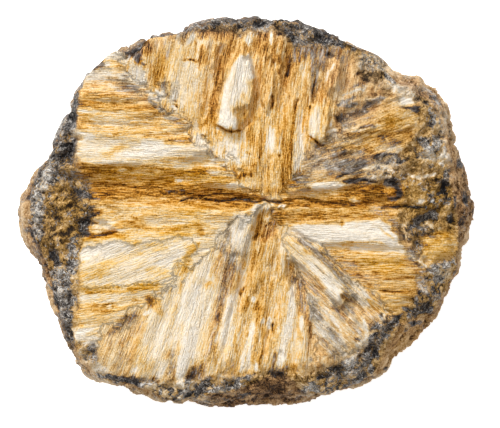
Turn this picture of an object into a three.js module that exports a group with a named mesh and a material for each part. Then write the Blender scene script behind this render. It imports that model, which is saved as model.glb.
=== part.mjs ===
// Chiastolite: a broken cross-section of one crystal, lying on its flat back.
//
// The broken face looks up. Four sectors of fibres meet at the core and keep
// apart along a cross of seams, dark matrix fills the left and right corners,
// and a crust of weathered schist wraps the sides.
//
// Millimetres, +Z up. The origin is under the middle of the specimen, on the
// surface that it lies on.

import * as THREE from 'three';

// ---------------------------------------------------------------- sizes

const FACE_HEIGHT = 18.6; // broken face above the surface, at the core
const CORE = { x: 2.6, y: 1.0 }; // where the four sectors meet

const FACE_RINGS = 28; // rings of facets from the core to the rim
const RING_STEP = 6; // facets that each ring adds
const CURVE_STEPS = 1440; // samples along an outline

// Edge of the broken face, clockwise from the top.
const RIM = [
  [2.6, 25.7], [5.0, 25.1], [8.2, 24.6], [11.0, 23.4], [14.0, 21.7], [16.4, 20.7],
  [17.8, 19.2], [19.2, 17.2], [21.4, 16.0], [23.4, 14.8], [24.9, 12.8], [25.6, 10.4],
  [26.0, 7.8], [26.4, 4.6], [27.0, 2.0], [27.5, -0.6], [27.8, -3.2], [27.9, -5.6],
  [27.5, -7.8], [26.6, -9.6], [25.4, -11.4], [24.3, -13.4], [21.8, -14.0], [20.0, -14.7],
  [19.0, -16.4], [18.0, -18.2], [17.1, -20.4], [16.2, -21.8], [13.6, -22.9], [11.0, -23.8],
  [8.0, -24.5], [6.4, -23.4], [5.0, -21.6], [3.8, -21.1], [2.0, -21.8], [0.0, -22.9],
  [-2.4, -23.8], [-5.6, -24.2], [-9.0, -24.9], [-11.8, -24.5], [-13.6, -23.5], [-16.4, -22.8],
  [-19.0, -22.3], [-20.8, -20.9], [-22.6, -18.8], [-24.0, -16.8], [-24.9, -14.0], [-25.8, -11.2],
  [-26.3, -8.4], [-27.3, -6.0], [-28.3, -3.8], [-28.9, -1.4], [-29.2, 1.4], [-28.6, 3.6],
  [-27.3, 6.0], [-26.1, 8.4], [-24.9, 11.2], [-23.7, 14.0], [-22.6, 16.4], [-21.0, 18.6],
  [-19.4, 20.2], [-18.2, 21.3], [-16.4, 21.3], [-14.7, 22.2], [-12.8, 23.1], [-9.4, 23.6],
  [-7.4, 24.4], [-5.0, 25.0], [-1.6, 25.4],
];

// Widest girth of the specimen, clockwise from the top.
const GIRTH = [
  [2.7, 26.3], [4.6, 25.9], [6.6, 25.8], [7.6, 25.2], [9.4, 24.8], [11.4, 23.8],
  [13.4, 22.6], [15.6, 21.6], [17.0, 21.1], [18.2, 20.1], [19.2, 18.7], [20.6, 18.4],
  [22.4, 18.3], [24.2, 17.1], [25.5, 16.2], [26.5, 14.6], [27.3, 12.0], [28.0, 9.4],
  [28.8, 7.2], [29.5, 5.0], [29.9, 3.0], [30.8, 1.4], [31.0, -0.4], [30.3, -2.0],
  [29.4, -4.0], [28.8, -5.8], [28.6, -7.8], [27.8, -9.6], [27.2, -11.2], [26.6, -13.0],
  [25.8, -14.4], [25.0, -15.7], [24.4, -16.7], [22.9, -17.3], [21.8, -18.5], [20.6, -19.2],
  [19.5, -20.8], [18.4, -22.4], [16.8, -23.2], [14.6, -24.0], [11.4, -24.9], [9.0, -25.6],
  [6.0, -26.0], [2.0, -25.9], [-0.9, -25.8], [-2.4, -26.5], [-4.6, -26.4], [-8.0, -25.9],
  [-11.6, -25.6], [-14.8, -24.8], [-17.6, -23.6], [-20.8, -22.8], [-22.2, -22.1], [-23.6, -20.4],
  [-25.0, -17.8], [-26.1, -15.0], [-27.4, -12.9], [-27.9, -10.4], [-28.2, -8.0], [-29.0, -6.0],
  [-29.8, -4.6], [-30.5, -2.6], [-30.8, 0.4], [-30.5, 2.4], [-29.2, 4.6], [-27.2, 7.0],
  [-26.0, 9.0], [-25.0, 11.8], [-23.7, 14.4], [-22.5, 16.9], [-20.7, 19.2], [-19.2, 20.9],
  [-17.9, 21.6], [-16.0, 21.8], [-14.6, 22.7], [-12.8, 23.5], [-9.6, 23.9], [-7.4, 24.8],
  [-5.0, 25.4], [-1.6, 25.8],
];

// Edge of the flat back, clockwise from the top.
const BACK = [
  [3.0, 23.4], [9.6, 22.4], [13.6, 20.2], [17.0, 16.4], [22.6, 14.2], [25.6, 9.0],
  [27.4, 2.4], [26.2, -4.4], [24.6, -11.2], [21.0, -15.6], [17.4, -20.2], [10.0, -22.6],
  [3.4, -23.6], [-5.2, -23.2], [-12.2, -23.6], [-18.8, -20.8], [-22.4, -16.6], [-25.2, -9.4],
  [-27.6, -1.8], [-26.4, 4.2], [-22.6, 11.2], [-19.0, 17.6], [-13.4, 20.0], [-8.2, 21.4],
  [-3.2, 23.6],
];

// How the crust runs from the rim down to the back. Each band lies at a part
// of the rim's height and part of the way out from the rim to the girth
// ("flare"), or from the girth in to the back ("tuck").
const CRUST_BANDS = [
  { height: 0.95, flare: 0.34, tuck: 0 },
  { height: 0.86, flare: 0.66, tuck: 0 },
  { height: 0.73, flare: 0.92, tuck: 0 },
  { height: 0.57, flare: 1, tuck: 0 },
  { height: 0.41, flare: 1, tuck: 0.06 },
  { height: 0.25, flare: 1, tuck: 0.22 },
  { height: 0.1, flare: 1, tuck: 0.55 },
  { height: 0, flare: 1, tuck: 1 },
];
const BAND_SWAY = 1.5; // how far the bands rise and dip on their way round

// Flat sides of the old crystal. Each plane faces out at an azimuth (degrees
// from +X), touches the girth at a level, and leans in below it by a slope
// (millimetres in for each millimetre down).
const SIDES = [
  { azimuth: 12, level: 11, slope: 0.16 },
  { azimuth: 52, level: 8, slope: 0.42 },
  { azimuth: 97, level: 12, slope: 0.2 },
  { azimuth: 143, level: 9, slope: 0.12 },
  { azimuth: 176, level: 6, slope: 0.7 },
  { azimuth: 206, level: 12, slope: 0.26 },
  { azimuth: 256, level: 7, slope: 0.34 },
  { azimuth: 291, level: 11, slope: 0.14 },
  { azimuth: 326, level: 9, slope: 0.36 },
  { azimuth: 352, level: 5, slope: 0.8 },
];

// The seams between the four sectors of fibres, as angles round the core, and
// the shallow trench along each.
const SEAM_ANGLES = [48, 136, 219, 302];
const SEAM_DEPTH = 0.45;
const SEAM_WIDTH = 2.2;

// Ridges of the fibres: height, and spacing across the fibres.
const RIDGES = [
  { height: 0.2, spacing: 4.3, phase: 0.4, wander: 0.21 },
  { height: 0.15, spacing: 2.7, phase: 2.2, wander: 0.34 },
];

// The face falls away past these lines: "from" is measured along the
// direction of the fall, and "rate" is the drop for each millimetre past it.
const FALLS = [
  { toward: 180, from: 21.6, rate: 0.4 },
  { toward: 0, from: 19.0, rate: 0.26 },
  { toward: 90, from: 22.4, rate: 0.5 },
  { toward: 268, from: 19.4, rate: 0.42 },
  { toward: 312, from: 21.6, rate: 0.42 },
  { toward: 45, from: 24.6, rate: 0.4 },
  { toward: 225, from: 26.0, rate: 0.3 },
];

// Plates that stand above the face (rise > 0) or lie below it (rise < 0).
// "edge" is the width of the slope round each plate.
const PLATES = [
  { // fibres left of the core, above the long groove
    rise: 0.9, edge: 1.0,
    outline: [[-23.0, 16.6], [-22.9, 6.7], [-9, 6.9], [-5.2, 8.6], [-7.6, 11], [-13.6, 15.2], [-18.0, 17.4]],
  },
  { // long groove between the rim and the core
    rise: -1.1, edge: 1.1,
    outline: [[-25, 5.8], [-9, 5.4], [-5, 4.2], [-1, 3.4], [0.8, 2.4], [-1, 1.5], [-9, 1.5], [-21, 2.4], [-25, 3]],
  },
  { // groove's other half, right of the core
    rise: -0.8, edge: 1.0,
    outline: [[5, 2.3], [9, 2.8], [13, 3.2], [17, 2.2], [21, 1.8], [21, 0.2], [14, 0.6], [5, 0.6]],
  },
  { // long splinter above the core
    rise: 1.5, edge: 0.7,
    outline: [[-2.9, 20.2], [-0.6, 21.2], [0.8, 17.6], [0.3, 14.2], [-0.9, 11.2], [-2.6, 10.5], [-4.5, 11.5],
      [-3.9, 15.6]],
  },
  { // trough along the splinter's left side
    rise: -0.7, edge: 0.9,
    outline: [[-3.0, 21.8], [-4.0, 16.4], [-4.8, 12.2], [-6.0, 12.2], [-5.6, 17], [-4.2, 22.0]],
  },
  { // splinter right of it, standing less high
    rise: 0.7, edge: 0.8,
    outline: [[1.8, 20.6], [3.2, 20.4], [3.0, 15.4], [2.4, 12.6], [1.2, 14.6], [1.2, 18.4]],
  },
  { // broad splinter near the top right
    rise: 0.8, edge: 0.8,
    outline: [[9.7, 20.2], [11.0, 20.7], [12.1, 19.9], [11.5, 16.4], [10.0, 15.8], [9.2, 17.6]],
  },
  { // white flake between the two upper sectors
    rise: 0.7, edge: 0.8,
    outline: [[7.4, 11.2], [8.3, 13.8], [10, 15.2], [10.6, 11.6], [9.6, 8.9], [7.6, 9.9]],
  },
  { // long slab right of the core
    rise: 1.0, edge: 0.7,
    outline: [[5.6, -1.8], [8.6, -1.2], [17.2, -1.0], [19.3, -3.0], [20.8, -5.4], [9.2, -4.7], [6.6, -3.2]],
  },
  { // slanting splinter below the slab
    rise: 0.9, edge: 0.7,
    outline: [[4.2, -3.4], [6.2, -3.9], [14.2, -10.6], [12.2, -12.4], [8.6, -9.2], [4.8, -5.2]],
  },
  { // pale plate left of the core
    rise: 0.6, edge: 0.8,
    outline: [[1.0, 1.0], [0.9, -0.6], [-0.2, -3.4], [-0.8, -6.2], [-2.2, -5.4], [-1.6, -1.2], [-0.2, 0.8]],
  },
  { // rubble below the core
    rise: -0.8, edge: 0.8,
    outline: [[1.4, 0.2], [3.2, 0.0], [3.8, -2.4], [2.2, -3.9], [0.4, -3.9], [0.8, -1.6]],
  },
  { // dark hollow between two lower fibres
    rise: -0.9, edge: 0.9,
    outline: [[4.9, -6.2], [7.2, -7.2], [7.4, -10.8], [6.2, -11.4], [5.0, -8.8]],
  },
  { // broken end of the slanting splinter
    rise: -0.7, edge: 0.9,
    outline: [[12.2, -10.8], [13.8, -11.2], [14.4, -13.4], [12.4, -14.2], [11.0, -12.6]],
  },
  { // dark band across the right sector
    rise: -0.6, edge: 0.9,
    outline: [[11.2, 12.2], [12.8, 13.4], [17.2, 15.0], [18.2, 14.4], [13.8, 11.8], [11.8, 11.4]],
  },
  { // hollow in the right matrix
    rise: -0.9, edge: 0.9,
    outline: [[16.6, 3.4], [18.2, 4.4], [20.2, 4.0], [20.2, 1.6], [18.0, 1.4]],
  },
  { // deep pit by the right rim
    rise: -1.0, edge: 0.9,
    outline: [[21.4, -1.6], [23.6, 0.2], [25.0, 0.0], [24.8, -1.2], [22.4, -2.2]],
  },
  { // ochre knob by the right rim
    rise: 0.6, edge: 1.2,
    outline: [[23.6, -3.6], [26.4, -3.2], [27.0, -5.2], [24.2, -6.8], [22.8, -5.8]],
  },
  { // grey knob high on the right
    rise: 0.7, edge: 1.2,
    outline: [[22.8, 9.8], [24.4, 10.2], [25.2, 8.8], [24.4, 7.6], [22.8, 8.2]],
  },
  { // chipped notch in the upper left rim
    rise: -1.6, edge: 0.9,
    outline: [[-16.6, 22.2], [-14.4, 23.0], [-14.2, 20.9], [-15.4, 20.1], [-16.4, 20.8]],
  },
  { // hollow at the left end of the lower fibres
    rise: -0.7, edge: 1.0,
    outline: [[-23.4, -1.2], [-20.6, -0.6], [-17.6, -2.4], [-18.0, -3.2], [-22.4, -3.0]],
  },
];

// ------------------------------------------------------------ outlines

function angleFromCore(x, y) {
  return Math.atan2(y - CORE.y, x - CORE.x);
}

// Turns a closed list of points into a function from angle to radius.
function radiusFunction(points) {
  const corners = points.map(([x, y]) => new THREE.Vector3(x, y, 0));
  const curve = new THREE.CatmullRomCurve3(corners, true, 'centripetal');
  const samples = curve.getPoints(CURVE_STEPS).slice(1).map((point) => ({
    angle: angleFromCore(point.x, point.y),
    radius: Math.hypot(point.x - CORE.x, point.y - CORE.y),
  }));
  samples.sort((a, b) => a.angle - b.angle);
  const first = samples[0];
  const last = samples[samples.length - 1];
  samples.unshift({ angle: last.angle - 2 * Math.PI, radius: last.radius });
  samples.push({ angle: first.angle + 2 * Math.PI, radius: first.radius });
  return (angle) => {
    let low = 0;
    let high = samples.length - 1;
    while (high - low > 1) {
      const middle = (low + high) >> 1;
      if (samples[middle].angle <= angle) low = middle;
      else high = middle;
    }
    const { angle: before, radius } = samples[low];
    const span = samples[high].angle - before || 1;
    return THREE.MathUtils.lerp(radius, samples[high].radius, (angle - before) / span);
  };
}

const rimRadius = radiusFunction(RIM);
const girthRadius = radiusFunction(GIRTH);
const backRadius = radiusFunction(BACK);

// -------------------------------------------------------------- relief

// Distance to a closed outline, negative inside it.
function signedDistance(x, y, outline) {
  let nearest = Infinity;
  let inside = false;
  outline.forEach(([x0, y0], i) => {
    const [x1, y1] = outline[(i + 1) % outline.length];
    const along = ((x - x0) * (x1 - x0) + (y - y0) * (y1 - y0)) / ((x1 - x0) ** 2 + (y1 - y0) ** 2);
    const part = THREE.MathUtils.clamp(along, 0, 1);
    nearest = Math.min(nearest, Math.hypot(x - x0 - part * (x1 - x0), y - y0 - part * (y1 - y0)));
    if (y0 > y !== y1 > y && x < x0 + ((y - y0) * (x1 - x0)) / (y1 - y0)) inside = !inside;
  });
  return inside ? -nearest : nearest;
}

function plateRelief(x, y) {
  return PLATES.reduce((height, { rise, edge, outline }) => {
    const depth = -signedDistance(x, y, outline) / edge;
    return height + rise * THREE.MathUtils.smoothstep(depth, -0.5, 0.5);
  }, 0);
}

function fallRelief(x, y) {
  return FALLS.reduce((height, { toward, from, rate }) => {
    const angle = THREE.MathUtils.degToRad(toward);
    const past = Math.max(0, x * Math.cos(angle) + y * Math.sin(angle) - from);
    return height - (rate * past * past) / (past + 1);
  }, 0);
}

// Fibres of the top sector stand upright and lean to the right near the rim.
function topFibres(x, y) {
  return { along: y, across: x - 0.05 * y - 0.006 * Math.max(0, y - 8) ** 2 };
}

// Fibres of the bottom sector fan out from a point far above the specimen.
const FAN = { x: 14, y: 61 };
function bottomFibres(x, y) {
  return { along: -y, across: (70 * (x - FAN.x)) / (FAN.y - y) };
}

// Fibres of the left sector lie level, and slope down to the left below.
function leftFibres(x, y) {
  return { along: -x, across: y - 0.012 * THREE.MathUtils.clamp(-y, 0, 14) * (x + 5) };
}

// Fibres of the right sector lie level, and slope up to the right above.
function rightFibres(x, y) {
  return { along: x, across: y - 0.022 * THREE.MathUtils.clamp(y - 2, 0, 12) * (x - 10) };
}

const SECTORS = [rightFibres, topFibres, leftFibres, bottomFibres];

// Distance to the nearest seam.
function distanceToSeam(x, y) {
  const fromCore = Math.hypot(x - CORE.x, y - CORE.y);
  return Math.min(...SEAM_ANGLES.map((seam) => {
    const turn = angleFromCore(x, y) - THREE.MathUtils.degToRad(seam);
    return Math.cos(turn) > 0 ? fromCore * Math.abs(Math.sin(turn)) : fromCore;
  }));
}

// Ridges along the fibres of each sector, and a trench along each seam.
function fibreRelief(x, y) {
  const bearing = THREE.MathUtils.euclideanModulo(THREE.MathUtils.radToDeg(angleFromCore(x, y)), 360);
  const sector = SEAM_ANGLES.filter((seam) => bearing >= seam).length % SECTORS.length;
  const { along, across } = SECTORS[sector](x, y);
  const ridges = RIDGES.reduce((height, ridge) => {
    const drift = 1.4 * Math.sin(ridge.wander * along + ridge.phase);
    return height + ridge.height * Math.sin((2 * Math.PI * across) / ridge.spacing + ridge.phase + drift);
  }, 0);
  const open = THREE.MathUtils.smoothstep(distanceToSeam(x, y), 0, SEAM_WIDTH);
  return ridges * open - SEAM_DEPTH * (1 - open);
}

// Low swells of the broken face.
function swell(x, y) {
  return 0.3 * Math.sin(0.17 * x + 0.13 * y + 0.9) + 0.22 * Math.sin(0.11 * x - 0.24 * y + 2.4);
}

function faceHeight(x, y) {
  return FACE_HEIGHT + fallRelief(x, y) + swell(x, y) + fibreRelief(x, y) + plateRelief(x, y);
}

// Bulges and hollows of the crust, outward from the core.
function crustBulge(angle, z) {
  return 0.3 * Math.sin(5 * angle + 0.31 * z)
    + 0.3 * Math.sin(11 * angle - 0.52 * z + 1.3)
    + 0.24 * Math.sin(17 * angle + 0.8 * z + 0.6)
    + 0.3 * Math.sin(1.05 * z + 2.2 * Math.sin(3 * angle) + 1.4 * Math.sin(8 * angle));
}

// Planes of the crystal's flat sides, each held by the point of the girth
// that lies farthest out along its azimuth.
const sidePlanes = SIDES.map(({ azimuth, level, slope }) => {
  const heading = THREE.MathUtils.degToRad(azimuth);
  const normal = { x: Math.cos(heading), y: Math.sin(heading) };
  const reach = Math.max(...GIRTH.map(([x, y]) => x * normal.x + y * normal.y));
  return { normal, level, slope, reach };
});

// Keeps a point of the crust behind the flat sides.
function trimCrust(x, y, z) {
  return sidePlanes.reduce((point, { normal, level, slope, reach }) => {
    const limit = reach - Math.max(0, level - z) * slope;
    const excess = Math.max(0, point.x * normal.x + point.y * normal.y - limit);
    return { x: point.x - excess * normal.x, y: point.y - excess * normal.y };
  }, { x, y });
}

// --------------------------------------------------------------- mesh

const vertices = [];
const triangles = [];

function addVertex(x, y, z) {
  vertices.push(new THREE.Vector3(x, y, z));
  return vertices.length - 1;
}

// A ring of vertices: its place comes from placeAt(angle).
function addRing(count, placeAt) {
  return Array.from({ length: count }, (_, i) => {
    const angle = -Math.PI + (2 * Math.PI * i) / count;
    return addVertex(...placeAt(angle));
  });
}

// Joins two rings whose counts may differ. "first" lies inside or above
// "second" where the surface is seen from outside.
function stitch(first, second) {
  let i = 0;
  let j = 0;
  while (i < first.length || j < second.length) {
    const a = first[i % first.length];
    const b = second[j % second.length];
    const nextFirst = (i + 1) / first.length;
    const nextSecond = (j + 1) / second.length;
    if (nextSecond <= nextFirst) {
      triangles.push([a, b, second[(j + 1) % second.length]]);
      j += 1;
    } else {
      triangles.push([a, b, first[(i + 1) % first.length]]);
      i += 1;
    }
  }
}

// Closes a ring on a single vertex in its middle.
function closeRing(ring, middle, facingUp) {
  ring.forEach((vertex, i) => {
    const next = ring[(i + 1) % ring.length];
    triangles.push(facingUp ? [middle, vertex, next] : [middle, next, vertex]);
  });
}

function polar(angle, radius) {
  return [CORE.x + radius * Math.cos(angle), CORE.y + radius * Math.sin(angle)];
}

// The broken face, from the core out to the rim.
function buildFace() {
  const middle = addVertex(CORE.x, CORE.y, faceHeight(CORE.x, CORE.y));
  let ring = addRing(RING_STEP, (angle) => facePoint(angle, 1 / FACE_RINGS));
  closeRing(ring, middle, true);
  for (let k = 2; k <= FACE_RINGS; k += 1) {
    const outer = addRing(RING_STEP * k, (angle) => facePoint(angle, k / FACE_RINGS));
    stitch(ring, outer);
    ring = outer;
  }
  return ring;
}

function facePoint(angle, part) {
  const [x, y] = polar(angle, part * rimRadius(angle));
  return [x, y, faceHeight(x, y)];
}

// The crust, from the rim down to the edge of the back.
function buildCrust(rim) {
  let upper = rim;
  CRUST_BANDS.forEach(({ height, flare, tuck }) => {
    const lower = addRing(rim.length, (angle) => {
      const top = faceHeight(...polar(angle, rimRadius(angle)));
      const sway = BAND_SWAY * 4 * height * (1 - height) * Math.sin(2 * angle + Math.sin(5 * angle));
      const z = height * top + (height < 0.9 ? sway : 0);
      const side = THREE.MathUtils.lerp(rimRadius(angle), girthRadius(angle), flare);
      const flat = trimCrust(...polar(angle, THREE.MathUtils.lerp(side, backRadius(angle), tuck)), z);
      const bulge = (0.25 * flare + 3 * tuck * (1 - tuck)) * crustBulge(angle, z);
      const x = flat.x + bulge * Math.cos(angle);
      const y = flat.y + bulge * Math.sin(angle);
      return [x, y, z];
    });
    stitch(upper, lower);
    upper = lower;
  });
  return upper;
}

// The flat back: rings with fewer and fewer vertices towards the middle.
function buildBack(edge) {
  let outer = edge;
  let count = edge.length;
  let part = 1;
  while (count > 2 * RING_STEP) {
    count = Math.round(count / 2);
    part *= 0.62;
    const shrink = part;
    const inner = addRing(count, (angle) => [...polar(angle, shrink * backRadius(angle)), 0]);
    stitch(outer, inner);
    outer = inner;
  }
  closeRing(outer, addVertex(CORE.x, CORE.y, 0), false);
}

buildBack(buildCrust(buildFace()));

// The specimen is centred over the origin.
const box = new THREE.Box3().setFromPoints(vertices);
const centre = box.getCenter(new THREE.Vector3());
vertices.forEach((vertex) => {
  vertex.x -= centre.x;
  vertex.y -= centre.y;
});

const geometry = new THREE.BufferGeometry().setFromPoints(vertices);
geometry.setIndex(triangles.flat());
geometry.computeVertexNormals();

const stone = new THREE.MeshStandardMaterial({ color: 0xc79a5b, roughness: 0.78, metalness: 0 });
const chiastolite = new THREE.Mesh(geometry, stone);
chiastolite.name = 'chiastolite';

const group = new THREE.Group();
group.add(chiastolite);

export default group;
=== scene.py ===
"""Chiastolite: a broken crystal section that lies on its flat back on a pale floor.

The stone is one piece. It starts as a copy of the CAD solid, is smoothed, and is then
carved with fibres, splinters, cracks and a flaking crust. Lengths are in millimetres
on the sheet of the broken face (x right, y up) until they are applied to the mesh.
"""
import math

import bpy
import numpy as np
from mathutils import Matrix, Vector


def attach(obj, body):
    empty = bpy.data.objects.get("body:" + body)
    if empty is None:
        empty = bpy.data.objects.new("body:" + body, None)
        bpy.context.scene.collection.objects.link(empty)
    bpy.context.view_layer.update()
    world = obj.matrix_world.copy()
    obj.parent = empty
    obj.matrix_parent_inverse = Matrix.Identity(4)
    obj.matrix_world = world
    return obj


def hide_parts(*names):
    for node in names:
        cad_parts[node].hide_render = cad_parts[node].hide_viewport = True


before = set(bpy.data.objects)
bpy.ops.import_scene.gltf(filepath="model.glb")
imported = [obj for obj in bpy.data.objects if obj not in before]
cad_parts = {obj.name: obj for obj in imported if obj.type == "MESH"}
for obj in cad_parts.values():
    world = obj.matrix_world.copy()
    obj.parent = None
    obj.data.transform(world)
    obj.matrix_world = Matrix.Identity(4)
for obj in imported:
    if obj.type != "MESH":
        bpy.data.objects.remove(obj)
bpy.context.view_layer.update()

MM = 0.001
SHEET_SHIFT = (0.1246, -0.2408)  # from the mesh's own x and y to the sheet's
CORE = (2.6, 1.0)

# ------------------------------------------------------------------ outlines

RIM = [
    (2.6, 25.7), (5.0, 25.1), (8.2, 24.6), (11.0, 23.4), (14.0, 21.7), (16.4, 20.7), (17.8, 19.2), (19.2,
    17.2), (21.4, 16.0), (23.4, 14.8), (24.9, 12.8), (25.6, 10.4), (26.0, 7.8), (26.4, 4.6), (27.0, 2.0),
    (27.5, -0.6), (27.8, -3.2), (27.9, -5.6), (27.5, -7.8), (26.6, -9.6), (25.4, -11.4), (24.3, -13.4),
    (21.8, -14.0), (20.0, -14.7), (19.0, -16.4), (18.0, -18.2), (17.1, -20.4), (16.2, -21.8), (13.6, -22.9),
    (11.0, -23.8), (8.0, -24.5), (6.4, -23.4), (5.0, -21.6), (3.8, -21.1), (2.0, -21.8), (0.0, -22.9),
    (-2.4, -23.8), (-5.6, -24.2), (-9.0, -24.9), (-11.8, -24.5), (-13.6, -23.5), (-16.4, -22.8), (-19.0,
    -22.3), (-20.8, -20.9), (-22.6, -18.8), (-24.0, -16.8), (-24.9, -14.0), (-25.8, -11.2), (-26.3, -8.4),
    (-27.3, -6.0), (-28.3, -3.8), (-28.9, -1.4), (-29.2, 1.4), (-28.6, 3.6), (-27.3, 6.0), (-26.1, 8.4),
    (-24.9, 11.2), (-23.7, 14.0), (-22.6, 16.4), (-21.0, 18.6), (-19.4, 20.2), (-18.2, 21.3), (-16.4, 21.3),
    (-14.7, 22.2), (-12.8, 23.1), (-9.4, 23.6), (-7.4, 24.4), (-5.0, 25.0), (-1.6, 25.4),
]

# Plates of the broken face: rise in the solid, width of the slope round them there,
# width of the same slope as carved here, outline.
PLATES = [
    (0.9, 1.0, 1.2, [(-23.0, 16.6), (-22.9, 6.7), (-9, 6.9), (-5.2, 8.6), (-7.6, 11), (-13.6, 15.2),
     (-18.0, 17.4)]),
    (-1.1, 1.1, 1.5, [(-25, 5.8), (-9, 5.4), (-5, 4.2), (-1, 3.4), (0.8, 2.4), (-1, 1.5), (-9, 1.5),
     (-21, 2.4), (-25, 3)]),
    (-0.8, 1.0, 0.6, [(5, 2.3), (9, 2.8), (13, 3.2), (17, 2.2), (21, 1.8), (21, 0.2), (14, 0.6), (5, 0.6)]),
    (1.5, 0.7, 0.35, [(-2.9, 20.2), (-0.6, 21.2), (0.8, 17.6), (0.3, 14.2), (-0.9, 11.2), (-2.6, 10.5),
     (-4.5, 11.5), (-3.9, 15.6)]),
    (-0.7, 0.9, 0.7, [(-3.0, 21.8), (-4.0, 16.4), (-4.8, 12.2), (-6.0, 12.2), (-5.6, 17), (-4.2, 22.0)]),
    (0.7, 0.8, 0.4, [(1.8, 20.6), (3.2, 20.4), (3.0, 15.4), (2.4, 12.6), (1.2, 14.6), (1.2, 18.4)]),
    (0.8, 0.8, 0.4, [(9.7, 20.2), (11.0, 20.7), (12.1, 19.9), (11.5, 16.4), (10.0, 15.8), (9.2, 17.6)]),
    (0.7, 0.8, 0.4, [(7.4, 11.2), (8.3, 13.8), (10, 15.2), (10.6, 11.6), (9.6, 8.9), (7.6, 9.9)]),
    (1.0, 0.7, 0.35, [(5.6, -1.8), (8.6, -1.2), (17.2, -1.0), (19.3, -3.0), (20.8, -5.4), (9.2, -4.7),
     (6.6, -3.2)]),
    (0.9, 0.7, 0.35, [(4.2, -3.4), (6.2, -3.9), (14.2, -10.6), (12.2, -12.4), (8.6, -9.2), (4.8, -5.2)]),
    (0.6, 0.8, 0.4, [(1.0, 1.0), (0.9, -0.6), (-0.2, -3.4), (-0.8, -6.2), (-2.2, -5.4), (-1.6, -1.2),
     (-0.2, 0.8)]),
    (-0.8, 0.8, 0.4, [(1.4, 0.2), (3.2, 0.0), (3.8, -2.4), (2.2, -3.9), (0.4, -3.9), (0.8, -1.6)]),
    (-0.9, 0.9, 0.6, [(4.9, -6.2), (7.2, -7.2), (7.4, -10.8), (6.2, -11.4), (5.0, -8.8)]),
    (-0.7, 0.9, 0.5, [(12.2, -10.8), (13.8, -11.2), (14.4, -13.4), (12.4, -14.2), (11.0, -12.6)]),
    (-0.6, 0.9, 0.6, [(11.2, 12.2), (12.8, 13.4), (17.2, 15.0), (18.2, 14.4), (13.8, 11.8), (11.8, 11.4)]),
    (-0.9, 0.9, 0.6, [(16.6, 3.4), (18.2, 4.4), (20.2, 4.0), (20.2, 1.6), (18.0, 1.4)]),
    (-1.0, 0.9, 0.5, [(21.4, -1.6), (23.6, 0.2), (25.0, 0.0), (24.8, -1.2), (22.4, -2.2)]),
    (0.6, 1.2, 0.9, [(23.6, -3.6), (26.4, -3.2), (27.0, -5.2), (24.2, -6.8), (22.8, -5.8)]),
    (0.7, 1.2, 0.9, [(22.8, 9.8), (24.4, 10.2), (25.2, 8.8), (24.4, 7.6), (22.8, 8.2)]),
    (-1.6, 0.9, 0.5, [(-16.6, 22.2), (-14.4, 23.0), (-14.2, 20.9), (-15.4, 20.1), (-16.4, 20.8)]),
    (-0.7, 1.0, 0.6, [(-23.4, -1.2), (-20.6, -0.6), (-17.6, -2.4), (-18.0, -3.2), (-22.4, -3.0)]),
]

# The carved edges of the two plates of the long groove lie lower on the sheet than the
# solid's. The white slab, the plate numbered SLAB, is carved lower than the solid's, and
# its lower edge is drawn in by SLAB_CUT.
SHELVES = (0, 1)
SHELF = 0.7
SLAB = 8
SLAB_CUT = 0.45
SLAB_SHARE = 0.55

# Fibres that lie slantwise below the core, over the edge of two sectors.
SLANT_ANGLE = math.radians(-43)
SLANT_BED = [
    (4.0, -3.0), (6.5, -3.3), (9.5, -5.0), (16.0, -10.6), (19.0, -14.0), (17.0, -17.0), (13.0, -19.0),
    (9.2, -19.0), (8.2, -14.0), (7.6, -9.6), (4.6, -5.2),
]

# Fibres at the lower left that rise to the right.
RISING_ANGLE = math.radians(21)
RISING_BED = [
    (-22.9, -5.3), (-17.4, -3.7), (-14.0, -4.2), (-8.8, -3.0), (-7.2, -4.4), (-9.2, -7.2), (-10.4, -9.0),
    (-16.0, -9.6), (-22.9, -9.8),
]

# ------------------------------------------------------------- small helpers


def smooth(value, low, high):
    """0 below low, 1 above high, and a smooth step between them."""
    part = np.clip((value - low) / (high - low), 0.0, 1.0)
    return part * part * (3.0 - 2.0 * part)


def mix(a, b, part):
    return a + (b - a) * part


NOISE_SIZE = 64
NOISE_TABLE = np.random.default_rng(41).random((NOISE_SIZE,) * 3)


def noise(x, y, z=0.0):
    """Soft random values from 0 to 1 that change over about one unit."""
    points = np.broadcast_arrays(np.asarray(x, float), np.asarray(y, float), np.asarray(z, float))
    cells = [np.floor(p).astype(int) for p in points]
    parts = [smooth(p - c, 0.0, 1.0) for p, c in zip(points, cells)]
    total = np.zeros(points[0].shape)
    for corner in range(8):
        weight = 1.0
        place = []
        for axis in range(3):
            step = (corner >> axis) & 1
            weight = weight * (parts[axis] if step else 1.0 - parts[axis])
            place.append((cells[axis] + step) % NOISE_SIZE)
        total += weight * NOISE_TABLE[place[0], place[1], place[2]]
    return total


def layered(x, y, z, layers=3):
    """Noise with finer and fainter noise laid over it."""
    total = 0.0
    weights = 0.0
    for k in range(layers):
        weight = 0.55 ** k
        total = total + weight * noise(x * 2 ** k + 17 * k, y * 2 ** k + 5 * k, z * 2 ** k + 11 * k)
        weights += weight
    return total / weights


def even(values):
    """The same values, spread evenly from 0 to 1."""
    order = values.argsort()
    ranks = np.empty(len(values))
    ranks[order] = np.linspace(0.0, 1.0, len(values))
    return ranks


def bulge(along):
    """1 in the middle of a streak and 0 at its ends."""
    return np.sqrt(np.clip(4 * along * (1 - along), 0, 1))


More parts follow.
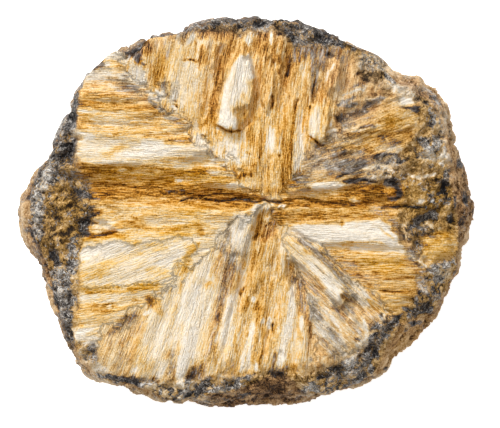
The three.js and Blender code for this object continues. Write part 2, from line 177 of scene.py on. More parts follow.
def distance_to_path(x, y, path, closed=False):
    """Distance to a chain of straight pieces, and how far along the chain, 0 to 1."""
    ends = list(path) + [path[0]] if closed else list(path)
    nearest = np.full(x.shape, 1e9)
    along = np.zeros(x.shape)
    total = sum(math.dist(a, b) for a, b in zip(ends, ends[1:])) or 1.0
    done = 0.0
    for (x0, y0), (x1, y1) in zip(ends, ends[1:]):
        length = math.dist((x0, y0), (x1, y1)) or 1e-9
        part = np.clip(((x - x0) * (x1 - x0) + (y - y0) * (y1 - y0)) / length ** 2, 0.0, 1.0)
        gap = np.hypot(x - x0 - part * (x1 - x0), y - y0 - part * (y1 - y0))
        closer = gap < nearest
        nearest = np.where(closer, gap, nearest)
        along = np.where(closer, (done + part * length) / total, along)
        done += length
    return nearest, along


def inside(x, y, outline):
    within = np.zeros(x.shape, bool)
    for (x0, y0), (x1, y1) in zip(outline, outline[1:] + outline[:1]):
        crosses = (y0 > y) != (y1 > y)
        if y1 != y0:
            within ^= crosses & (x < x0 + (y - y0) * (x1 - x0) / (y1 - y0))
    return within


def depth_inside(x, y, outline):
    """Distance to the outline, positive inside it."""
    gap = distance_to_path(x, y, outline, closed=True)[0]
    return np.where(inside(x, y, outline), gap, -gap)


# ------------------------------------------------------------ fibre directions
# Each field gives a place along the fibres and a place across them.


def top_fibres(x, y):
    return y, x - 0.05 * y - 0.006 * np.maximum(0.0, y - 8) ** 2


def bottom_fibres(x, y):
    return -y, 70.0 * (x - 14.0) / (61.0 - y)


def left_fibres(x, y):
    return -x, y - 0.012 * np.clip(-y, 0.0, 14.0) * (x + 5)


def right_fibres(x, y):
    return x, y - 0.055 * np.clip(y - 2, 0.0, 6.0) * (x - 10)


def slant_fibres(x, y):
    c, s = math.cos(SLANT_ANGLE), math.sin(SLANT_ANGLE)
    return x * c + y * s, y * c - x * s


def rising_fibres(x, y):
    c, s = math.cos(RISING_ANGLE), math.sin(RISING_ANGLE)
    return -x * c - y * s, y * c - x * s


SECTORS = [right_fibres, top_fibres, left_fibres, bottom_fibres]
BEDS = [slant_fibres, rising_fibres]
FIELDS = SECTORS + BEDS
SLANT_NUMBER = 4
RISING_NUMBER = 5
SEAM_ANGLES = [48, 136, 219, 302]
SEAM_DEPTH = 0.45
SEAM_WIDTH = 2.2
RIDGES = [(0.2, 4.3, 0.4, 0.21), (0.15, 2.7, 2.2, 0.34)]  # height, spacing, phase, wander
RIDGE_DRIFT = 1.4


def sector_of(x, y):
    bearing = np.degrees(np.arctan2(y - CORE[1], x - CORE[0])) % 360
    return sum((bearing >= seam).astype(int) for seam in SEAM_ANGLES) % 4


def seam_distance(x, y):
    from_core = np.hypot(x - CORE[0], y - CORE[1])
    nearest = from_core.copy()
    for seam in SEAM_ANGLES:
        turn = np.arctan2(y - CORE[1], x - CORE[0]) - math.radians(seam)
        gap = np.where(np.cos(turn) > 0, from_core * np.abs(np.sin(turn)), from_core)
        nearest = np.minimum(nearest, gap)
    return nearest


def ridges(x, y):
    """Long low ridges along the fibres of each sector."""
    sector = sector_of(x, y)
    total = np.zeros(x.shape)
    for k, field in enumerate(SECTORS):
        here = sector == k
        along, across = field(x[here], y[here])
        for height, spacing, phase, wander in RIDGES:
            drift = RIDGE_DRIFT * np.sin(wander * along + phase)
            total[here] += height * np.sin(2 * math.pi * across / spacing + phase + drift)
    return total


def solid_relief(x, y):
    """The coarse ridges and plates that the CAD solid has."""
    opening = smooth(seam_distance(x, y), 0.0, SEAM_WIDTH)
    total = ridges(x, y) * opening - SEAM_DEPTH * (1.0 - opening)
    for rise, edge, _, outline in PLATES:
        total += rise * smooth(depth_inside(x, y, outline) / edge, -0.5, 0.5)
    return total


# ---------------------------------------------------------------- the blank
# A copy of the solid, merged, with its coarse relief taken off, then smoothed twice.

bpy.ops.object.select_all(action="DESELECT")
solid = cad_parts["chiastolite"]
stone = solid.copy()
stone.data = solid.data.copy()
stone.name = "chiastolite_stone"
stone.data.name = "chiastolite_stone"
bpy.context.scene.collection.objects.link(stone)
stone.select_set(True)
bpy.context.view_layer.objects.active = stone
stone.data.materials.clear()
bpy.ops.object.mode_set(mode="EDIT")
bpy.ops.mesh.select_all(action="SELECT")
bpy.ops.mesh.remove_doubles(threshold=1e-6)
bpy.ops.mesh.normals_make_consistent(inside=False)
bpy.ops.object.mode_set(mode="OBJECT")


def read_points():
    flat = np.empty(len(stone.data.vertices) * 3)
    stone.data.vertices.foreach_get("co", flat)
    return flat.reshape(-1, 3) / MM


def write_points(points):
    stone.data.vertices.foreach_set("co", (points * MM).ravel())
    stone.data.update()


def read_normals():
    flat = np.empty(len(stone.data.vertices) * 3)
    stone.data.vertex_normals.foreach_get("vector", flat)
    return flat.reshape(-1, 3)


def store(name, values):
    """Keeps a number or a triple for each vertex."""
    kind = "FLOAT" if values.ndim == 1 else "FLOAT_VECTOR"
    layer = stone.data.attributes.new(name, kind, "POINT")
    layer.data.foreach_set("value" if kind == "FLOAT" else "vector", values.astype(np.float32).ravel())


def recall(name):
    flat = np.empty(len(stone.data.vertices), np.float32)
    stone.data.attributes[name].data.foreach_get("value", flat)
    return flat.astype(float)


points = read_points()
sheet_x = points[:, 0] + SHEET_SHIFT[0]
sheet_y = points[:, 1] + SHEET_SHIFT[1]
on_face = smooth(read_normals()[:, 2], 0.45, 0.75)
points[:, 2] -= on_face * solid_relief(sheet_x, sheet_y)
write_points(points)
store("face", on_face)

REFINE_STEPS = 2
refine = stone.modifiers.new("refine", "SUBSURF")
refine.levels = REFINE_STEPS
refine.render_levels = REFINE_STEPS
bpy.ops.object.modifier_apply(modifier=refine.name)

# ------------------------------------------------------------- what lies where

points = read_points()
normals = read_normals()
face = recall("face")
X = points[:, 0] + SHEET_SHIFT[0]
Y = points[:, 1] + SHEET_SHIFT[1]
Z = points[:, 2].copy()


def ragged(seed_coarse, seed_fine):
    """How far the edges of the sectors stray from their lines."""
    coarse_waves = noise(X / 1.9, Y / 1.9, seed_coarse) - 0.5
    fine_waves = noise(X / 0.55, Y / 0.55, seed_fine) - 0.5
    return 2.4 * coarse_waves + 1.8 * fine_waves


def choose(values):
    """The value of each place's own sector or bed."""
    return np.choose(sector, values)


ragged_x = ragged(3.1, 5.1)
ragged_y = ragged(9.4, 7.7)
slant = depth_inside(X + 0.5 * ragged_x, Y + 0.5 * ragged_y, SLANT_BED) > 0
rising_depth = depth_inside(X + 0.5 * ragged_x, Y + 0.5 * ragged_y, RISING_BED)
sector = sector_of(X + ragged_x, Y + ragged_y)
sector = np.where(slant, SLANT_NUMBER, np.where(rising_depth > 0, RISING_NUMBER, sector))
ALONG = choose([field(X, Y)[0] for field in FIELDS])
ACROSS = choose([field(X, Y)[1] for field in FIELDS])

# The direction across the fibres, from how fast ACROSS grows.
NUDGE = 0.05
tilt_x = (choose([field(X + NUDGE, Y)[1] for field in FIELDS]) - ACROSS) / NUDGE
tilt_y = (choose([field(X, Y + NUDGE)[1] for field in FIELDS]) - ACROSS) / NUDGE
tilt = np.hypot(tilt_x, tilt_y)
cross_x, cross_y = tilt_x / tilt, tilt_y / tilt

SEED = sector * 7.3

# How granular the stone is: 0 in the fibres, 1 in the matrix and the crust.
# Each place: outline, width of its edge, how granular it gets.
MATRIX = [
    # left corner
    ([(-23.2, 17.4), (-22.6, 16.6), (-22.7, 10.8), (-22.9, 7.0), (-22.8, 5.0), (-21.4, 3.6), (-20.8, 1.6),
     (-20.6, -0.4), (-21.6, -2.8), (-22.2, -5.0), (-22.5, -8.0), (-22.5, -12.0), (-23.1, -15.6),
     (-22.8, -17.6), (-20.2, -17.4), (-20.4, -20.0), (-21.6, -22.6), (-32, -22), (-32, 10), (-25, 18)], 0.5,
     1.0),
    # upper right, from the seam to the rim
    ([(12.8, 21.4), (14.8, 17.4), (17.8, 15.6), (22.4, 14.6), (21.6, 11.4), (20.6, 8.4), (16.6, 6.0),
     (15.6, 4.0), (20.4, 3.6), (19.6, 0.2), (19.4, -2.4), (21.2, -5.4), (23.4, -7.4), (21.6, -10.6),
     (20.0, -13.4), (16.8, -13.8), (15.6, -16.4), (13.8, -18.6), (9.6, -20.6), (4.6, -21.4), (4, -27),
     (32, -24), (32, 20), (16, 26)], 0.9, 1.0),
    # fan of the right sector
    ([(10.6, 15.8), (13.6, 17.4), (18, 15.8), (22.4, 14.6), (22, 8), (20, 4), (12.4, 3.6), (8.2, 3.4),
     (6.8, 5), (7.8, 8.6), (9.8, 9), (10.8, 11.6)], 0.9, 0.35),
    # below the slanting splinter
    ([(8, -13.6), (11.4, -13.4), (14.4, -13.4), (15.8, -15.6), (13.4, -18.6), (9.2, -20.6), (7.6, -20)],
     0.6, 0.25),
    # top rim
    ([(-10, 24.2), (-6.6, 23.8), (-3.0, 23.7), (-1.0, 23.4), (1.2, 23.9), (4.2, 23.4), (5.8, 21.6),
     (8.4, 21.8), (12.8, 21.2), (17, 20), (16, 27), (-10, 28)], 0.5, 1.0),
    # bottom rim
    ([(-20.6, -21.0), (-16, -22.0), (-11.6, -22.6), (-7.0, -22.2), (-4.4, -21.6), (-1.4, -21.8), (2, -21.2),
     (5, -21.0), (6, -28), (-24, -28)], 0.5, 1.0),
]

# Calm places, where the surface is flat and even: outline, how calm, how much less granular.
CALM = [
    ([(-2.9, 20.2), (-0.6, 21.2), (0.8, 18.6), (0.7, 15), (-1, 13.4), (-1.6, 10.6), (-2.8, 10.5),
     (-4.5, 11.5), (-3.6, 15.6)], 0.93, 0.0),
    ([(5.6, -1.9), (8.6, -1.3), (17.2, -1.0), (19.3, -3.0), (20.7, -5.3), (18.2, -5.2), (16.8, -4),
     (6.6, -3.6)], 0.8, 0.0),
    ([(4.3, -3.5), (6.2, -3.9), (14.2, -10.6), (12.2, -12.4), (8.6, -9.2), (4.8, -5.2)], 0.65, 0.0),
    ([(-22.9, 10.8), (-18, 9.6), (-9, 9.8), (-5, 8.6), (-7, 6.9), (-22.9, 6.8)], 0.8, 0.0),
    ([(-22.8, -3.8), (-12, -3.6), (-4, -3), (-4.4, -8), (-5.2, -18), (-11, -22), (-20, -20), (-22.8, -14)],
     0.7, 0.0),
    ([(-13, 22), (-8, 22), (-7, 12), (-13, 14)], 0.5, 0.0),
    ([(-20, -16.6), (-13.4, -15), (-10.6, -17), (-11.4, -22), (-19.4, -21.2)], 0.75, 0.0),
    ([(11.6, -5.6), (20.6, -5.6), (22.4, -8), (22, -10), (19.6, -13), (17.4, -12.6), (13.4, -8.4)], 0.45,
     0.0),
    ([(-20, 1.4), (-4, 1.4), (-1.6, 0.0), (-3.6, -3), (-20, -3)], 0.45, 0.0),
    ([(-22.9, -3.6), (-8, -2.4), (-6, -4.4), (-10, -9.8), (-22.9, -10)], 0.85, 0.0),
    ([(22.5, -3.2), (23.2, -6.2), (24, -6.9), (27, -5.8), (27.7, -4.5), (27.3, -2.9), (25, -2.6)], 0.5,
     0.8),
    ([(19.8, 13.9), (19.9, 15), (21.4, 15.1), (21.5, 14.1)], 0.6, 0.85),
    ([(-19.4, 20.6), (-18.2, 21.5), (-16.7, 21.3), (-14, 19), (-13.8, 17), (-15, 17), (-17, 20)], 0.5, 0.6),
]
grain = np.zeros(len(X))
fray = 1.3 * (layered(X / 1.5, Y / 1.5, 21.0) - 0.5)
for outline, edge, share in MATRIX:
    grain = np.maximum(grain, share * smooth(depth_inside(X, Y, outline) + fray, -edge, edge))
calm = np.zeros(len(X))
for outline, share, cut in CALM:
    part = smooth(depth_inside(X, Y, outline) + 0.3 * fray, -0.2, 0.4)
    calm = np.maximum(calm, share * part)
    grain *= 1.0 - cut * part
skin = 1.0 - smooth(depth_inside(X, Y, RIM) + 0.5 * fray, -0.25, 0.15)
skin = np.maximum(skin, 1.0 - smooth(normals[:, 2], 0.3, 0.6))
grain = np.maximum(grain, skin)
grain = np.maximum(grain, 1.0 - face)
fibrous = 1.0 - grain

# Where the colours are duller (positive) or richer (negative) than elsewhere: strength, outline.
HUES = [
    (0.1, [(-10, 25), (6, 25), (12, 22), (12, 14), (-8, 13), (-10, 18)]),
    (0.35, [(-22, 19), (-13, 19), (-13, 13.6), (-18, 15.6), (-22, 15.6)]),
    (0.25, [(8, -6), (14, -12), (20, -14), (14, -21), (7, -22), (6.4, -12), (5, -8)]),
    (0.3, [(12, -6), (16, -6.8), (18, -9), (14.6, -10)]),
    (0.2, [(-21, -15.2), (-15, -13), (-10, -16), (-6, -23), (-21, -22)]),
    (-0.2, [(-22.6, -3.4), (-9, -2), (-7, -4), (-9.6, -9), (-12, -11), (-22.6, -11)]),
    (0.35, [(-4, -1), (-0.4, -1), (-1.2, -6), (-2, -9.6), (-5.6, -19), (-6.4, -19), (-4.6, -10),
     (-4, -4.6)]),
    (0.1, [(18, -13), (22, -8), (28, -8), (28, -6.6), (24, -7.2), (19, -6)]),
    (-0.15, [(22.6, -2.4), (27.8, -0.6), (28, -5.6), (24, -7.2), (22.4, -7)]),
    (-0.15, [(19, 4.6), (24, 4.6), (27, 3), (27, -1), (20, -1)]),
    (-0.3, [(17, -21), (20, -14.4), (25.4, -13), (25, -18)]),
    (0.35, [(8, 22), (12, 21.6), (17, 20), (19, 16.4), (18, 13.6), (16, 11.4), (12, 9), (10.2, 9),
     (11, 14)]),
    (0.35, [(7, 8.8), (10.6, 8.8), (15.6, 7.6), (20, 8.8), (21, 5), (15, 4.2), (7, 4)]),
    (0.35, [(-16, 22), (-8, 25), (2, 25.6), (12, 24), (12, 21.6), (5, 22.4), (-2, 23), (-9, 22.6),
     (-13, 20.6)]),
    (-0.15, [(17.4, 10.8), (17.6, 13), (20.4, 13), (22.4, 11.6), (20, 11)]),
    (-0.1, [(-27, 3), (-23, 4), (-21, 0), (-22, -5), (-25, -6)]),
    (0.4, [(-23.8, 17), (-22.4, 17), (-22.4, 6), (-23.8, 6)]),
    (-0.2, [(-20, 5.8), (-3, 5.6), (-3, 3.4), (-20, 4)]),
    (0.25, [(-20.4, 17.8), (-16.2, 17.8), (-16.2, 15.8), (-20.4, 15.8)]),
    (-0.15, [(-9.8, 0.8), (-5.6, 0.8), (-6.4, -3.2), (-7.4, -8), (-9.2, -8)]),
    (-0.05, [(-15.4, -16.6), (-12.4, -16.6), (-12.6, -21.6), (-15.6, -21.6)]),
    (0.4, [(17.8, 18), (22, 17.6), (23.8, 14.2), (18.6, 13.6)]),
    (0.35, [(1.8, -1.6), (3.4, -1.6), (3.4, -3.8), (1.8, -3.8)]),
    (0.4, [(19.6, -2.4), (21.2, -2.2), (22.6, -6.4), (21, -7)]),
    (-0.2, [(14, -5.6), (21, -5.6), (21, -8.2), (14, -8.2)]),
]
dull = np.zeros(len(X))
for strength, outline in HUES:
    part = smooth(depth_inside(X, Y, outline), -0.8, 1.6)
    dull = mix(dull, strength, part)

# ------------------------------------------------------------------ the paint
# Channels: tone (0 white, 1 deep brown), soot (share of grey and black spots) and
# dark (how black those are).

tone = np.zeros(len(X))
soot = np.zeros(len(X))
dark = np.full(len(X), 0.6)

# The tone across the fibres of each sector and bed: place, tone.
PROFILES = [
    # right sector
    [(-14, 0.5), (-7, 0.52), (-5.6, 0.46), (-5.2, 0.25), (-4.4, 0.2), (-4.0, 0.12), (-1.9, 0.08),
     (-1.5, 0.4), (-0.7, 0.66), (0.1, 0.6), (0.5, 0.7), (1.3, 0.78), (1.9, 0.64), (2.6, 0.6), (3.0, 0.5),
     (4.0, 0.5), (6, 0.52), (9, 0.52), (11, 0.5), (13, 0.42), (15, 0.5), (22, 0.45)],
    # top sector
    [(-16, 0.4), (-12.6, 0.42), (-11.6, 0.34), (-10.4, 0.2), (-8.4, 0.26), (-7.2, 0.38), (-6.6, 0.5),
     (-5.9, 0.66), (-5.2, 0.64), (-4.7, 0.52), (-3.6, 0.46), (-1.8, 0.48), (-1.0, 0.5), (0.2, 0.5),
     (1.8, 0.46), (3.4, 0.48), (4.4, 0.5), (5.2, 0.42), (5.8, 0.38), (6.6, 0.44), (8.6, 0.48), (11.5, 0.56),
     (15, 0.5)],
    # left sector
    [(-18, 0.3), (-15, 0.34), (-12.4, 0.28), (-10.6, 0.4), (-9.4, 0.3), (-7, 0.2), (-4.6, 0.16),
     (-3.2, 0.32), (-1.9, 0.42), (-0.6, 0.4), (0.4, 0.46), (1.2, 0.56), (1.9, 0.62), (2.5, 0.76),
     (3.2, 0.8), (3.7, 0.68), (4.4, 0.6), (5.2, 0.66), (5.9, 0.68), (6.4, 0.5), (6.8, 0.24), (7.4, 0.12),
     (9.4, 0.18), (9.9, 0.38), (11.2, 0.42), (12.8, 0.4), (13.3, 0.38), (13.7, 0.56), (14.4, 0.52),
     (15.1, 0.5), (15.7, 0.46), (16.5, 0.44), (17.4, 0.42), (18.6, 0.36), (22, 0.36)],
    # bottom sector
    [(-40, 0.3), (-28, 0.34), (-24, 0.3), (-22, 0.2), (-19, 0.14), (-17.9, 0.3), (-17.2, 0.36),
     (-16.2, 0.26), (-14.9, 0.24), (-14.2, 0.4), (-12.6, 0.48), (-11, 0.46), (-10, 0.4), (-9.2, 0.32),
     (-8.2, 0.22), (-7, 0.4), (-5, 0.42), (0, 0.46), (6, 0.5)],
    # slanting bed
    [(-16, 0.46), (-6, 0.4), (-3.4, 0.4), (-2, 0.34), (-0.6, 0.4), (0.1, 0.5), (0.7, 0.46), (1.0, 0.36),
     (2.5, 0.36), (3.3, 0.4), (5.5, 0.44)],
    # rising bed
    [(-5, 0.24), (-3.6, 0.3), (-2.9, 0.22), (-1.4, 0.2), (-0.6, 0.16), (-0.25, 0.36), (0.3, 0.4),
     (0.7, 0.2), (1.1, 0.14), (2.4, 0.08), (3.0, 0.1), (3.6, 0.2), (5, 0.3)],
]
wander = 0.5 * (noise(ACROSS / 0.5, ALONG / 9.0, SEED + 1.5) - 0.5)
for k, profile in enumerate(PROFILES):
    here = sector == k
    tone[here] = np.interp((ACROSS + wander)[here], *zip(*profile))

# Places are read on a sheet that is pulled to and fro along the fibres, so that the
# edge of every patch breaks up into splinters; in the matrix it crumbles instead.
# No place is pulled further than LONGEST_PULL.
LONGEST_PULL = 2.0
pull = 2.2 * (noise(ACROSS / 0.42, ALONG / 5.0, SEED + 0.5) - 0.5) * fibrous
push = 0.5 * (noise(ACROSS / 0.9, ALONG / 2.2, SEED + 4.5) - 0.5) * fibrous
crumb_x = 0.9 * (layered(X / 0.8, Y / 0.8, 31.0) - 0.5) * grain
crumb_y = 0.9 * (layered(X / 0.8, Y / 0.8, 47.0) - 0.5) * grain
AT_X = X + pull * -cross_y + push * cross_x + crumb_x
AT_Y = Y + pull * cross_x + push * cross_y + crumb_y

narrow = noise(ACROSS / 0.38, ALONG / 4.0, SEED + 2.5)
broad = noise(ACROSS / 0.8, ALONG / 7.0, SEED + 8.5)
streaks = even(0.6 * narrow + 0.4 * broad)
specks = even(layered(X / 0.75, Y / 0.75, Z / 0.75, 3))
patches = mix(streaks, specks, grain)

PAINTS = {  # tone, soot, dark
    "white": (0.02, 0.0, 0.3), "pale": (0.13, 0.0, 0.3), "cream": (0.25, 0.0, 0.3),
    "straw": (0.4, 0.0, 0.4), "gold": (0.5, 0.0, 0.4), "ochre": (0.57, 0.0, 0.5),
    "orange": (0.66, 0.0, 0.6), "brown": (0.8, 0.0, 0.7), "umber": (0.95, 0.1, 0.9),
    "khaki": (0.47, 0.22, 0.4), "haze": (0.16, 0.42, 0.25), "grey": (0.3, 0.7, 0.4),
    "slate": (0.5, 0.8, 0.6), "mottle": (0.48, 0.52, 0.66), "char": (0.68, 0.62, 0.76),
    "black": (0.85, 0.95, 0.9), "taupe": (0.64, 0.3, 0.62), "olive": (0.62, 0.24, 0.6),
}

# Skin of the crust. It changes round the stone: bearing in degrees, tone, soot, dark.
# On the lower and right sides, which face away from the key lamp, the tones are set lighter than the
# crust's own colour there: painted light.
SKIN_ROUND = [
    (-180, 0.44, 0.4, 0.5), (-174, 0.42, 0.3, 0.5), (-156, 0.5, 0.3, 0.6), (-140, 0.4, 0.25, 0.6), (-126,
    0.3, 0.2, 0.6), (-112, 0.5, 0.35, 0.65), (-96, 0.74, 0.25, 0.85), (-84, 0.76, 0.3, 0.8), (-76, 0.42,
    0.4, 0.45), (-62, 0.42, 0.35, 0.55), (-52, 0.3, 0.06, 0.7), (-36, 0.3, 0.06, 0.7), (-18, 0.46, 0.2,
    0.65), (-4, 0.5, 0.3, 0.7), (10, 0.5, 0.3, 0.65), (24, 0.4, 0.25, 0.55), (34, 0.3, 0.1, 0.5), (42, 0.34,
    0.1, 0.5), (52, 0.5, 0.6, 0.6), (66, 0.66, 0.85, 0.72), (96, 0.7, 0.92, 0.85), (118, 0.66, 0.85, 0.8),
    (140, 0.56, 0.8, 0.75), (156, 0.5, 0.8, 0.6), (172, 0.5, 0.8, 0.5), (180, 0.44, 0.4, 0.5),
]
bearing = np.arctan2(Y - CORE[1], X - CORE[0])
round_x, round_y = 9.0 * np.cos(bearing), 9.0 * np.sin(bearing)
blotch = even(layered(X / 3.8, Y / 3.8, Z / 2.6, 3))
crumb = even(layered(X / 1.3 + 40, Y / 1.3, Z / 1.0, 3))
turn = np.degrees(bearing) + 14.0 * (blotch - 0.5)
turns, *around = zip(*SKIN_ROUND)
skin_tone, skin_soot, skin_dark = (np.interp(turn, turns, values) for values in around)
skin_tone = skin_tone + 0.2 * (blotch - 0.5) + 0.26 * (crumb - 0.5)
skin_soot = skin_soot + 0.5 * (even(layered(X / 2.6 + 70, Y / 2.6, Z / 1.8, 3)) - 0.5)
skin_soot = skin_soot * mix(0.6, 1.0, smooth(Z + 5.0 * (blotch - 0.5), 9.0, 16.0))
tone = mix(tone, skin_tone, skin)
soot = mix(soot, np.clip(skin_soot, 0.0, 1.0), skin)
dark = mix(dark, skin_dark, skin)

# Seams between the sectors are mottled.
seam_band = (1.0 - smooth(seam_distance(X, Y), 0.2, 1.9)) * (1.0 - slant) * fibrous
soot = mix(soot, 0.12, seam_band)
tone = mix(tone, 0.34, 0.5 * seam_band)

from_above = np.maximum(face, smooth(normals[:, 2], 0.2, 0.42))


def lay(part, paint):
    """Lays a paint over the stone, as thick as part says, 0 to 1."""
    part = part * from_above
    for channel, value in zip((tone, soot, dark), PAINTS[paint]):
        channel += (value - channel) * part


def near(spots, margin):
    """Where the stone lies within a margin of the box round some spots."""
    xs, ys = zip(*spots)
    return (X > min(xs) - margin) & (X < max(xs) + margin) & (Y > min(ys) - margin) & (Y < max(ys) + margin)


def fill(paint, share, edge, *outline):
    """A patch of one paint that covers a share of what its outline holds."""
    here = near(outline, LONGEST_PULL + edge)
    part = np.zeros(len(X))
    part[here] = smooth(depth_inside(AT_X[here], AT_Y[here], list(outline)), -edge, edge)
    if share < 1.0:
        part *= smooth(share - patches, -0.1, 0.1)
    lay(part, paint)


def stroke(paint, width, path):
    """A streak of one paint, thinner towards its ends."""
    here = near(path, LONGEST_PULL + width)
    gap, along = distance_to_path(mix(X, AT_X, 0.35)[here], mix(Y, AT_Y, 0.35)[here], path)
    half = 0.5 * width * mix(0.45, 1.0, bulge(along))
    part = np.zeros(len(X))
    part[here] = smooth(half - gap, -0.14, 0.14)
    lay(part, paint)


def touch(paint, strength, width, *path):
    """A soft streak that lets some of the paint below show."""
    here = near(path, LONGEST_PULL + width)
    gap = distance_to_path(mix(X, AT_X, 0.3)[here], mix(Y, AT_Y, 0.3)[here], path)[0]
    part = np.zeros(len(X))
    part[here] = strength * smooth(0.5 * width - gap, -0.3, 0.3)
    lay(part, paint)


# Left matrix.
fill("char", 1, 0.4, *MATRIX[0][0])
fill("slate", 1, 0.5, (-29.6, 1), (-28.4, 4.6), (-26.4, 7.6), (-25.2, 7.4), (-26.2, 3.4), (-27.2, 0.4),
     (-28, -3.6), (-29.4, -2.6))
fill("mottle", 0.5, 0.4, (-27, 2), (-24, 3.6), (-21, 2.8), (-20.4, 0), (-22, -4.4), (-24.6, -6), (-27, -4))
fill("brown", 0.5, 0.4, (-27, 2.4), (-24, 4), (-21, 3), (-20.2, 0), (-22, -4.8), (-24.6, -6), (-27.4, -4))
fill("black", 1, 0.3, (-24, 16), (-22.8, 16.8), (-22.9, 11.2), (-24.6, 11))
fill("umber", 0.5, 0.5, (-24.2, 6.2), (-21.8, 5.8), (-20.6, 3.4), (-24, 3.2))
fill("taupe", 0.8, 0.5, (-24.4, 6.4), (-21.8, 6.2), (-20.8, 3.6), (-23.6, 2.8))
fill("black", 1, 0.3, (-23.2, 2.7), (-20.6, 2.5), (-20.8, 1.6), (-22.6, 1.3))
fill("black", 0.9, 0.3, (-22.6, -0.4), (-20.6, -0.2), (-20.9, -1.2), (-21.6, -3), (-22.6, -2.2))
fill("black", 0.8, 0.4, (-25.8, 8.9), (-23.2, 9.3), (-23.2, 8.4), (-25.4, 8.1))
fill("black", 0.75, 0.4, (-26.4, -4.8), (-23.8, -4.6), (-22.9, -6.4), (-24, -7.8), (-26, -8.4),
     (-26.4, -13), (-25.6, -13.6), (-24.6, -10), (-26.6, -6.6))
fill("slate", 0.9, 0.4, (-25, -5.6), (-22.8, -5.2), (-22.9, -8), (-23, -12.4), (-23.4, -15.8),
     (-23.3, -17.4), (-24.4, -16.8), (-25.4, -13), (-25.6, -9))
fill("brown", 0.55, 0.3, (-28.6, -3.6), (-27, -4), (-25.6, -7.4), (-26.4, -9.6), (-27.8, -6.8))
fill("olive", 0.9, 0.5, (-27.4, 3.4), (-24.6, 3.8), (-21.4, 1.0), (-22.4, -3.8), (-24.2, -7.6), (-27, -4))
fill("umber", 0.3, 0.4, (-27.0, 2.4), (-24.4, 3.2), (-22, 0.6), (-22.6, -3.6), (-24.2, -6.6), (-26.8, -4))
fill("grey", 0.7, 0.4, (-29.2, 0.6), (-28.2, 4.0), (-26.4, 7), (-25.8, 6.4), (-26.8, 3), (-27.8, 0),
     (-28, -3.4), (-29, -2.6))

# Rims.
fill("black", 1, 0.4, (-8.4, 24.6), (-6.2, 23.5), (-3, 23.8), (-1.2, 23.2), (1, 23.8), (3.4, 23.3),
     (5.2, 23.4), (5.9, 20.8), (7.4, 22.4), (8.4, 20.4), (10, 21.6), (12, 21.2), (14.4, 21.2), (15.2, 20.8),
     (17.4, 20.8), (14, 23), (9, 25.6), (3, 27), (-5, 26.4), (-9, 25))
fill("char", 0.5, 0.4, (-4.4, 25.4), (-3, 23.4), (5.8, 23), (7.2, 22), (12.4, 21.6), (16.6, 20.6),
     (12, 23.4), (5.6, 25.2))
fill("mottle", 0.8, 0.4, (-22.8, -16.6), (-20, -16.2), (-19.4, -18.6), (-20, -20.2), (-21.4, -20),
     (-23, -17.8))
fill("haze", 0.6, 0.4, (-22.6, -16.4), (-20.2, -16.2), (-19.6, -18), (-21.6, -18.2))
fill("black", 0.9, 0.35, (-20.3, -21.0), (-18, -21.7), (-13.8, -21.9), (-13.2, -23.2), (-16, -23),
     (-19.4, -22.3), (-21, -21.6))
fill("slate", 0.85, 0.4, (-13.6, -22.4), (-11, -22.8), (-9.6, -23.4), (-7.4, -22.2), (-5, -22.6),
     (-1.6, -21.8), (1.2, -21.2), (-0.6, -23.2), (-4, -24.2), (-9, -25.2), (-13, -24.2))
fill("black", 0.8, 0.3, (-8.8, -24.6), (-7, -23.4), (-6, -22.4), (-5.4, -23.4), (-7.6, -24.6))
fill("char", 0.85, 0.3, (3, -20.6), (5.6, -20.6), (5, -21.6), (4, -22.0), (2.4, -21.6))
fill("khaki", 1, 0.4, (5.6, -20.4), (9, -20), (9.4, -22.2), (6.2, -23))

# Right matrix and its dark ring.
fill("brown", 0.6, 0.6, *MATRIX[1][0])
fill("char", 0.42, 0.5, (15.4, 18.6), (19, 16.4), (22.6, 14.4), (22, 10.6), (20.6, 7.6), (17, 5.2),
     (20.4, 3.8), (19.6, 0), (21.8, -5), (27.6, -2), (27, 6), (25.4, 12), (19.6, 17.6))
fill("black", 0.62, 0.5, (28, -7.2), (25.8, -6.4), (23.8, -7.2), (22.4, -8.6), (22.2, -10.4), (21.2, -12.2),
     (19.6, -13.8), (16.6, -14.6), (16.2, -16.2), (14.8, -17.8), (13.6, -18.6), (12, -19.8), (9.8, -20.4),
     (8.8, -22), (6.6, -23.4), (11, -24.6), (17, -22.2), (20, -14.8), (24.8, -13.4), (28, -9))
fill("char", 0.4, 0.3, (27, -7.6), (23.6, -7.8), (22.6, -10.4), (20.2, -13.6), (17, -15), (14, -19),
     (10, -21), (9, -23.8), (14, -22.8), (18, -17.6), (24, -13.2), (26.6, -9.4))
fill("grey", 0.75, 0.4, (9.2, -20.4), (12.6, -19.4), (14.4, -18.6), (13.8, -20.6), (11, -22.2))
fill("black", 0.8, 0.35, (16.2, -14), (19.8, -13.6), (20.4, -15), (18.4, -16.8), (16.8, -19.4),
     (14.6, -20.6), (15.4, -17.6))
fill("char", 0.9, 0.4, (18.6, -1.6), (21.4, -1.2), (24.2, -1.6), (24.2, -3.6), (23.0, -5.4), (22.6, -7.2),
     (21.0, -5.6), (19.6, -3.6))
fill("olive", 0.8, 0.4, (20, -2.8), (21.4, -2.2), (22, -4.6), (23, -7.4), (21.6, -6.2), (20.4, -4.6))
fill("orange", 0.8, 0.4, (24.6, 0.6), (27.6, 0.4), (28, -3), (26, -4), (24.4, -2.4))
fill("gold", 1, 0.35, (24.4, -3.6), (26.4, -3.2), (27.9, -3.4), (27.9, -5.2), (26.4, -6.1), (24.8, -6.6),
     (23.6, -7.2), (22.7, -7.0), (23.4, -5.4))
fill("straw", 0.5, 0.3, (24.4, -4.2), (27.6, -3.8), (27.4, -6.0), (24, -6.8))
fill("orange", 0.8, 0.4, (19.4, 3.4), (22.4, 3.2), (23.4, 0.8), (23, -0.6), (20.4, -1), (19.2, 0.2))
fill("gold", 0.6, 0.3, (19.6, 1.6), (22.8, 1.8), (23.2, 0.2), (20.2, -0.8))
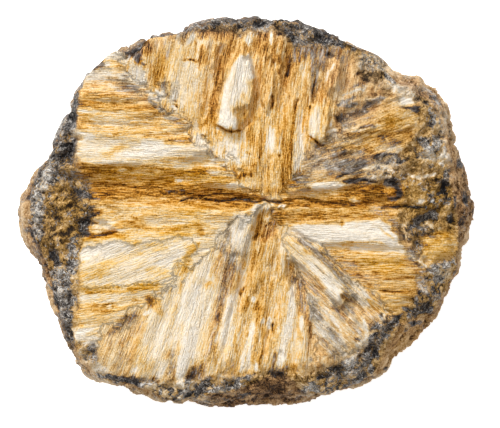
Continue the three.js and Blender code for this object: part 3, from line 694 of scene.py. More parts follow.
fill("slate", 0.8, 0.4, (23.6, -7.4), (25, -6.6), (27.6, -6), (27.6, -8.4), (26, -9.6), (24, -9.4))
fill("grey", 0.6, 0.4, (23.2, 15.2), (24.4, 14.4), (25.6, 11.6), (26.2, 8.6), (26.6, 5.2), (25.6, 5.4),
     (25.2, 8.4), (24.4, 11.6), (22.6, 14.2))
fill("straw", 0.85, 0.35, (26.2, 13.8), (27.2, 10), (28, 7), (28.4, 4), (28, 2.8), (27, 3.4), (26.6, 6),
     (26.2, 9), (25.4, 13))
fill("haze", 0.6, 0.35, (25.4, 14.4), (26.6, 12.4), (27, 9.6), (26.2, 9.2), (25.2, 12.6), (24.2, 15.4))
fill("straw", 0.8, 0.35, (26.2, -7.4), (27.6, -7.2), (27, -10), (25.8, -13), (24.8, -13.2), (25.6, -10.4))
fill("black", 1, 0.3, (21.6, -1.4), (23.6, 0.2), (24.9, 0.1), (24.7, -1), (23.4, -1.1), (22.2, -2))
fill("black", 1, 0.3, (25.3, 2.3), (25.4, 4.2), (25.9, 4.8), (26.2, 3), (25.8, 2.3))
fill("black", 1, 0.3, (26.2, -1.6), (26.9, -1.4), (26.9, -0.2), (26.4, -0.3))
fill("black", 0.9, 0.3, (17.6, 3.4), (18, 4.8), (20, 4.4), (20.2, 1.6), (18.4, 1.5), (18.2, 1.9),
     (19.2, 2.2), (19.2, 3.2))
fill("orange", 1, 0.25, (18.3, 2.0), (18.2, 3.1), (19.2, 3.2), (19.3, 2.1))
fill("char", 0.7, 0.4, (12.2, 3.6), (13.6, 4.2), (15.6, 3.9), (18, 3.2), (15, 3.2))
fill("haze", 0.7, 0.3, (15.4, 5.0), (18, 5.0), (18, 4.2), (15.8, 4.0))
fill("umber", 0.75, 0.35, (13.4, 3.4), (17.6, 3.6), (18.2, 2.4), (15, 2.2), (13.2, 2.8))

# The two dark bands and the pale fan of the right sector.
fill("mottle", 0.6, 0.5, (10.2, 11), (11.4, 9.6), (13, 9.6), (16, 7.8), (20, 7.6), (20, 6), (15, 5.2),
     (10.4, 5), (7.4, 4), (6.6, 6.6), (8, 8.8))
fill("olive", 0.7, 0.5, (10.4, 11.4), (12.6, 12.2), (14, 10.8), (20, 10.6), (22, 8), (18, 8.2), (12, 8.4))
fill("olive", 0.6, 0.5, (8, 6), (10.4, 8.6), (12.6, 8.2), (11, 4.8), (8.6, 4.4))
fill("khaki", 0.9, 0.4, (12, 11.0), (14.4, 12.8), (17.4, 14), (18.6, 13.6), (18, 12), (15.4, 10.9))
fill("taupe", 0.5, 0.3, (12, 11.0), (13.6, 12.4), (16, 13.2), (16.6, 12.2), (14, 10.9))
fill("orange", 0.8, 0.4, (17.6, 11), (17.8, 13), (20, 13), (22.4, 12.2), (22, 11.3), (19.4, 11.2))
fill("black", 0.95, 0.35, (11.3, 12.2), (12.9, 12.7), (15.2, 13.4), (15.6, 12.9), (14, 12.2), (12.8, 11.2),
     (11.5, 11.3))
fill("slate", 0.9, 0.3, (12.2, 14.2), (14.2, 14.1), (14.2, 13.7), (12.4, 13.6))
fill("straw", 0.9, 0.3, (13.3, 9.0), (14.6, 9.9), (17, 9.7), (18.2, 8.9), (16, 8.6))
fill("slate", 0.9, 0.35, (13, 6.3), (15, 7.6), (18.4, 7.7), (20, 7), (17, 6.7))
fill("black", 0.6, 0.3, (15.4, 7.3), (17.6, 7.6), (19.8, 7.1), (17, 6.8))
fill("haze", 0.9, 0.3, (16.4, 8.5), (18, 8.7), (20.4, 8.6), (20.4, 8.1), (17.4, 7.9))
fill("slate", 0.85, 0.35, (10.6, 5.8), (12, 6.9), (15.6, 6.6), (14.8, 5.8), (12, 5.3))
fill("haze", 0.8, 0.3, (14, 5.3), (16.6, 6.1), (18.4, 5.8), (17, 5.2))
fill("white", 1, 0.3, (6.2, 2.8), (6.4, 3.5), (8.8, 3.9), (11.6, 3.8), (12.2, 3.2), (10, 2.8))
fill("mottle", 1, 0.4, (6.0, 2.9), (6.2, 5.4), (7.2, 8.2), (9.2, 9.3), (10.2, 7.4), (9, 4.4), (8.4, 3.0))
fill("char", 0.7, 0.3, (5.9, 2.8), (5.9, 4.8), (7.4, 5.4), (7.8, 3.2))
fill("orange", 0.7, 0.3, (8.6, 4.2), (8.4, 5.4), (10.6, 5.4), (11.6, 4.6))
fill("mottle", 0.75, 0.4, (18.6, 17.4), (20.4, 16.6), (22.6, 15.2), (22.6, 12.6), (20, 13.2), (19.2, 15))
fill("white", 1, 0.25, (19.8, 13.9), (19.9, 15), (21.4, 15.1), (21.5, 14.1))
fill("haze", 0.85, 0.3, (16.4, 20.8), (17.9, 19.6), (19.8, 17.2), (21.4, 16.2), (20, 16), (18.4, 16.8),
     (17, 18.6))
fill("white", 0.8, 0.3, (18.5, 16.4), (19.4, 16.7), (20.2, 16), (22, 15.8), (21.4, 15.3), (19.6, 15.5))
fill("grey", 0.9, 0.4, (22.6, 9.8), (24, 10.4), (25.4, 9.4), (25.3, 8.2), (24, 7.5), (22.7, 8.2))
fill("white", 0.7, 0.3, (23.1, 6.8), (23.8, 7.8), (25.1, 7.7), (24.8, 6.9))
fill("straw", 0.85, 0.4, (19.6, 6.4), (22.8, 7), (24, 6.4), (23, 5.2), (20, 5.0))
fill("orange", 0.4, 0.3, (20.4, 6.2), (23, 6.6), (23, 5.2), (20.4, 5.0))
fill("haze", 0.5, 0.3, (23.4, 8), (27, 7.8), (27.2, 6.2), (24, 6.2))
fill("straw", 0.7, 0.4, (18.6, 13.2), (22.6, 14), (23.2, 11), (20, 10.2))
fill("taupe", 0.8, 0.3, (17.2, 10.2), (19.2, 10.2), (19, 8.8), (17.4, 8.8))

# Long white slab, the ochre below it, and the slanting splinters.
fill("white", 1, 0.2, (5.6, -1.9), (8.6, -1.4), (17.2, -1.1), (19.3, -3.0), (20.7, -5.3), (18.2, -5.2),
     (16.8, -3.8), (11, -3.9), (6.6, -3.6))
fill("straw", 0.95, 0.3, (9.0, -4.2), (13, -4.0), (18, -4.1), (19.4, -5.5), (12, -5.6), (10, -5.2))
fill("gold", 0.45, 0.3, (9.0, -4.2), (13, -4.0), (18, -4.1), (19.4, -5.5), (12, -5.6), (10, -5.2))
fill("pale", 0.8, 0.25, (6.6, -3.4), (8.6, -4.6), (9.8, -4.9), (9.6, -4.0))
fill("white", 1, 0.2, (13.6, -4.6), (15, -4.5), (16.4, -4.7), (16.2, -5.1), (14, -5.1))
fill("white", 1, 0.2, (18, -4.0), (19.6, -4.4), (20.8, -5.3), (19, -5.4), (18.2, -4.9))
fill("gold", 0.85, 0.3, (4.2, -0.7), (12.4, -0.8), (12.1, -1.7), (8, -1.9), (5.2, -2.2))
fill("gold", 0.8, 0.5, (11.6, -5.6), (20.6, -5.6), (22.4, -8), (22, -10), (19.6, -13), (17.4, -12.6),
     (13.4, -8.4))
fill("khaki", 0.7, 0.5, (10.4, -5.2), (13, -5.8), (16.4, -8.6), (18, -11), (16.6, -12), (13.4, -8.8))
fill("taupe", 0.7, 0.4, (10.2, -5.4), (12.4, -5.6), (14.4, -7.6), (15.2, -9.4), (13.4, -8.6), (11.2, -6.8))
fill("taupe", 0.9, 0.4, (20.4, -5.5), (21.6, -5.0), (23, -7.2), (23, -9), (21.6, -7.8))
fill("char", 0.7, 0.35, (20.8, -5.5), (21.8, -5.4), (23, -7.2), (23, -9), (22, -7.6))
fill("slate", 0.85, 0.35, (6.2, -3.3), (7.2, -3.6), (10.2, -5.6), (12.4, -8), (14.8, -10.6), (15, -12),
     (13.2, -11), (10.6, -8.2), (8.8, -6.2))
fill("pale", 1, 0.25, (4.3, -3.5), (6.2, -3.9), (14.2, -10.6), (12.2, -12.4), (8.6, -9.2), (4.8, -5.2))
fill("gold", 0.85, 0.25, (4.4, -3.2), (5.6, -3.6), (7.4, -6.2), (8.9, -8.9), (8.4, -9.3), (5.4, -5.6))
fill("khaki", 0.85, 0.35, (7.2, -7.4), (8, -7.6), (9.8, -10), (9.4, -10.9), (7.6, -9.8))
fill("khaki", 0.8, 0.35, (7.4, -9.4), (8.6, -9.4), (11.6, -12.6), (11, -13.2), (8, -12.6))
fill("khaki", 0.8, 0.5, (14.4, -11.8), (16.8, -12.4), (17.6, -14), (15.8, -15.4), (14.4, -14))
fill("haze", 0.9, 0.3, (13.9, -10.2), (15.4, -10.4), (15.6, -11.6), (14.4, -12))
fill("grey", 0.9, 0.4, (7.8, -10.8), (9.4, -10.8), (10.8, -13), (10.2, -15), (9.0, -14.6), (7.9, -13.6))
fill("slate", 0.75, 0.35, (7.9, -11.4), (8.8, -11.6), (9.2, -13.4), (8.2, -13.7))
fill("taupe", 1, 0.4, (6.0, -8.4), (7.6, -8.8), (8.0, -11.6), (7.8, -14.4), (6.7, -14))
fill("khaki", 0.9, 0.4, (7.6, -9.0), (8.6, -9.6), (8.8, -13), (9.6, -13.4), (10.4, -12.4), (9.4, -10.4),
     (8, -8.6))
fill("grey", 0.8, 0.35, (8.3, -10.6), (9.3, -10.9), (9.9, -13.2), (9, -13.6), (8.3, -12.6))
fill("char", 1, 0.3, (12.1, -10.1), (13.2, -10.1), (13.6, -11.8), (12.8, -13.4), (11.4, -12.8))
fill("slate", 1, 0.25, (11.5, -13.5), (12.3, -13.2), (12.9, -13.6), (12.2, -14.1))
fill("haze", 0.75, 0.4, (8.4, -14), (9.6, -13.9), (13.4, -17.2), (12, -18), (8.8, -16.4))
fill("mottle", 0.55, 0.4, (8.4, -14.4), (13.6, -14.6), (14.6, -18), (11.4, -18.2))
fill("khaki", 0.9, 0.4, (8.2, -16.8), (13.4, -17.2), (12.4, -19.4), (8.6, -20.8), (7.6, -20))
fill("mottle", 0.5, 0.3, (8.2, -16.8), (13.4, -17.2), (12.4, -19.4), (8.6, -20.4), (7.6, -20))
fill("taupe", 0.6, 0.3, (10.6, -13.2), (14.6, -12.8), (16.4, -15), (14.4, -17), (12, -15.6))

# Below and beside the core.
fill("cream", 0.9, 0.3, (-6, -0.6), (-2, -0.2), (-0.4, -1.0), (-2.2, -2.4), (-5.6, -2.6))
fill("haze", 1, 0.25, (1.0, 1.0), (0.9, -0.6), (-0.2, -3.4), (-0.8, -6.2), (-2.4, -5.4), (-3.6, -2.2),
     (-3.2, -0.6), (-0.2, 0.8))
fill("white", 0.7, 0.3, (-2.8, -0.8), (-0.6, -0.6), (-0.6, -2.6), (-1.4, -4.8), (-2.4, -3.4))
fill("straw", 1, 0.25, (1.4, 0.9), (1.2, -0.2), (0.5, -2.2), (-0.2, -4.2), (-0.8, -6.4), (-0.2, -6.2),
     (0.6, -3.6), (1.2, -1.6), (1.9, 0.2))
fill("mottle", 0.6, 0.3, (-2.6, -1.8), (-2.0, -3.4), (-3.4, -4.4), (-4.0, -2.6))
fill("mottle", 0.75, 0.3, (-0.6, -5.2), (-1, -6.8), (-2.4, -8), (-3.6, -7.4), (-3.4, -5), (-2, -4.4))
fill("orange", 0.75, 0.3, (1.6, 0.2), (3.4, 0.3), (3.8, -2.2), (2.2, -3.7), (0.6, -3.9), (1.0, -1.6))
fill("brown", 0.5, 0.3, (1.6, 0.2), (3.4, 0.3), (3.8, -2.2), (2.2, -3.7), (0.6, -3.9), (1.0, -1.6))
fill("brown", 0.8, 0.3, (3.4, 0.9), (4.6, 0.8), (4.8, -1.6), (3.8, -2.4))
fill("straw", 0.9, 0.4, (0.6, -4), (3.4, -3.4), (4.6, -5), (4.2, -13), (-0.2, -13), (0, -7))
fill("gold", 0.4, 0.4, (0.6, -4), (3.4, -3.4), (4, -5), (3.2, -13), (-0.8, -13), (0, -7))
fill("pale", 0.9, 0.3, (1.2, 0.7), (1.4, 1.3), (3.4, 1.3), (3.2, 0.6))
fill("pale", 0.85, 0.3, (3.9, -3.4), (4.5, -3.6), (4.9, -8), (4.2, -8))
fill("char", 0.8, 0.35, (5.3, -6.4), (6.2, -6.8), (7.0, -8.2), (6.4, -8.8), (6, -9.6), (5.4, -9.4),
     (5.2, -8))
fill("mottle", 0.8, 0.4, (5, -8.4), (7.4, -8.6), (7.2, -12), (6, -12.4))
fill("char", 0.7, 0.3, (6.3, -8.8), (7.2, -8.8), (7.2, -11.6), (6.4, -11.6))

# Upper left.
fill("haze", 0.5, 0.5, (-21, 19), (-18.2, 21.4), (-14.8, 19.6), (-13.4, 17), (-13.6, 15), (-16, 16),
     (-21.8, 17))
fill("white", 1, 0.2, (-19.4, 20.6), (-18.2, 21.5), (-16.7, 21.3), (-16.1, 20.5), (-17, 20), (-18.7, 19.8))
fill("ochre", 0.8, 0.3, (-18.8, 20.1), (-17, 20.2), (-15.6, 19), (-16, 18.4), (-18.4, 19.1))
fill("orange", 0.9, 0.3, (-15.8, 20.3), (-13.6, 20.3), (-13.6, 19.5), (-15.9, 19.5))
fill("white", 1, 0.2, (-14.9, 16.9), (-15, 19.1), (-13.7, 19.2), (-13.7, 17))
fill("mottle", 0.9, 0.3, (-21.2, 19.2), (-19.2, 19.4), (-18.8, 18.8), (-20.8, 18.2))
fill("mottle", 0.8, 0.3, (-16, 15), (-13.8, 15.2), (-13.7, 14.6), (-14.4, 14.1), (-15.9, 14.4))
fill("mottle", 0.6, 0.35, (-13.2, 14.8), (-10, 14.2), (-7.4, 12), (-7, 11.2), (-10, 11.9), (-13, 13.2))
fill("khaki", 0.8, 0.4, (-18.6, 18.2), (-14.8, 17.4), (-11, 17.2), (-11, 15.2), (-14.4, 14.8), (-18.6, 16))
fill("mottle", 0.6, 0.4, (-17.6, 17.4), (-14.6, 17.2), (-11, 17.2), (-11, 15.4), (-14.4, 15.2), (-17, 15.8))
fill("char", 0.8, 0.3, (-17.6, 17.2), (-16, 17.2), (-15, 16.4), (-15, 15.6), (-16.4, 16.0))
fill("char", 0.8, 0.3, (-12.5, 17.2), (-11.2, 17.3), (-10.6, 16.2), (-11.8, 15.6))
fill("mottle", 0.5, 0.3, (-14.2, 14.8), (-12, 14.2), (-12.4, 12.8), (-14, 13.4))
fill("haze", 0.7, 0.4, (-12.8, 15.8), (-9.4, 17.6), (-9, 14), (-11.4, 13.6))
fill("black", 1, 0.2, (-16.9, 21.6), (-14.4, 22.6), (-14.0, 21.2), (-14.6, 20.2), (-15.6, 20.0),
     (-16.3, 20.7))
fill("black", 1, 0.2, (-20.8, 19.2), (-19.6, 20.6), (-19.3, 20.7), (-19.6, 19.7), (-19.3, 19.3),
     (-20.2, 19.0))
fill("ochre", 0.9, 0.2, (-22.6, 10.7), (-22.7, 13), (-21.4, 13), (-21.3, 12), (-21.8, 10.9))
fill("white", 1, 0.2, (-22.9, 9.2), (-22.8, 10.7), (-21.6, 10.7), (-21.3, 9.9), (-21.8, 9.3))
fill("straw", 0.9, 0.25, (-18.9, 7.1), (-18.4, 8.4), (-17, 9), (-16.8, 8.2), (-18, 7.9))
fill("white", 0.8, 0.3, (-18, 7.3), (-15, 9.4), (-9, 9), (-7.4, 8.2), (-9, 7.3))
fill("taupe", 1, 0.3, (-11.2, 9.9), (-7.4, 10.0), (-7.4, 9.2), (-11, 9.1))
fill("char", 0.6, 0.25, (-10, 9.8), (-7.6, 9.8), (-7.6, 9.3), (-10, 9.3))
fill("pale", 0.9, 0.3, (-10.5, 6.5), (-6, 6.5), (-3, 6.2), (-1.5, 5.8), (-3, 5.3), (-7, 5.4), (-10, 5.9))
fill("ochre", 0.8, 0.3, (-11, 10.6), (-7.6, 10.2), (-7.8, 9.8), (-10.8, 10))
fill("haze", 0.85, 0.3, (-7.6, 10.2), (-6.8, 11.4), (-6.2, 10.4), (-5.2, 9), (-5.4, 7.4), (-7.2, 8.4))

# Top sector.
fill("khaki", 1, 0.5, (-13.2, 23.3), (-10, 23.6), (-9.8, 19.6), (-13.4, 19.4))
fill("taupe", 0.85, 0.4, (-11, 24.4), (-4, 25), (-2.4, 23.2), (-5.6, 22.8), (-10.6, 23))
fill("char", 0.7, 0.4, (-9.6, 24.8), (-4.0, 24.8), (-3, 23.8), (-5.4, 23.6), (-9.4, 23.9))
fill("orange", 0.7, 0.3, (-2.6, 23.2), (-0.2, 22.8), (-0.6, 21), (-1.6, 20.8), (-2.8, 21.6))
fill("taupe", 0.85, 0.3, (-2.8, 24.4), (4.4, 24.6), (5.2, 23.0), (2, 23.2), (-0.6, 22.9), (-2.4, 23.2))
fill("umber", 0.6, 0.3, (2.6, 23.8), (5.4, 24), (5.6, 21.8), (4.6, 22.4), (3, 22.8))
fill("brown", 0.8, 0.3, (-14.6, 22.6), (-13.1, 22.9), (-12.9, 21.6), (-13.8, 21.4))
fill("ochre", 0.8, 0.3, (-8.6, 22.6), (-7.2, 22.6), (-6.8, 19.8), (-8.6, 20))
fill("ochre", 0.85, 0.4, (-12.8, 19.8), (-11.2, 19.8), (-11.6, 16.6), (-13.6, 16))
fill("haze", 0.75, 0.4, (-9.8, 23.6), (-8.9, 24), (-8.8, 21.6), (-9.8, 21.6))
fill("haze", 0.75, 0.35, (-8.2, 24.2), (-6.6, 23.8), (-7, 22.4), (-8.2, 22))
fill("khaki", 0.85, 0.4, (-5.4, 23.8), (-2.4, 23.4), (-3.2, 19), (-4, 14), (-5.4, 12.4), (-5.6, 18))
fill("orange", 0.45, 0.6, (-1.6, 22.8), (5.6, 22.4), (5.2, 14.4), (1.2, 14.2), (0.4, 17), (-0.6, 20.8))
fill("pale", 1, 0.25, (-0.3, 20.9), (0.6, 18.8), (0.5, 16.9), (0.8, 15.4), (0.2, 14), (-0.6, 13.8),
     (-1.9, 13.4), (-1.5, 12.2), (-1.9, 10.8), (-2.9, 10.7), (-4.4, 11.5), (-3.7, 14.3), (-3.2, 16.7),
     (-2.4, 18.8), (-1.1, 20.4))
fill("white", 1, 0.25, (-0.5, 20.4), (0.2, 18.8), (-0.3, 16.6), (-1.4, 14.6), (-2.2, 13.0), (-1.8, 11.2),
     (-2.9, 10.9), (-3.8, 11.6), (-3.4, 14.3), (-2.9, 16.7), (-2.0, 18.8))
fill("gold", 1, 0.2, (0.4, 17.6), (1.2, 17.4), (1.4, 14.2), (0.6, 13.8), (0.5, 15))
fill("gold", 1, 0.2, (-1.9, 13.3), (-0.6, 13.8), (0.5, 13.8), (0.5, 12), (-0.7, 11), (-1.6, 10.9),
     (-1.3, 12.2))
fill("brown", 0.6, 0.3, (-0.6, 13), (0.7, 13.4), (0.6, 12), (-0.4, 11.9))
fill("ochre", 0.8, 0.3, (-1.6, 22.6), (0.4, 22.4), (1.4, 20), (0.9, 17.6), (0.2, 20.4), (-1.6, 20.8))
fill("brown", 0.5, 0.4, (0.8, 23.6), (5.4, 23), (5.2, 19), (1.6, 18.4), (1, 20.6))
fill("orange", 0.85, 0.4, (0.8, 22.4), (4.4, 22.6), (4.2, 18.2), (1.4, 17.8))
fill("brown", 0.5, 0.3, (1.6, 21.8), (4.2, 22), (4.0, 18.8), (1.8, 19))
fill("brown", 0.75, 0.35, (4.8, 22.6), (6.8, 22.2), (7.0, 20.4), (6.0, 18.6), (5.0, 18.8))
fill("taupe", 0.9, 0.35, (8.9, 21.8), (12.6, 21.4), (12, 20.4), (10.6, 19.4), (9.1, 19.6))
fill("taupe", 0.8, 0.35, (5.6, 23.2), (8.4, 23), (8.0, 21.4), (6.8, 20.6), (5.8, 21.4))
fill("khaki", 0.9, 0.3, (8.2, 17), (9.6, 16.8), (10.2, 14.6), (8.4, 14.2))
fill("brown", 0.6, 0.3, (8.9, 17.4), (9.8, 17.2), (10.2, 15), (9.2, 14.4))
fill("white", 0.9, 0.2, (-0.7, 22.4), (0.2, 24), (0.9, 23.8), (0.1, 22.2))
fill("straw", 0.9, 0.2, (2.8, 18.4), (3.2, 18.4), (3.1, 15.4), (2.7, 15))
fill("pale", 0.8, 0.3, (-0.2, 9.9), (-6, 10.4), (-6.4, 8.4), (-4, 6.4), (-0.4, 6.2), (-0.2, 7.8))
fill("straw", 0.6, 0.3, (-6, 10.8), (-4.6, 11.2), (-2, 10.2), (-1, 9.6), (-4, 9.4), (-5.6, 9.8))
fill("pale", 0.85, 0.3, (2.2, 7.8), (2.4, 10.6), (4.2, 10.6), (4.1, 8))
fill("pale", 0.85, 0.25, (6.1, 5.6), (6.5, 14), (7.0, 14), (7.4, 10), (7.2, 6.4), (6.8, 5.6))
fill("haze", 0.8, 0.3, (5.8, 4.6), (5.8, 7), (6.9, 8), (7.4, 6.4), (6.8, 5))
fill("char", 0.8, 0.3, (5.9, 5.2), (7.4, 5.6), (7.8, 3.0), (6.0, 2.7))
fill("brown", 0.75, 0.3, (4.2, 12), (5.8, 12), (5.7, 2.2), (4.2, 2.2))
fill("pale", 1, 0.25, (7.6, 10), (7.7, 12.2), (8.3, 13.6), (9.0, 14.2), (9.3, 12), (9.4, 9.8), (8.6, 9.9))
fill("gold", 0.8, 0.3, (9.5, 13.8), (10.4, 14), (10.8, 12.5), (10.4, 10), (9.5, 9.5), (9.3, 12))
fill("slate", 0.7, 0.3, (8.2, 21.4), (9.6, 21.2), (9.5, 19.6), (9, 18), (8.8, 14.3), (8.2, 14.3), (8.2, 17))
fill("orange", 0.7, 0.3, (9.6, 20), (10.6, 20.7), (12.1, 20.1), (11.6, 16), (9.8, 15.8), (9.2, 17))
fill("khaki", 0.7, 0.5, (12, 20.8), (15, 20.8), (15.2, 17), (14, 14.6), (11.4, 14.4), (11.8, 16.4))
fill("khaki", 0.8, 0.35, (10.4, 17.6), (12.4, 17.8), (12.6, 13.6), (10.8, 13.4))
fill("olive", 0.9, 0.35, (12.6, 20.6), (14.8, 20.8), (14.8, 16.4), (12.8, 16.8))
fill("brown", 0.75, 0.35, (14.8, 17.4), (15, 18.4), (17.3, 18.6), (17.3, 17.4))
fill("khaki", 0.8, 0.35, (15.6, 17.2), (18.4, 17.4), (19, 16.2), (16, 16.0))
fill("haze", 0.9, 0.3, (15.1, 18.8), (15.2, 20.9), (16.6, 20.7), (17.6, 19.2), (16.4, 18.7))
fill("brown", 0.75, 0.3, (15.8, 15.2), (16, 15.8), (18.2, 15.8), (18, 15.1))

# Groove.
fill("brown", 0.5, 0.3, (-22.8, 6.0), (-22.6, 4.6), (-19, 4.8), (-10, 5.2), (-4, 4.4), (-2, 4.2), (-4, 5.2),
     (-10, 5.8))
fill("brown", 0.6, 0.3, (-22.8, 6.5), (-22.8, 6.0), (-16, 6.2), (-14, 6.5))
fill("brown", 0.8, 0.3, (-22.4, 3.7), (-12, 3.6), (-8, 3.3), (-3, 2.4), (0, 2.2), (-1, 1.8), (-8, 2.2),
     (-14, 2.7), (-22, 2.9))
fill("umber", 0.5, 0.3, (-20, 3.4), (-12, 3.4), (-8, 3.0), (-9, 2.6), (-14, 2.9))
fill("gold", 0.95, 0.3, (-10, 4.9), (-2.5, 5.1), (-1, 4.6), (-3.6, 4.0), (-9, 3.7))
fill("ochre", 0.6, 0.3, (-20, 5.2), (-12, 5.4), (-10, 4.6), (-16, 4.0), (-20, 4.2))
fill("cream", 1, 0.3, (-10, 7.6), (-6, 7.9), (-4.4, 7.4), (-3.6, 6.2), (-9, 6.3))
fill("pale", 0.85, 0.2, (-6.6, 3.2), (-4, 3.8), (-1, 3.6), (-0.4, 3.1), (-3, 2.9), (-6, 3.0))
fill("brown", 0.8, 0.3, (-2.6, 4.2), (-2.2, 5.9), (0.2, 6.1), (0.8, 4.8), (-1, 4.4))
fill("khaki", 0.7, 0.3, (0.4, 1.8), (0.4, 3.9), (2.8, 3.8), (3.6, 1.8))

# Lower left.
fill("gold", 0.9, 0.4, (-20, 1.4), (-4, 1.4), (0.4, 1.2), (-1.6, 0.0), (-3.6, -1.2), (-8, -1.8),
     (-14, -1.0), (-19, -0.6))
fill("straw", 0.8, 0.3, (-15, -0.2), (-8, 0.2), (-4, -0.4), (-5, -1.6), (-9, -2), (-14, -1.4))
fill("orange", 0.7, 0.3, (-14, 1.5), (-1, 1.8), (1.2, 1.8), (-0.4, 0.4), (-2.4, 0.4), (-8, 0.8))
fill("brown", 0.8, 0.3, (-3.4, 1.8), (1.0, 2.2), (1.0, 1.0), (-0.8, 0.5), (-3, 0.8))
fill("pale", 0.7, 0.5, (-20.4, -0.8), (-18, -0.8), (-17, -2.4), (-20.4, -2.4))
fill("white", 0.6, 0.5, (-22.4, -4.6), (-16.6, -4.2), (-13, -5.4), (-17, -7.2), (-22.4, -6.4))
fill("white", 0.55, 0.5, (-14, -6.2), (-9.6, -5.6), (-10.4, -7.6), (-15, -8.6), (-18, -8.6))
fill("gold", 0.6, 0.4, (-22.8, -8.2), (-19.4, -7.0), (-14, -5.4), (-12, -4.4), (-13, -5.8), (-18, -7.4),
     (-22.8, -9.6))
fill("gold", 0.5, 0.4, (-22.8, -9.8), (-17, -9.8), (-11, -9.0), (-9.8, -9.8), (-14, -10.6), (-22.8, -10.8))
fill("pale", 0.65, 0.5, (-22.8, -10.8), (-18, -11), (-17, -12), (-22.8, -12.2))
fill("white", 0.9, 0.3, (-23.4, -15.3), (-21, -15.4), (-21.4, -16.6), (-22.8, -17.2), (-23.3, -16.4))
fill("white", 0.6, 0.4, (-8.6, -10), (-4.8, -10), (-5.4, -14), (-7.4, -18), (-9.2, -17.6), (-8.6, -13))
fill("straw", 0.8, 0.5, (-20, -16.6), (-13.4, -15), (-12, -17), (-12.4, -22), (-19.4, -21.2))
fill("cream", 0.8, 0.4, (-13, -13.2), (-10.8, -12.6), (-10.8, -20.6), (-12.8, -20.4))
fill("khaki", 0.5, 0.5, (-20, -16.6), (-16.4, -15.6), (-15, -18), (-16, -21.6), (-19.4, -21.2))
fill("taupe", 0.9, 0.4, (-11.2, -18.8), (-9.8, -19), (-9.6, -23), (-11.4, -22.8))
fill("khaki", 0.8, 0.4, (-8, -19.4), (-3, -19.6), (-1.4, -21.6), (-7.6, -22.6))
fill("char", 0.8, 0.35, (-8, -21.2), (-5.6, -20.8), (-4.6, -22), (-7.2, -23.4))
fill("char", 0.6, 0.3, (-14.4, -21.8), (-12, -21.6), (-11.6, -23), (-14.4, -23))
fill("taupe", 1, 0.35, (-1.2, -5.6), (-2.8, -6.0), (-3.6, -10), (-4.4, -14), (-5.3, -19.6), (-4.1, -20),
     (-3.0, -15), (-2.0, -11.4), (-1.4, -8.6))
fill("char", 0.75, 0.3, (-1.4, -6.0), (-2.6, -6.4), (-3.5, -11), (-4.1, -14.6), (-3.3, -14.4), (-2.1, -10))
fill("khaki", 0.8, 0.4, (-3.0, -4.4), (-5.2, -5.0), (-5.0, -8.4), (-3.8, -8.8), (-3.2, -6.8))
fill("khaki", 0.8, 0.5, (-19.4, -16.4), (-14.6, -12.4), (-12.8, -13), (-14.4, -15.6), (-16.6, -16.8))
fill("mottle", 0.9, 0.4, (-18.6, -15.8), (-17, -14.2), (-15, -12.9), (-14.4, -13.8), (-16.2, -15.4))
fill("mottle", 0.75, 0.3, (-13.6, -11.2), (-12.4, -11), (-12.2, -12.6), (-13.4, -12.8))
fill("orange", 0.6, 0.4, (-12.8, -11.6), (-11.6, -11.8), (-11.6, -13.6), (-12.8, -13.2))
fill("khaki", 0.8, 0.4, (-2.2, -8), (-0.8, -9), (-2.6, -12), (-4.6, -20.6), (-6.4, -22), (-5.4, -16),
     (-3.6, -10))

# Marks on the crust.
fill("brown", 1, 0.4, (1, -22.2), (3.4, -22), (5.6, -23), (4.6, -24.4), (1.2, -24.4), (-1, -23.6))
fill("umber", 0.9, 0.3, (1.4, -22.6), (3.6, -22.6), (4.6, -23.4), (3.4, -24.0), (1.2, -23.8))
fill("slate", 0.9, 0.3, (6.8, -23.0), (9.4, -23.2), (9.6, -24), (6.8, -24.4))
fill("haze", 0.7, 0.3, (6, -24.5), (12, -24.3), (12, -25.2), (6, -25.4))
fill("char", 0.9, 0.4, (-12.8, -24.2), (-9.8, -24.6), (-9.6, -25.6), (-12.6, -25.4))
fill("straw", 1, 0.3, (-23.8, -17.8), (-22.6, -18.2), (-21, -20.4), (-20.2, -21.9), (-22.4, -21))
fill("cream", 0.8, 0.3, (-21, -20.2), (-19.6, -20), (-19.4, -21.2), (-20.8, -21.4))
fill("straw", 0.7, 0.3, (-20, -22.3), (-12, -23.8), (-12, -24.8), (-20, -23))
fill("straw", 0.8, 0.3, (-30.4, 1.5), (-29.2, 1.5), (-28.8, -2), (-30.2, -2))
fill("straw", 0.8, 0.3, (-27.8, -9.4), (-26.8, -9.6), (-25.2, -14), (-26, -14.4))
fill("straw", 0.9, 0.4, (18.8, 18.2), (23, 18.2), (25.4, 16.2), (24, 14.8), (21.4, 16.2), (19, 17.2))
fill("slate", 0.8, 0.3, (24, 17), (26.2, 13.4), (25.4, 13), (24, 15.4))
fill("black", 1, 0.2, (27.4, 5.4), (27.6, 6.8), (28.3, 7.0), (28.6, 6.2), (28, 5.2))
fill("black", 0.9, 0.25, (28.2, 0.2), (28.4, 2.4), (29.2, 2.6), (29.4, 0.8))
fill("char", 0.9, 0.25, (27.9, -2.6), (28, 0), (28.6, 0), (28.6, -2.4))
fill("gold", 0.7, 0.35, (17.4, -22), (22, -17.6), (25, -14.6), (23.6, -13.8), (20.4, -14.4), (18.4, -17.2),
     (16.8, -20.6), (16.4, -21.8))
fill("black", 1, 0.2, (21.2, -14.5), (22.9, -14.4), (22.9, -15.2), (21.4, -15.3))

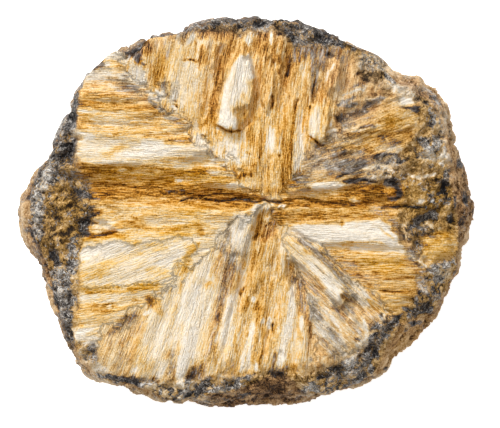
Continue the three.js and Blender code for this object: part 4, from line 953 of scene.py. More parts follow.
# Soft streaks over the patches and the crisp ones: paint, strength, width, path.
TOUCHES = [
    # Upper left.
    ("slate", 0.7, 1.2, (-9.0, 23.0), (-8.2, 24.2)), ("taupe", 0.6, 1.6, (-6.4, 23.6), (-4, 23.6)),
    ("slate", 0.6, 1.0, (-4, 24.6), (-2.4, 24.8)), ("khaki", 0.5, 1.2, (-2, 23.6), (-0.6, 23.4)),
    ("haze", 0.6, 0.8, (-19.6, 18.8), (-18.6, 18.8)), ("black", 0.85, 0.9, (-20.8, 20), (-19.8, 19.5)),
    ("haze", 0.85, 1.1, (-17.8, 20.6), (-16.7, 20.1)), ("black", 1, 1.3, (-16.0, 21.4), (-14.9, 21.2)),
    ("brown", 0.7, 0.9, (-14.2, 22.6), (-13.5, 22)), ("straw", 0.6, 1.0, (-18, 19.4), (-16.8, 19.2)),
    ("haze", 0.85, 1.2, (-14.6, 19), (-14.5, 17.2)), ("brown", 0.5, 1.0, (-11.4, 20.4), (-11.8, 18.2)),
    ("slate", 0.6, 0.9, (-11.6, 17), (-10.8, 16.4)), ("char", 0.6, 0.8, (-16.2, 16.4), (-15.2, 15.8)),
    ("ochre", 0.7, 1.0, (-21.6, 15.4), (-18, 15)), ("khaki", 0.6, 0.8, (-15, 14.6), (-13.6, 14.3)),
    ("straw", 0.5, 0.9, (-11.4, 14.4), (-10.8, 13.2)), ("straw", 0.5, 1.0, (-9.4, 13), (-8, 12.2)),
    ("slate", 0.7, 0.9, (-23.5, 14.4), (-23, 11.2)), ("haze", 0.8, 0.9, (-23, 10.1), (-22.3, 10)),
    ("slate", 0.6, 0.7, (-23.1, 9), (-23, 8.4)), ("taupe", 0.5, 0.8, (-10.6, 9.5), (-8, 9.3)),
    ("pale", 0.8, 0.8, (-21, 6.5), (-9, 6.6)), ("pale", 0.8, 1.2, (-10.4, 7.8), (-6.8, 8)),
    ("straw", 0.7, 0.8, (-9.8, 6), (-6.6, 6.1)), ("slate", 0.6, 0.7, (-5.4, 7.4), (-4.4, 6.5)),
    ("brown", 0.8, 1.1, (-7.6, 5.1), (-2.6, 4.9)), ("ochre", 0.8, 0.7, (-7, 4), (-3, 3.9)),
    ("khaki", 0.6, 0.8, (-2.4, 6), (-0.2, 6)), ("straw", 0.7, 1.0, (-1, 9.8), (-0.8, 8.4)),
    ("cream", 0.6, 0.8, (-6, 19), (-6, 17.8)),
    ("cream", 0.5, 0.7, (-8.4, 22), (-8.8, 20.4)), ("gold", 0.6, 0.7, (-4.4, 22), (-4.4, 20)),
    ("brown", 0.5, 0.8, (-6.1, 21.4), (-6, 19.8)), ("gold", 0.8, 0.7, (-2.5, 20), (-3.3, 17.2)),
    ("white", 0.9, 0.9, (-1.8, 19), (-2.3, 15.4)), ("ochre", 0.8, 1.4, (0.3, 16.6), (-0.1, 13.8)),
    ("white", 0.7, 1.2, (0, 20), (0.3, 18)), ("cream", 0.5, 0.6, (-12, 10.5), (-9.6, 10.5)),
    ("char", 0.7, 1.6, (-23, 4.8), (-21.6, 3.4)), ("orange", 0.5, 1.0, (-19, 5), (-12.6, 5)),
    # Lower left.
    ("gold", 0.6, 1.0, (-14, -0.8), (-11, -1)), ("cream", 0.6, 1.0, (-5.4, -1), (-2.2, -1)),
    ("brown", 0.5, 0.8, (-21.8, -2.4), (-20.8, -2.4)), ("brown", 0.9, 0.4, (-18.4, -3), (-16.8, -3)),
    ("haze", 0.7, 0.9, (-23, -5), (-22.7, -7)), ("cream", 0.7, 1.0, (-17, -4), (-8.6, -3.9)),
    ("cream", 0.6, 1.0, (-15, -5), (-11, -4.4)), ("cream", 0.5, 1.0, (-6.6, -5.8), (-5.4, -5.2)),
    ("cream", 0.5, 0.8, (-13.4, -9.2), (-10, -9)), ("gold", 0.5, 0.7, (-22, -10.3), (-19, -10.2)),
    ("straw", 0.7, 0.8, (-23.2, -8.4), (-23.1, -11)), ("straw", 0.7, 0.8, (-23.2, -12.2), (-23, -14.8)),
    ("taupe", 0.75, 1.2, (-2.6, -6.8), (-3.1, -8.8), (-3.7, -11), (-4.2, -13.4)),
    ("taupe", 0.6, 0.8, (-4.2, -13.4), (-4.6, -16), (-5, -19.4)),
    ("umber", 0.6, 0.7, (-2.7, -7.2), (-3.1, -8.6)),
    ("cream", 0.75, 0.9, (-2.4, -10.6), (-3, -13), (-3.4, -15.8)),
    ("cream", 0.75, 0.8, (-3.5, -16), (-4.2, -20.4)),
    ("haze", 0.7, 0.8, (-1.7, -6.8), (-1.8, -8)), ("haze", 0.85, 1.1, (-1.4, -1.4), (-1.1, -5)),
    ("grey", 0.7, 0.8, (-2.9, -2.6), (-2.7, -4.6)), ("khaki", 0.6, 0.8, (-3.2, -5), (-2.6, -6.2)),
    ("brown", 0.6, 0.8, (-0.8, 0.5), (-0.3, -0.2)), ("cream", 0.5, 0.7, (-1.4, -14), (-1.5, -18)),
    ("khaki", 0.7, 0.8, (-9.5, -17.4), (-10, -19.6), (-10.6, -22.6)),
    ("white", 0.8, 0.9, (-8.4, -18.4), (-8.8, -20.6), (-9.2, -22.6)),
    ("cream", 0.5, 0.8, (-12.8, -13.4), (-13.2, -15.2)),
    ("cream", 0.5, 0.7, (-11, -13), (-11.4, -15)), ("orange", 0.6, 0.9, (-12.8, -12), (-12.2, -13.2)),
    ("khaki", 0.5, 0.8, (-16.6, -15.8), (-15.4, -15.4)), ("char", 0.7, 0.8, (-18.3, -16), (-17.2, -15.4)),
    ("grey", 0.7, 1.0, (-22.3, -18.6), (-21.8, -19.2)), ("black", 0.85, 1.0, (-21, -18.9), (-20.6, -19.8)),
    ("brown", 0.7, 0.7, (-23.4, -17.8), (-22.8, -18)), ("haze", 0.8, 1.0, (-20.2, -20.4), (-19.2, -21)),
    ("slate", 0.8, 1.0, (-14.4, -22.4), (-13, -22.6)), ("haze", 0.8, 0.8, (-12.6, -21.2), (-12, -22)),
    ("khaki", 0.5, 0.8, (-11, -23), (-9.8, -22.8)), ("taupe", 0.6, 1.2, (-4.4, -22.6), (-2.6, -22.6)),
    ("straw", 0.6, 1.6, (-14, -17.8), (-14.2, -20.6)), ("ochre", 0.6, 0.9, (-9, -0.2), (-6, -0.1)),
    ("gold", 0.6, 0.9, (-9.4, -2.4), (-7.6, -2.6)), ("gold", 0.6, 0.8, (-8.2, -4.8), (-8.4, -7.4)),
    # Upper right.
    ("char", 0.6, 1.3, (0.4, 24.6), (4.2, 24.2)), ("grey", 0.5, 1.0, (4.8, 24.8), (6, 24.5)),
    ("char", 0.7, 1.4, (6.4, 23.4), (8.2, 21.6)), ("taupe", 0.7, 1.2, (9.4, 21.6), (10, 20)),
    ("taupe", 0.7, 1.2, (10.6, 21.4), (12.2, 20.6)), ("brown", 0.5, 1.2, (1.6, 21.4), (4.2, 19.6)),
    ("brown", 0.5, 0.7, (13.6, 20), (13.6, 17.8)), ("brown", 0.8, 1.1, (15.2, 18.5), (17.2, 18.2)),
    ("khaki", 0.6, 1.0, (12.8, 21.4), (13.6, 20.8)), ("khaki", 0.5, 0.9, (18, 20), (18.2, 18.6)),
    ("khaki", 0.5, 0.9, (19.2, 18), (20.8, 17.8)), ("khaki", 0.7, 1.0, (9.1, 16.4), (9.1, 14.6)),
    ("grey", 0.6, 0.8, (15.8, 14.3), (17, 14.6)), ("ochre", 0.8, 1.6, (17.6, 12.2), (19.6, 11.8)),
    ("cream", 0.5, 0.9, (8.2, 9.6), (9.6, 9.6)), ("khaki", 0.6, 1.1, (7.2, 6.4), (11.6, 6.4)),
    ("taupe", 0.5, 1.2, (16, 6.6), (16.6, 5.4)), ("taupe", 0.5, 0.9, (19, 6.5), (20, 6.5)),
    ("taupe", 0.5, 0.9, (17.4, 9.4), (18.8, 9.2)), ("ochre", 0.6, 1.0, (20.6, 5.7), (22, 5.8)),
    ("khaki", 0.5, 0.7, (15.6, 4.4), (17, 4.4)), ("straw", 0.8, 1.2, (5.8, 2.7), (11.8, 2.8)),
    ("brown", 0.6, 0.8, (13, 2.3), (15.2, 2.3)), ("straw", 0.5, 0.8, (-1.8, 2.5), (-0.2, 2.5)),
    ("brown", 0.5, 0.9, (0.4, 2.7), (3.8, 2.7)), ("pale", 0.5, 0.9, (2.8, 8), (3.8, 8)),
    ("grey", 0.6, 1.2, (22.8, 16.4), (25, 15.6)), ("haze", 0.5, 0.8, (26.1, 13.6), (26.2, 12.2)),
    ("khaki", 0.6, 1.0, (22.2, 10.6), (23.6, 10.2)), ("brown", 0.5, 1.0, (22.6, 13), (22.6, 12)),
    ("haze", 0.7, 0.8, (25.2, 11.2), (25.2, 10.4)), ("haze", 0.7, 1.0, (23.4, 7.1), (26.6, 6.8)),
    ("brown", 0.6, 0.9, (20.4, 3.6), (21.8, 3.6)), ("ochre", 0.6, 1.2, (23.4, 3.6), (24.6, 3.2)),
    ("ochre", 0.6, 1.2, (27.7, 5.4), (28.1, 3.2)), ("gold", 0.6, 1.0, (28.2, 0.8), (27.6, -1)),
    # Lower right.
    ("khaki", 0.8, 1.2, (28.4, -2.6), (28.2, -3.8)), ("ochre", 0.7, 1.0, (26, -2.4), (27, -2.6)),
    ("ochre", 0.6, 1.4, (20.6, 1.4), (21, -0.8)), ("black", 0.85, 1.0, (23.2, -0.8), (24.4, -0.3)),
    ("brown", 0.5, 1.0, (22.2, -3.4), (23.2, -3.4)), ("char", 0.6, 0.9, (24.4, -3), (25, -3.6)),
    ("slate", 0.7, 1.2, (21.2, -5.6), (22, -6.4)), ("taupe", 0.7, 1.1, (21, -7.2), (21.8, -7.8)),
    ("cream", 0.8, 0.8, (23, -6.3), (23.8, -6.7)), ("haze", 0.7, 1.2, (25.4, -8), (26.2, -8.2)),
    ("ochre", 0.6, 1.0, (25.2, -5.6), (26.4, -6)), ("taupe", 0.8, 1.4, (22.6, -8.8), (23.4, -10.4)),
    ("taupe", 0.7, 0.8, (27.2, -8.8), (26.8, -9.6)), ("cream", 0.5, 1.0, (0.6, 0), (0.8, -1.2)),
    ("cream", 0.5, 1.0, (-0.6, -3.2), (-0.8, -5.8)), ("khaki", 0.7, 1.2, (10.8, -6.6), (13.8, -7.4)),
    ("brown", 0.5, 0.8, (7.3, -5), (8.1, -5.2)), ("cream", 0.6, 1.1, (6.4, -6), (7, -7.2)),
    ("taupe", 0.5, 0.8, (8.2, -9.8), (9.6, -10)),
    ("grey", 0.6, 1.0, (8.4, -12.4), (9.4, -13.2)), ("cream", 0.5, 0.9, (11, -10.8), (11.6, -11.8)),
    ("cream", 0.5, 0.8, (13.4, -11.3), (14.8, -11.7)), ("cream", 0.5, 0.8, (12.8, -12.8), (14.2, -13.4)),
    ("khaki", 0.5, 1.2, (17.8, -14.8), (19, -16)), ("char", 0.6, 0.8, (20.4, -13.8), (21, -14.2)),
    ("straw", 0.6, 1.2, (17.2, -17.8), (19.4, -20)), ("cream", 0.5, 1.2, (7.4, -21.3), (11.6, -21)),
    ("cream", 0.5, 1.0, (5.4, -23.2), (6.6, -23.2)), ("taupe", 0.5, 1.0, (4.6, -20.4), (6.6, -20.4)),
    ("taupe", 0.5, 1.2, (11.6, -22.2), (13.2, -21.6)), ("cream", 0.5, 0.7, (3, -4.4), (3, -8.2)),
    ("cream", 0.5, 0.8, (1.6, -8.4), (1.7, -9.8)), ("cream", 0.5, 0.7, (2.8, -11.2), (2.9, -13.2)),
    ("cream", 0.5, 0.8, (1.4, -16.2), (1.6, -17.8)), ("brown", 0.5, 0.8, (0.8, -12.2), (0.8, -14.8)),
    ("gold", 0.75, 0.9, (9.4, -4.7), (17.4, -4.7)), ("white", 0.8, 0.5, (13.4, -4.9), (16, -4.9)),
    ("white", 0.9, 0.8, (17.9, -3.8), (20.3, -5.3)), ("khaki", 0.7, 1.2, (7, -9.6), (7.5, -12.2)),
    ("slate", 0.6, 0.8, (5.4, -6.6), (5.8, -8.6)), ("pale", 0.5, 1.2, (6.2, -16.6), (6.4, -19.6)),
    ("gold", 0.7, 0.7, (0, -14.6), (-1.2, -18), (-1.6, -20.6)),
    ("white", 0.8, 0.6, (0.5, -15), (0, -18), (-0.3, -20.6)),
    ("taupe", 0.6, 1.0, (3.4, 0.2), (3, -2.8)), ("khaki", 0.6, 1.2, (16.6, 0.1), (19.2, -0.6)),
    ("gold", 0.75, 1.3, (19.6, -15.6), (18.6, -18.2), (17.6, -20.2)),
    ("ochre", 0.7, 1.0, (20.2, -14.6), (19.9, -16.4)),
    ("grey", 0.8, 0.9, (8, -11.4), (8.8, -13.8), (10.8, -17)),
    ("haze", 0.85, 1.1, (8.8, -13.4), (10.8, -16.4), (12.4, -18.8)),
    ("grey", 0.7, 0.7, (12.8, -12.4), (14.2, -14.8), (14.8, -17)),
    ("gold", 0.7, 1.4, (8.6, -18.6), (11, -20.2)),
    ("gold", 0.6, 1.1, (8.8, -9.6), (10, -11.4)), ("ochre", 0.6, 1.0, (12.8, -16.8), (14, -18.8)),
    ("haze", 0.85, 0.6, (15.1, -14), (15.5, -17.2)), ("gold", 0.6, 1.2, (16.8, -11.8), (19.4, -13)),
    ("slate", 0.75, 0.9, (7, -3.8), (9.6, -6.2), (12.4, -9.2), (14.4, -12)),
    ("haze", 0.7, 0.8, (12.8, -8.8), (15.2, -11)),
    ("pale", 0.6, 1.6, (-1.3, 19), (-2.6, 13)), ("straw", 0.5, 0.6, (-0.6, 17.4), (-1.2, 14.6)),
    ("cream", 0.5, 1.6, (-15, 0.4), (-9, -1.4)), ("cream", 0.5, 1.4, (-17, -5.6), (-11, -4.6)),
    ("pale", 0.5, 1.2, (-11, -9.6), (-13.4, -17)), ("cream", 0.5, 1.2, (-7, -6.6), (-9.4, -16)),
    ("pale", 0.25, 8.0, (-18, -6.4), (-10, -8)), ("pale", 0.25, 5.0, (-9.6, -11), (-12, -18)),
    ("char", 0.8, 1.0, (-7, 24.2), (-2, 24.7), (0, 25)), ("taupe", 0.7, 1.3, (-6.4, 23.3), (-2, 23.5)),
    ("char", 0.8, 1.5, (0.6, 24.9), (3.6, 24.6)), ("haze", 0.5, 0.9, (5, 24.8), (5.8, 24.4)),
    ("char", 0.6, 1.0, (6.2, 23.8), (7.4, 22.6)),
    ("khaki", 0.6, 1.0, (15, 19.2), (16.6, 19.6)),
    ("gold", 0.8, 0.9, (8.7, 4.9), (9.6, 4.7)), ("pale", 0.8, 0.7, (8.8, 3.4), (11.8, 3.5)),
    ("gold", 0.5, 0.7, (4.6, 12.6), (4.6, 6)), ("gold", 0.6, 0.7, (2.9, 17.2), (2.9, 14.2)),
    ("khaki", 0.5, 0.7, (8.3, 18), (8.3, 15.8)), ("gold", 0.7, 1.0, (-1.4, 14), (0.3, 14.3)),
    ("gold", 0.6, 1.0, (0.6, 21.6), (0.8, 18.6)), ("gold", 0.5, 0.8, (7, 17.4), (6.8, 14.8)),
    ("pale", 0.6, 0.9, (2.6, 8.2), (3.4, 7.8)), ("brown", 0.6, 0.8, (13, 2.2), (15, 2.1)),
    ("taupe", 0.6, 0.8, (-2.4, -8), (-2.9, -10.4), (-3.4, -12.4)),
    ("khaki", 0.7, 0.8, (-2, -5.8), (-1.5, -6.8)), ("umber", 0.8, 0.9, (-13.2, -11.5), (-12.9, -12)),
    ("orange", 0.7, 0.8, (-12.3, -12), (-12, -13.2)), ("haze", 0.8, 1.0, (-22.2, -18.6), (-21.8, -19.6)),
    ("slate", 0.6, 1.0, (-23.7, -4.2), (-23.7, -5.6)), ("slate", 0.6, 1.0, (-23.8, -11.6), (-23.8, -14)),
    ("gold", 0.7, 0.8, (-8.2, -5.4), (-8.6, -7.8)), ("gold", 0.5, 1.0, (-9, -0.4), (-2.6, -0.8)),
    ("straw", 0.5, 0.9, (-22, -4.4), (-20.4, -4.4)), ("straw", 0.6, 0.9, (-16, -4.2), (-14.8, -4.2)),
    ("pale", 0.7, 0.8, (-9.6, 6.2), (-7.6, 6.3)), ("brown", 0.7, 0.9, (-6, 5.3), (-3, 5.2)),
    ("khaki", 0.6, 0.6, (19.4, -2.6), (20, -3.8)), ("cream", 0.7, 0.8, (1, 0.4), (0.2, -2), (-0.6, -5)),
    ("brown", 0.5, 1.0, (1.8, -2.7), (3.2, -3.2)), ("brown", 0.5, 0.7, (0.8, -5.6), (0.8, -7.6)),
    ("gold", 0.6, 0.7, (1.4, -8.4), (1.2, -10.6)), ("gold", 0.6, 0.7, (3, -5), (2.6, -9)),
    ("gold", 0.6, 0.7, (2.4, -11), (2.2, -13.6)), ("cream", 0.6, 0.6, (4.6, -3.8), (6, -5.4)),
    ("cream", 0.6, 0.6, (5.2, -5.6), (7.2, -7.4)),
    ("cream", 0.6, 0.5, (6.1, -7.6), (6.2, -11)),
    ("taupe", 0.6, 1.1, (10.6, -6.2), (12.4, -7.2), (13.8, -7.4)),
    ("white", 0.7, 0.6, (10, -8.3), (11.6, -9.7)), ("haze", 0.7, 0.7, (10, -10.4), (11.4, -12.2)),
    ("haze", 0.8, 0.9, (13.4, -10.8), (15.2, -12)), ("straw", 0.6, 0.9, (18, -17.4), (17.4, -19.8)),
    ("char", 0.7, 1.2, (10.6, -22), (13.4, -21.6)), ("grey", 0.6, 1.0, (10.8, -16), (12.2, -17.4)),
    ("grey", 0.6, 0.8, (11.4, -13.4), (12.2, -14.2)), ("taupe", 0.7, 1.0, (4.4, -20.4), (5.4, -21.6)),
    ("ochre", 0.5, 0.9, (16.2, 0.1), (19.6, -0.1)), ("gold", 0.7, 0.8, (20.1, 0.2), (20.3, -1)),
    ("orange", 0.9, 1.3, (15, 18.5), (17.2, 18.4)), ("haze", 0.8, 1.2, (15.4, 19.7), (16.4, 19.2)),
    ("gold", 0.7, 1.2, (21, 5.9), (22.2, 5.4)), ("haze", 0.8, 0.9, (22.6, 7.4), (25, 7.4)),
    ("straw", 0.5, 0.9, (22, 10.4), (23.6, 10.4)), ("gold", 0.8, 0.9, (28.2, 5.2), (28.6, 3.4)),
    ("gold", 0.6, 1.2, (24.6, -5.8), (27, -5.4)), ("gold", 0.7, 1.0, (25.8, -2.4), (26.8, -2.4)),
    ("khaki", 0.5, 0.9, (22.2, -3.6), (23.2, -3.8)), ("char", 0.6, 0.7, (22.8, -4.8), (23.6, -4.9)),
    ("slate", 0.6, 1.2, (22.4, -9), (23.2, -10.4)), ("slate", 0.7, 0.9, (12.6, 12.3), (14, 12.8)),
    # The last small corrections, upper left first.
    ("umber", 0.6, 1.2, (-6, 23.8), (-2.4, 24.2)), ("char", 0.8, 1.0, (-8.8, 22.6), (-8.2, 24)),
    ("umber", 0.5, 1.2, (0, 24.8), (4, 25)), ("char", 0.7, 0.9, (-20.8, 20.2), (-20, 19.6)),
    ("ochre", 0.6, 0.8, (-19.8, 18.2), (-17, 18.5)), ("brown", 0.6, 0.8, (-16.2, 14.2), (-13.6, 14.1)),
    ("pale", 0.7, 1.0, (-17.8, 17.4), (-14.2, 17.2)), ("pale", 0.7, 1.0, (-6.2, 8.2), (-5.4, 7.2)),
    ("pale", 0.7, 1.0, (-9.8, 6.2), (-8, 5.9)), ("straw", 0.7, 0.8, (-2.4, 6.4), (-2, 5.6)),
    ("straw", 0.7, 0.8, (-0.7, 6.2), (-0.5, 5.4)), ("taupe", 0.7, 0.9, (-5.2, 5.2), (-2.6, 5.2)),
    ("orange", 0.5, 0.9, (-19, 5), (-12, 4.6)), ("orange", 0.6, 0.8, (-8, 4.1), (-3.6, 3.9)),
    ("white", 0.7, 2.0, (-0.6, 19.6), (-0.4, 15)), ("gold", 0.6, 1.0, (-0.8, 15), (0.2, 14)),
    # Upper right.
    ("char", 0.8, 1.2, (6.4, 23.6), (7.2, 20.8)), ("char", 0.8, 1.0, (9.4, 21.6), (9.6, 18.8)),
    ("char", 0.7, 1.1, (10.6, 21.4), (12, 20.2)), ("haze", 0.7, 1.4, (14.8, 19.4), (16.4, 18.2)),
    ("char", 0.7, 1.2, (12.6, 11.6), (14.4, 12.6)), ("char", 0.6, 1.0, (8, 5.8), (12.6, 7.6)),
    ("slate", 0.6, 0.9, (8.6, 7), (12, 8.4)), ("char", 0.6, 1.0, (13.8, 4.8), (16, 5.6)),
    ("mottle", 0.6, 1.2, (17, 6.4), (20, 7)), ("brown", 0.6, 0.8, (13, 2.1), (15.4, 2.1)),
    ("pale", 0.7, 0.8, (8, 3.4), (12, 3.3)), ("straw", 0.6, 0.8, (5.6, 2.5), (9.6, 2.2)),
    ("pale", 0.6, 0.9, (8.2, 17), (8.2, 15.6)), ("straw", 0.6, 0.9, (3, 17), (3, 15)),
    # Lower left.
    ("white", 0.6, 1.6, (-21, -4.9), (-16.4, -4.6)), ("straw", 0.6, 0.7, (-22.2, -4.2), (-19.6, -3.9)),
    ("gold", 0.6, 0.8, (-17.4, -3), (-15, -4.4)), ("pale", 0.7, 1.0, (-13.4, -1), (-11.4, -1.2)),
    ("black", 0.8, 1.0, (-22.2, -1.4), (-21.6, -2.8)), ("orange", 0.6, 0.7, (-18.4, -2.8), (-16, -3.2)),
    ("slate", 0.7, 1.0, (-23.4, -4), (-23.6, -7)), ("slate", 0.6, 0.8, (-23.4, -11.4), (-23.6, -14)),
    ("straw", 0.5, 0.8, (-22.4, -10), (-20.6, -9.9)), ("gold", 0.6, 1.0, (-20.4, -8.2), (-19, -7.8)),
    ("ochre", 0.6, 0.8, (-20.2, -10.2), (-18, -9.8)), ("char", 0.8, 0.6, (-15.8, -10.2), (-15.2, -10.4)),
    ("slate", 0.6, 0.7, (-12.2, -11), (-10.4, -10.2)), ("gold", 0.7, 0.9, (-12.2, -12), (-11.8, -13.2)),
    ("khaki", 0.7, 1.2, (-22, -18.4), (-21, -19.4)), ("slate", 0.6, 0.9, (-20.8, -17.4), (-20.4, -19.2)),
    ("haze", 0.6, 0.9, (-20.4, -20.8), (-19.4, -21.4)), ("slate", 0.5, 0.9, (-10.3, -18.4), (-10.4, -21.2)),
    ("white", 0.6, 1.0, (-11.4, -20.2), (-11.8, -21.6)), ("white", 0.8, 1.1, (-8.8, -19.2), (-9.4, -23)),
    ("black", 0.8, 1.0, (-7.4, -20.8), (-8.2, -22.2)), ("mottle", 0.7, 0.9, (-4.4, -16.6), (-5, -19.6)),
    ("white", 0.7, 1.0, (-2.6, -11.6), (-3.4, -17)),
    ("char", 0.7, 0.9, (-2.6, -6.6), (-3.4, -10), (-4.2, -14)),
    ("slate", 0.8, 0.9, (-2.2, -5.8), (-2, -7.6)), ("haze", 0.6, 0.8, (-1, -6.6), (-1.2, -8.2)),
    ("slate", 0.7, 0.8, (-2.6, -1.6), (-3, -3.8)), ("pale", 0.6, 0.9, (-4, -2), (-4.4, -3.4)),
    ("slate", 0.7, 0.9, (-3.6, -4.4), (-3.2, -5.8)), ("haze", 0.6, 0.9, (-0.6, -3.6), (-1, -5.6)),
    ("gold", 0.6, 0.9, (-14, -0.2), (-10.6, -0.6)), ("ochre", 0.5, 0.8, (-8.6, -0.2), (-4, -0.4)),
    ("gold", 0.6, 0.9, (-12.8, -4.6), (-11, -5)), ("gold", 0.6, 0.9, (-7.4, -4.6), (-8.2, -6.4)),
    ("gold", 0.6, 1.0, (-9.6, -7), (-7.6, -7.6)), ("straw", 0.7, 1.0, (-13.2, -7.8), (-11.2, -7.8)),
    ("ochre", 0.6, 1.0, (-15.2, -10), (-12.4, -9.9)), ("gold", 0.6, 0.9, (-6.2, -9.2), (-5.4, -9.8)),
    ("ochre", 0.6, 0.9, (-10.4, -2.6), (-8.2, -2.8)), ("brown", 0.8, 0.6, (-6.8, -2), (-6.8, -2.8)),
    ("white", 0.5, 1.2, (-8.4, -11), (-8.6, -14)), ("white", 0.5, 1.2, (-7.4, -15), (-7.8, -19)),
    ("white", 0.5, 1.2, (-11.4, -15), (-12.6, -19)), ("white", 0.4, 1.6, (-13, -6), (-9.4, -5.4)),
    # Lower right.
    ("pale", 0.7, 0.8, (9, -4.3), (11.6, -4.3)), ("pale", 0.8, 0.9, (14, -4.5), (20, -5)),
    ("gold", 0.7, 0.8, (10.6, -5.5), (16, -5.6)), ("khaki", 0.7, 0.8, (17.6, -5.9), (21, -5.9)),
    ("mottle", 0.6, 0.9, (11.6, -7), (14.2, -7.4)), ("char", 0.8, 0.8, (5.6, -7), (6, -9)),
    ("char", 0.8, 0.9, (6.9, -9), (6.9, -12.2)), ("mottle", 0.6, 0.8, (8.2, -9.6), (9, -10.6)),
    ("slate", 0.8, 0.9, (8.2, -12.2), (9.2, -14)), ("pale", 0.7, 0.8, (5.4, -6), (7.2, -7.6)),
    ("straw", 0.6, 0.9, (3, -5.4), (2.8, -8.6)), ("straw", 0.6, 1.0, (1.8, -7.4), (1.2, -10.6)),
    ("straw", 0.6, 0.8, (4.8, -5.8), (4.8, -8.4)), ("haze", 0.7, 0.7, (0.2, -3), (-0.8, -5.4)),
    ("haze", 0.7, 0.8, (0.9, 0.8), (0.2, -1)), ("brown", 0.6, 0.9, (1.2, -12.4), (1.2, -14)),
    ("white", 0.7, 1.1, (5, -15), (4.1, -20)), ("gold", 0.5, 0.8, (6.6, -15.8), (6.7, -18.6)),
    ("pale", 0.5, 0.8, (7.4, -16), (7.4, -19.6)), ("ochre", 0.5, 0.8, (8.6, -16.8), (8.6, -19)),
    ("slate", 0.6, 0.7, (10.4, -15.2), (11.8, -17)), ("mottle", 0.6, 0.9, (9.6, -17), (12, -18.4)),
    ("slate", 0.8, 1.6, (11, -21.2), (15.6, -20.6)), ("char", 0.8, 1.4, (15, -19.6), (16.8, -17.2)),
    ("char", 0.8, 1.3, (17.2, -16.4), (19, -14.6)), ("haze", 0.7, 1.2, (13.6, -18.8), (14.8, -17.6)),
    ("slate", 0.7, 0.9, (12.6, -10.2), (13.6, -11.6)), ("haze", 0.5, 0.8, (14, -9.8), (15.2, -11.2)),
    ("mottle", 0.5, 0.7, (16.2, -10.8), (17.4, -12.2)), ("slate", 0.7, 0.9, (10, -5.4), (11.6, -7.4)),
    ("pale", 0.6, 0.8, (4.8, -3.2), (6.6, -5)), ("mottle", 0.6, 0.9, (16, 0.2), (19, 0.2)),
    ("char", 0.7, 1.0, (18.9, -1.2), (20.1, -3.4)), ("khaki", 0.6, 0.9, (20.2, 0.4), (20.2, -1)),
    # And once more over the upper half.
    ("char", 0.8, 1.3, (9.2, 22.8), (9, 19.6)), ("slate", 0.7, 0.8, (8.9, 19.8), (8.5, 14.8)),
    ("char", 0.8, 0.8, (10.2, 21), (11.8, 20.4)), ("char", 0.7, 1.4, (6.6, 23.2), (6.2, 20.4)),
    ("brown", 0.6, 0.7, (11.8, 18.8), (10.8, 16.6)), ("ochre", 0.7, 1.1, (13.9, 20), (13.6, 17.6)),
    ("haze", 0.9, 1.6, (15.4, 20.6), (16.6, 19)), ("haze", 0.7, 1.0, (17, 20.6), (18, 18.6)),
    ("brown", 0.8, 0.8, (15.8, 18), (17.4, 18.2)), ("ochre", 0.6, 0.8, (9.6, 16.2), (8.8, 14.4)),
    ("brown", 0.8, 0.7, (16.2, 15.4), (18.4, 15.6)), ("white", 0.7, 1.0, (20, 16), (20.4, 14.8)),
    ("char", 0.7, 0.9, (12, 12.4), (14.6, 13.2), (17.2, 14.8)),
    ("mottle", 0.7, 1.1, (12.4, 11.2), (14, 11.8)),
    ("straw", 0.6, 0.8, (14.4, 12), (17.2, 12.9)), ("ochre", 0.7, 0.8, (17.4, 10.4), (21, 10.6)),
    ("mottle", 0.8, 1.3, (10.8, 9.9), (14.4, 9.3)), ("mottle", 0.7, 0.8, (16.8, 8.4), (18.8, 8.9)),
    ("char", 0.7, 0.9, (9.2, 8.4), (12.4, 8.2)), ("khaki", 0.6, 0.8, (14.4, 7.2), (16, 7.3)),
    ("slate", 0.7, 1.2, (17.4, 6.8), (19.8, 6.6)), ("slate", 0.8, 1.5, (10.4, 6.2), (12.8, 6)),
    ("char", 0.7, 1.0, (10.6, 5.2), (12.4, 5.4)), ("mottle", 0.7, 1.2, (7.6, 6.4), (8.8, 5.8)),
    ("gold", 0.8, 0.9, (8.8, 5), (9.8, 4.8)), ("khaki", 0.6, 1.0, (9, 7.6), (10.4, 7.2)),
    ("slate", 0.7, 0.9, (13.4, 5.2), (17, 6)), ("white", 0.8, 0.6, (15.2, 5.5), (16.8, 6.1)),
    ("white", 0.7, 0.6, (17.6, 5.9), (18.6, 5.4)), ("haze", 0.7, 0.7, (15.8, 4.3), (17.4, 4.3)),
    ("black", 0.7, 0.7, (13.2, 4.1), (15.6, 4)), ("char", 0.8, 0.8, (5.6, 3.2), (7.8, 3)),
    ("slate", 0.6, 1.0, (5.8, 4.6), (7.4, 3.8)), ("white", 0.8, 0.9, (8.8, 3.4), (12, 3.4)),
    ("straw", 0.6, 0.8, (5.4, 2.1), (9.8, 1.7)), ("brown", 0.7, 1.0, (12.2, 2.6), (15.6, 2.2)),
    ("char", 0.6, 1.0, (20, 4), (21.2, 3.6)), ("straw", 0.7, 0.8, (2.5, 7.8), (2.3, 6)),
    ("ochre", 0.6, 0.7, (3.5, 7.6), (3.2, 6.2)), ("ochre", 0.7, 0.9, (0.2, 13.6), (0.8, 11.4)),
    ("orange", 0.7, 1.0, (0.4, 17), (0.6, 14)), ("brown", 0.5, 0.7, (2.9, 18.8), (2.3, 16.6)),
    ("brown", 0.6, 0.7, (5.2, 18.2), (4.6, 16.8)), ("brown", 0.7, 0.7, (5.9, 13.6), (5.7, 12.4)),
    ("ochre", 0.7, 0.7, (7, 17.4), (6.8, 16.2)), ("black", 0.7, 1.0, (0.8, 24.7), (2.8, 24.9)),
    ("umber", 0.7, 0.9, (3.2, 24.4), (4.2, 23.6)), ("char", 0.6, 0.9, (4.6, 24.8), (6, 24.7)),
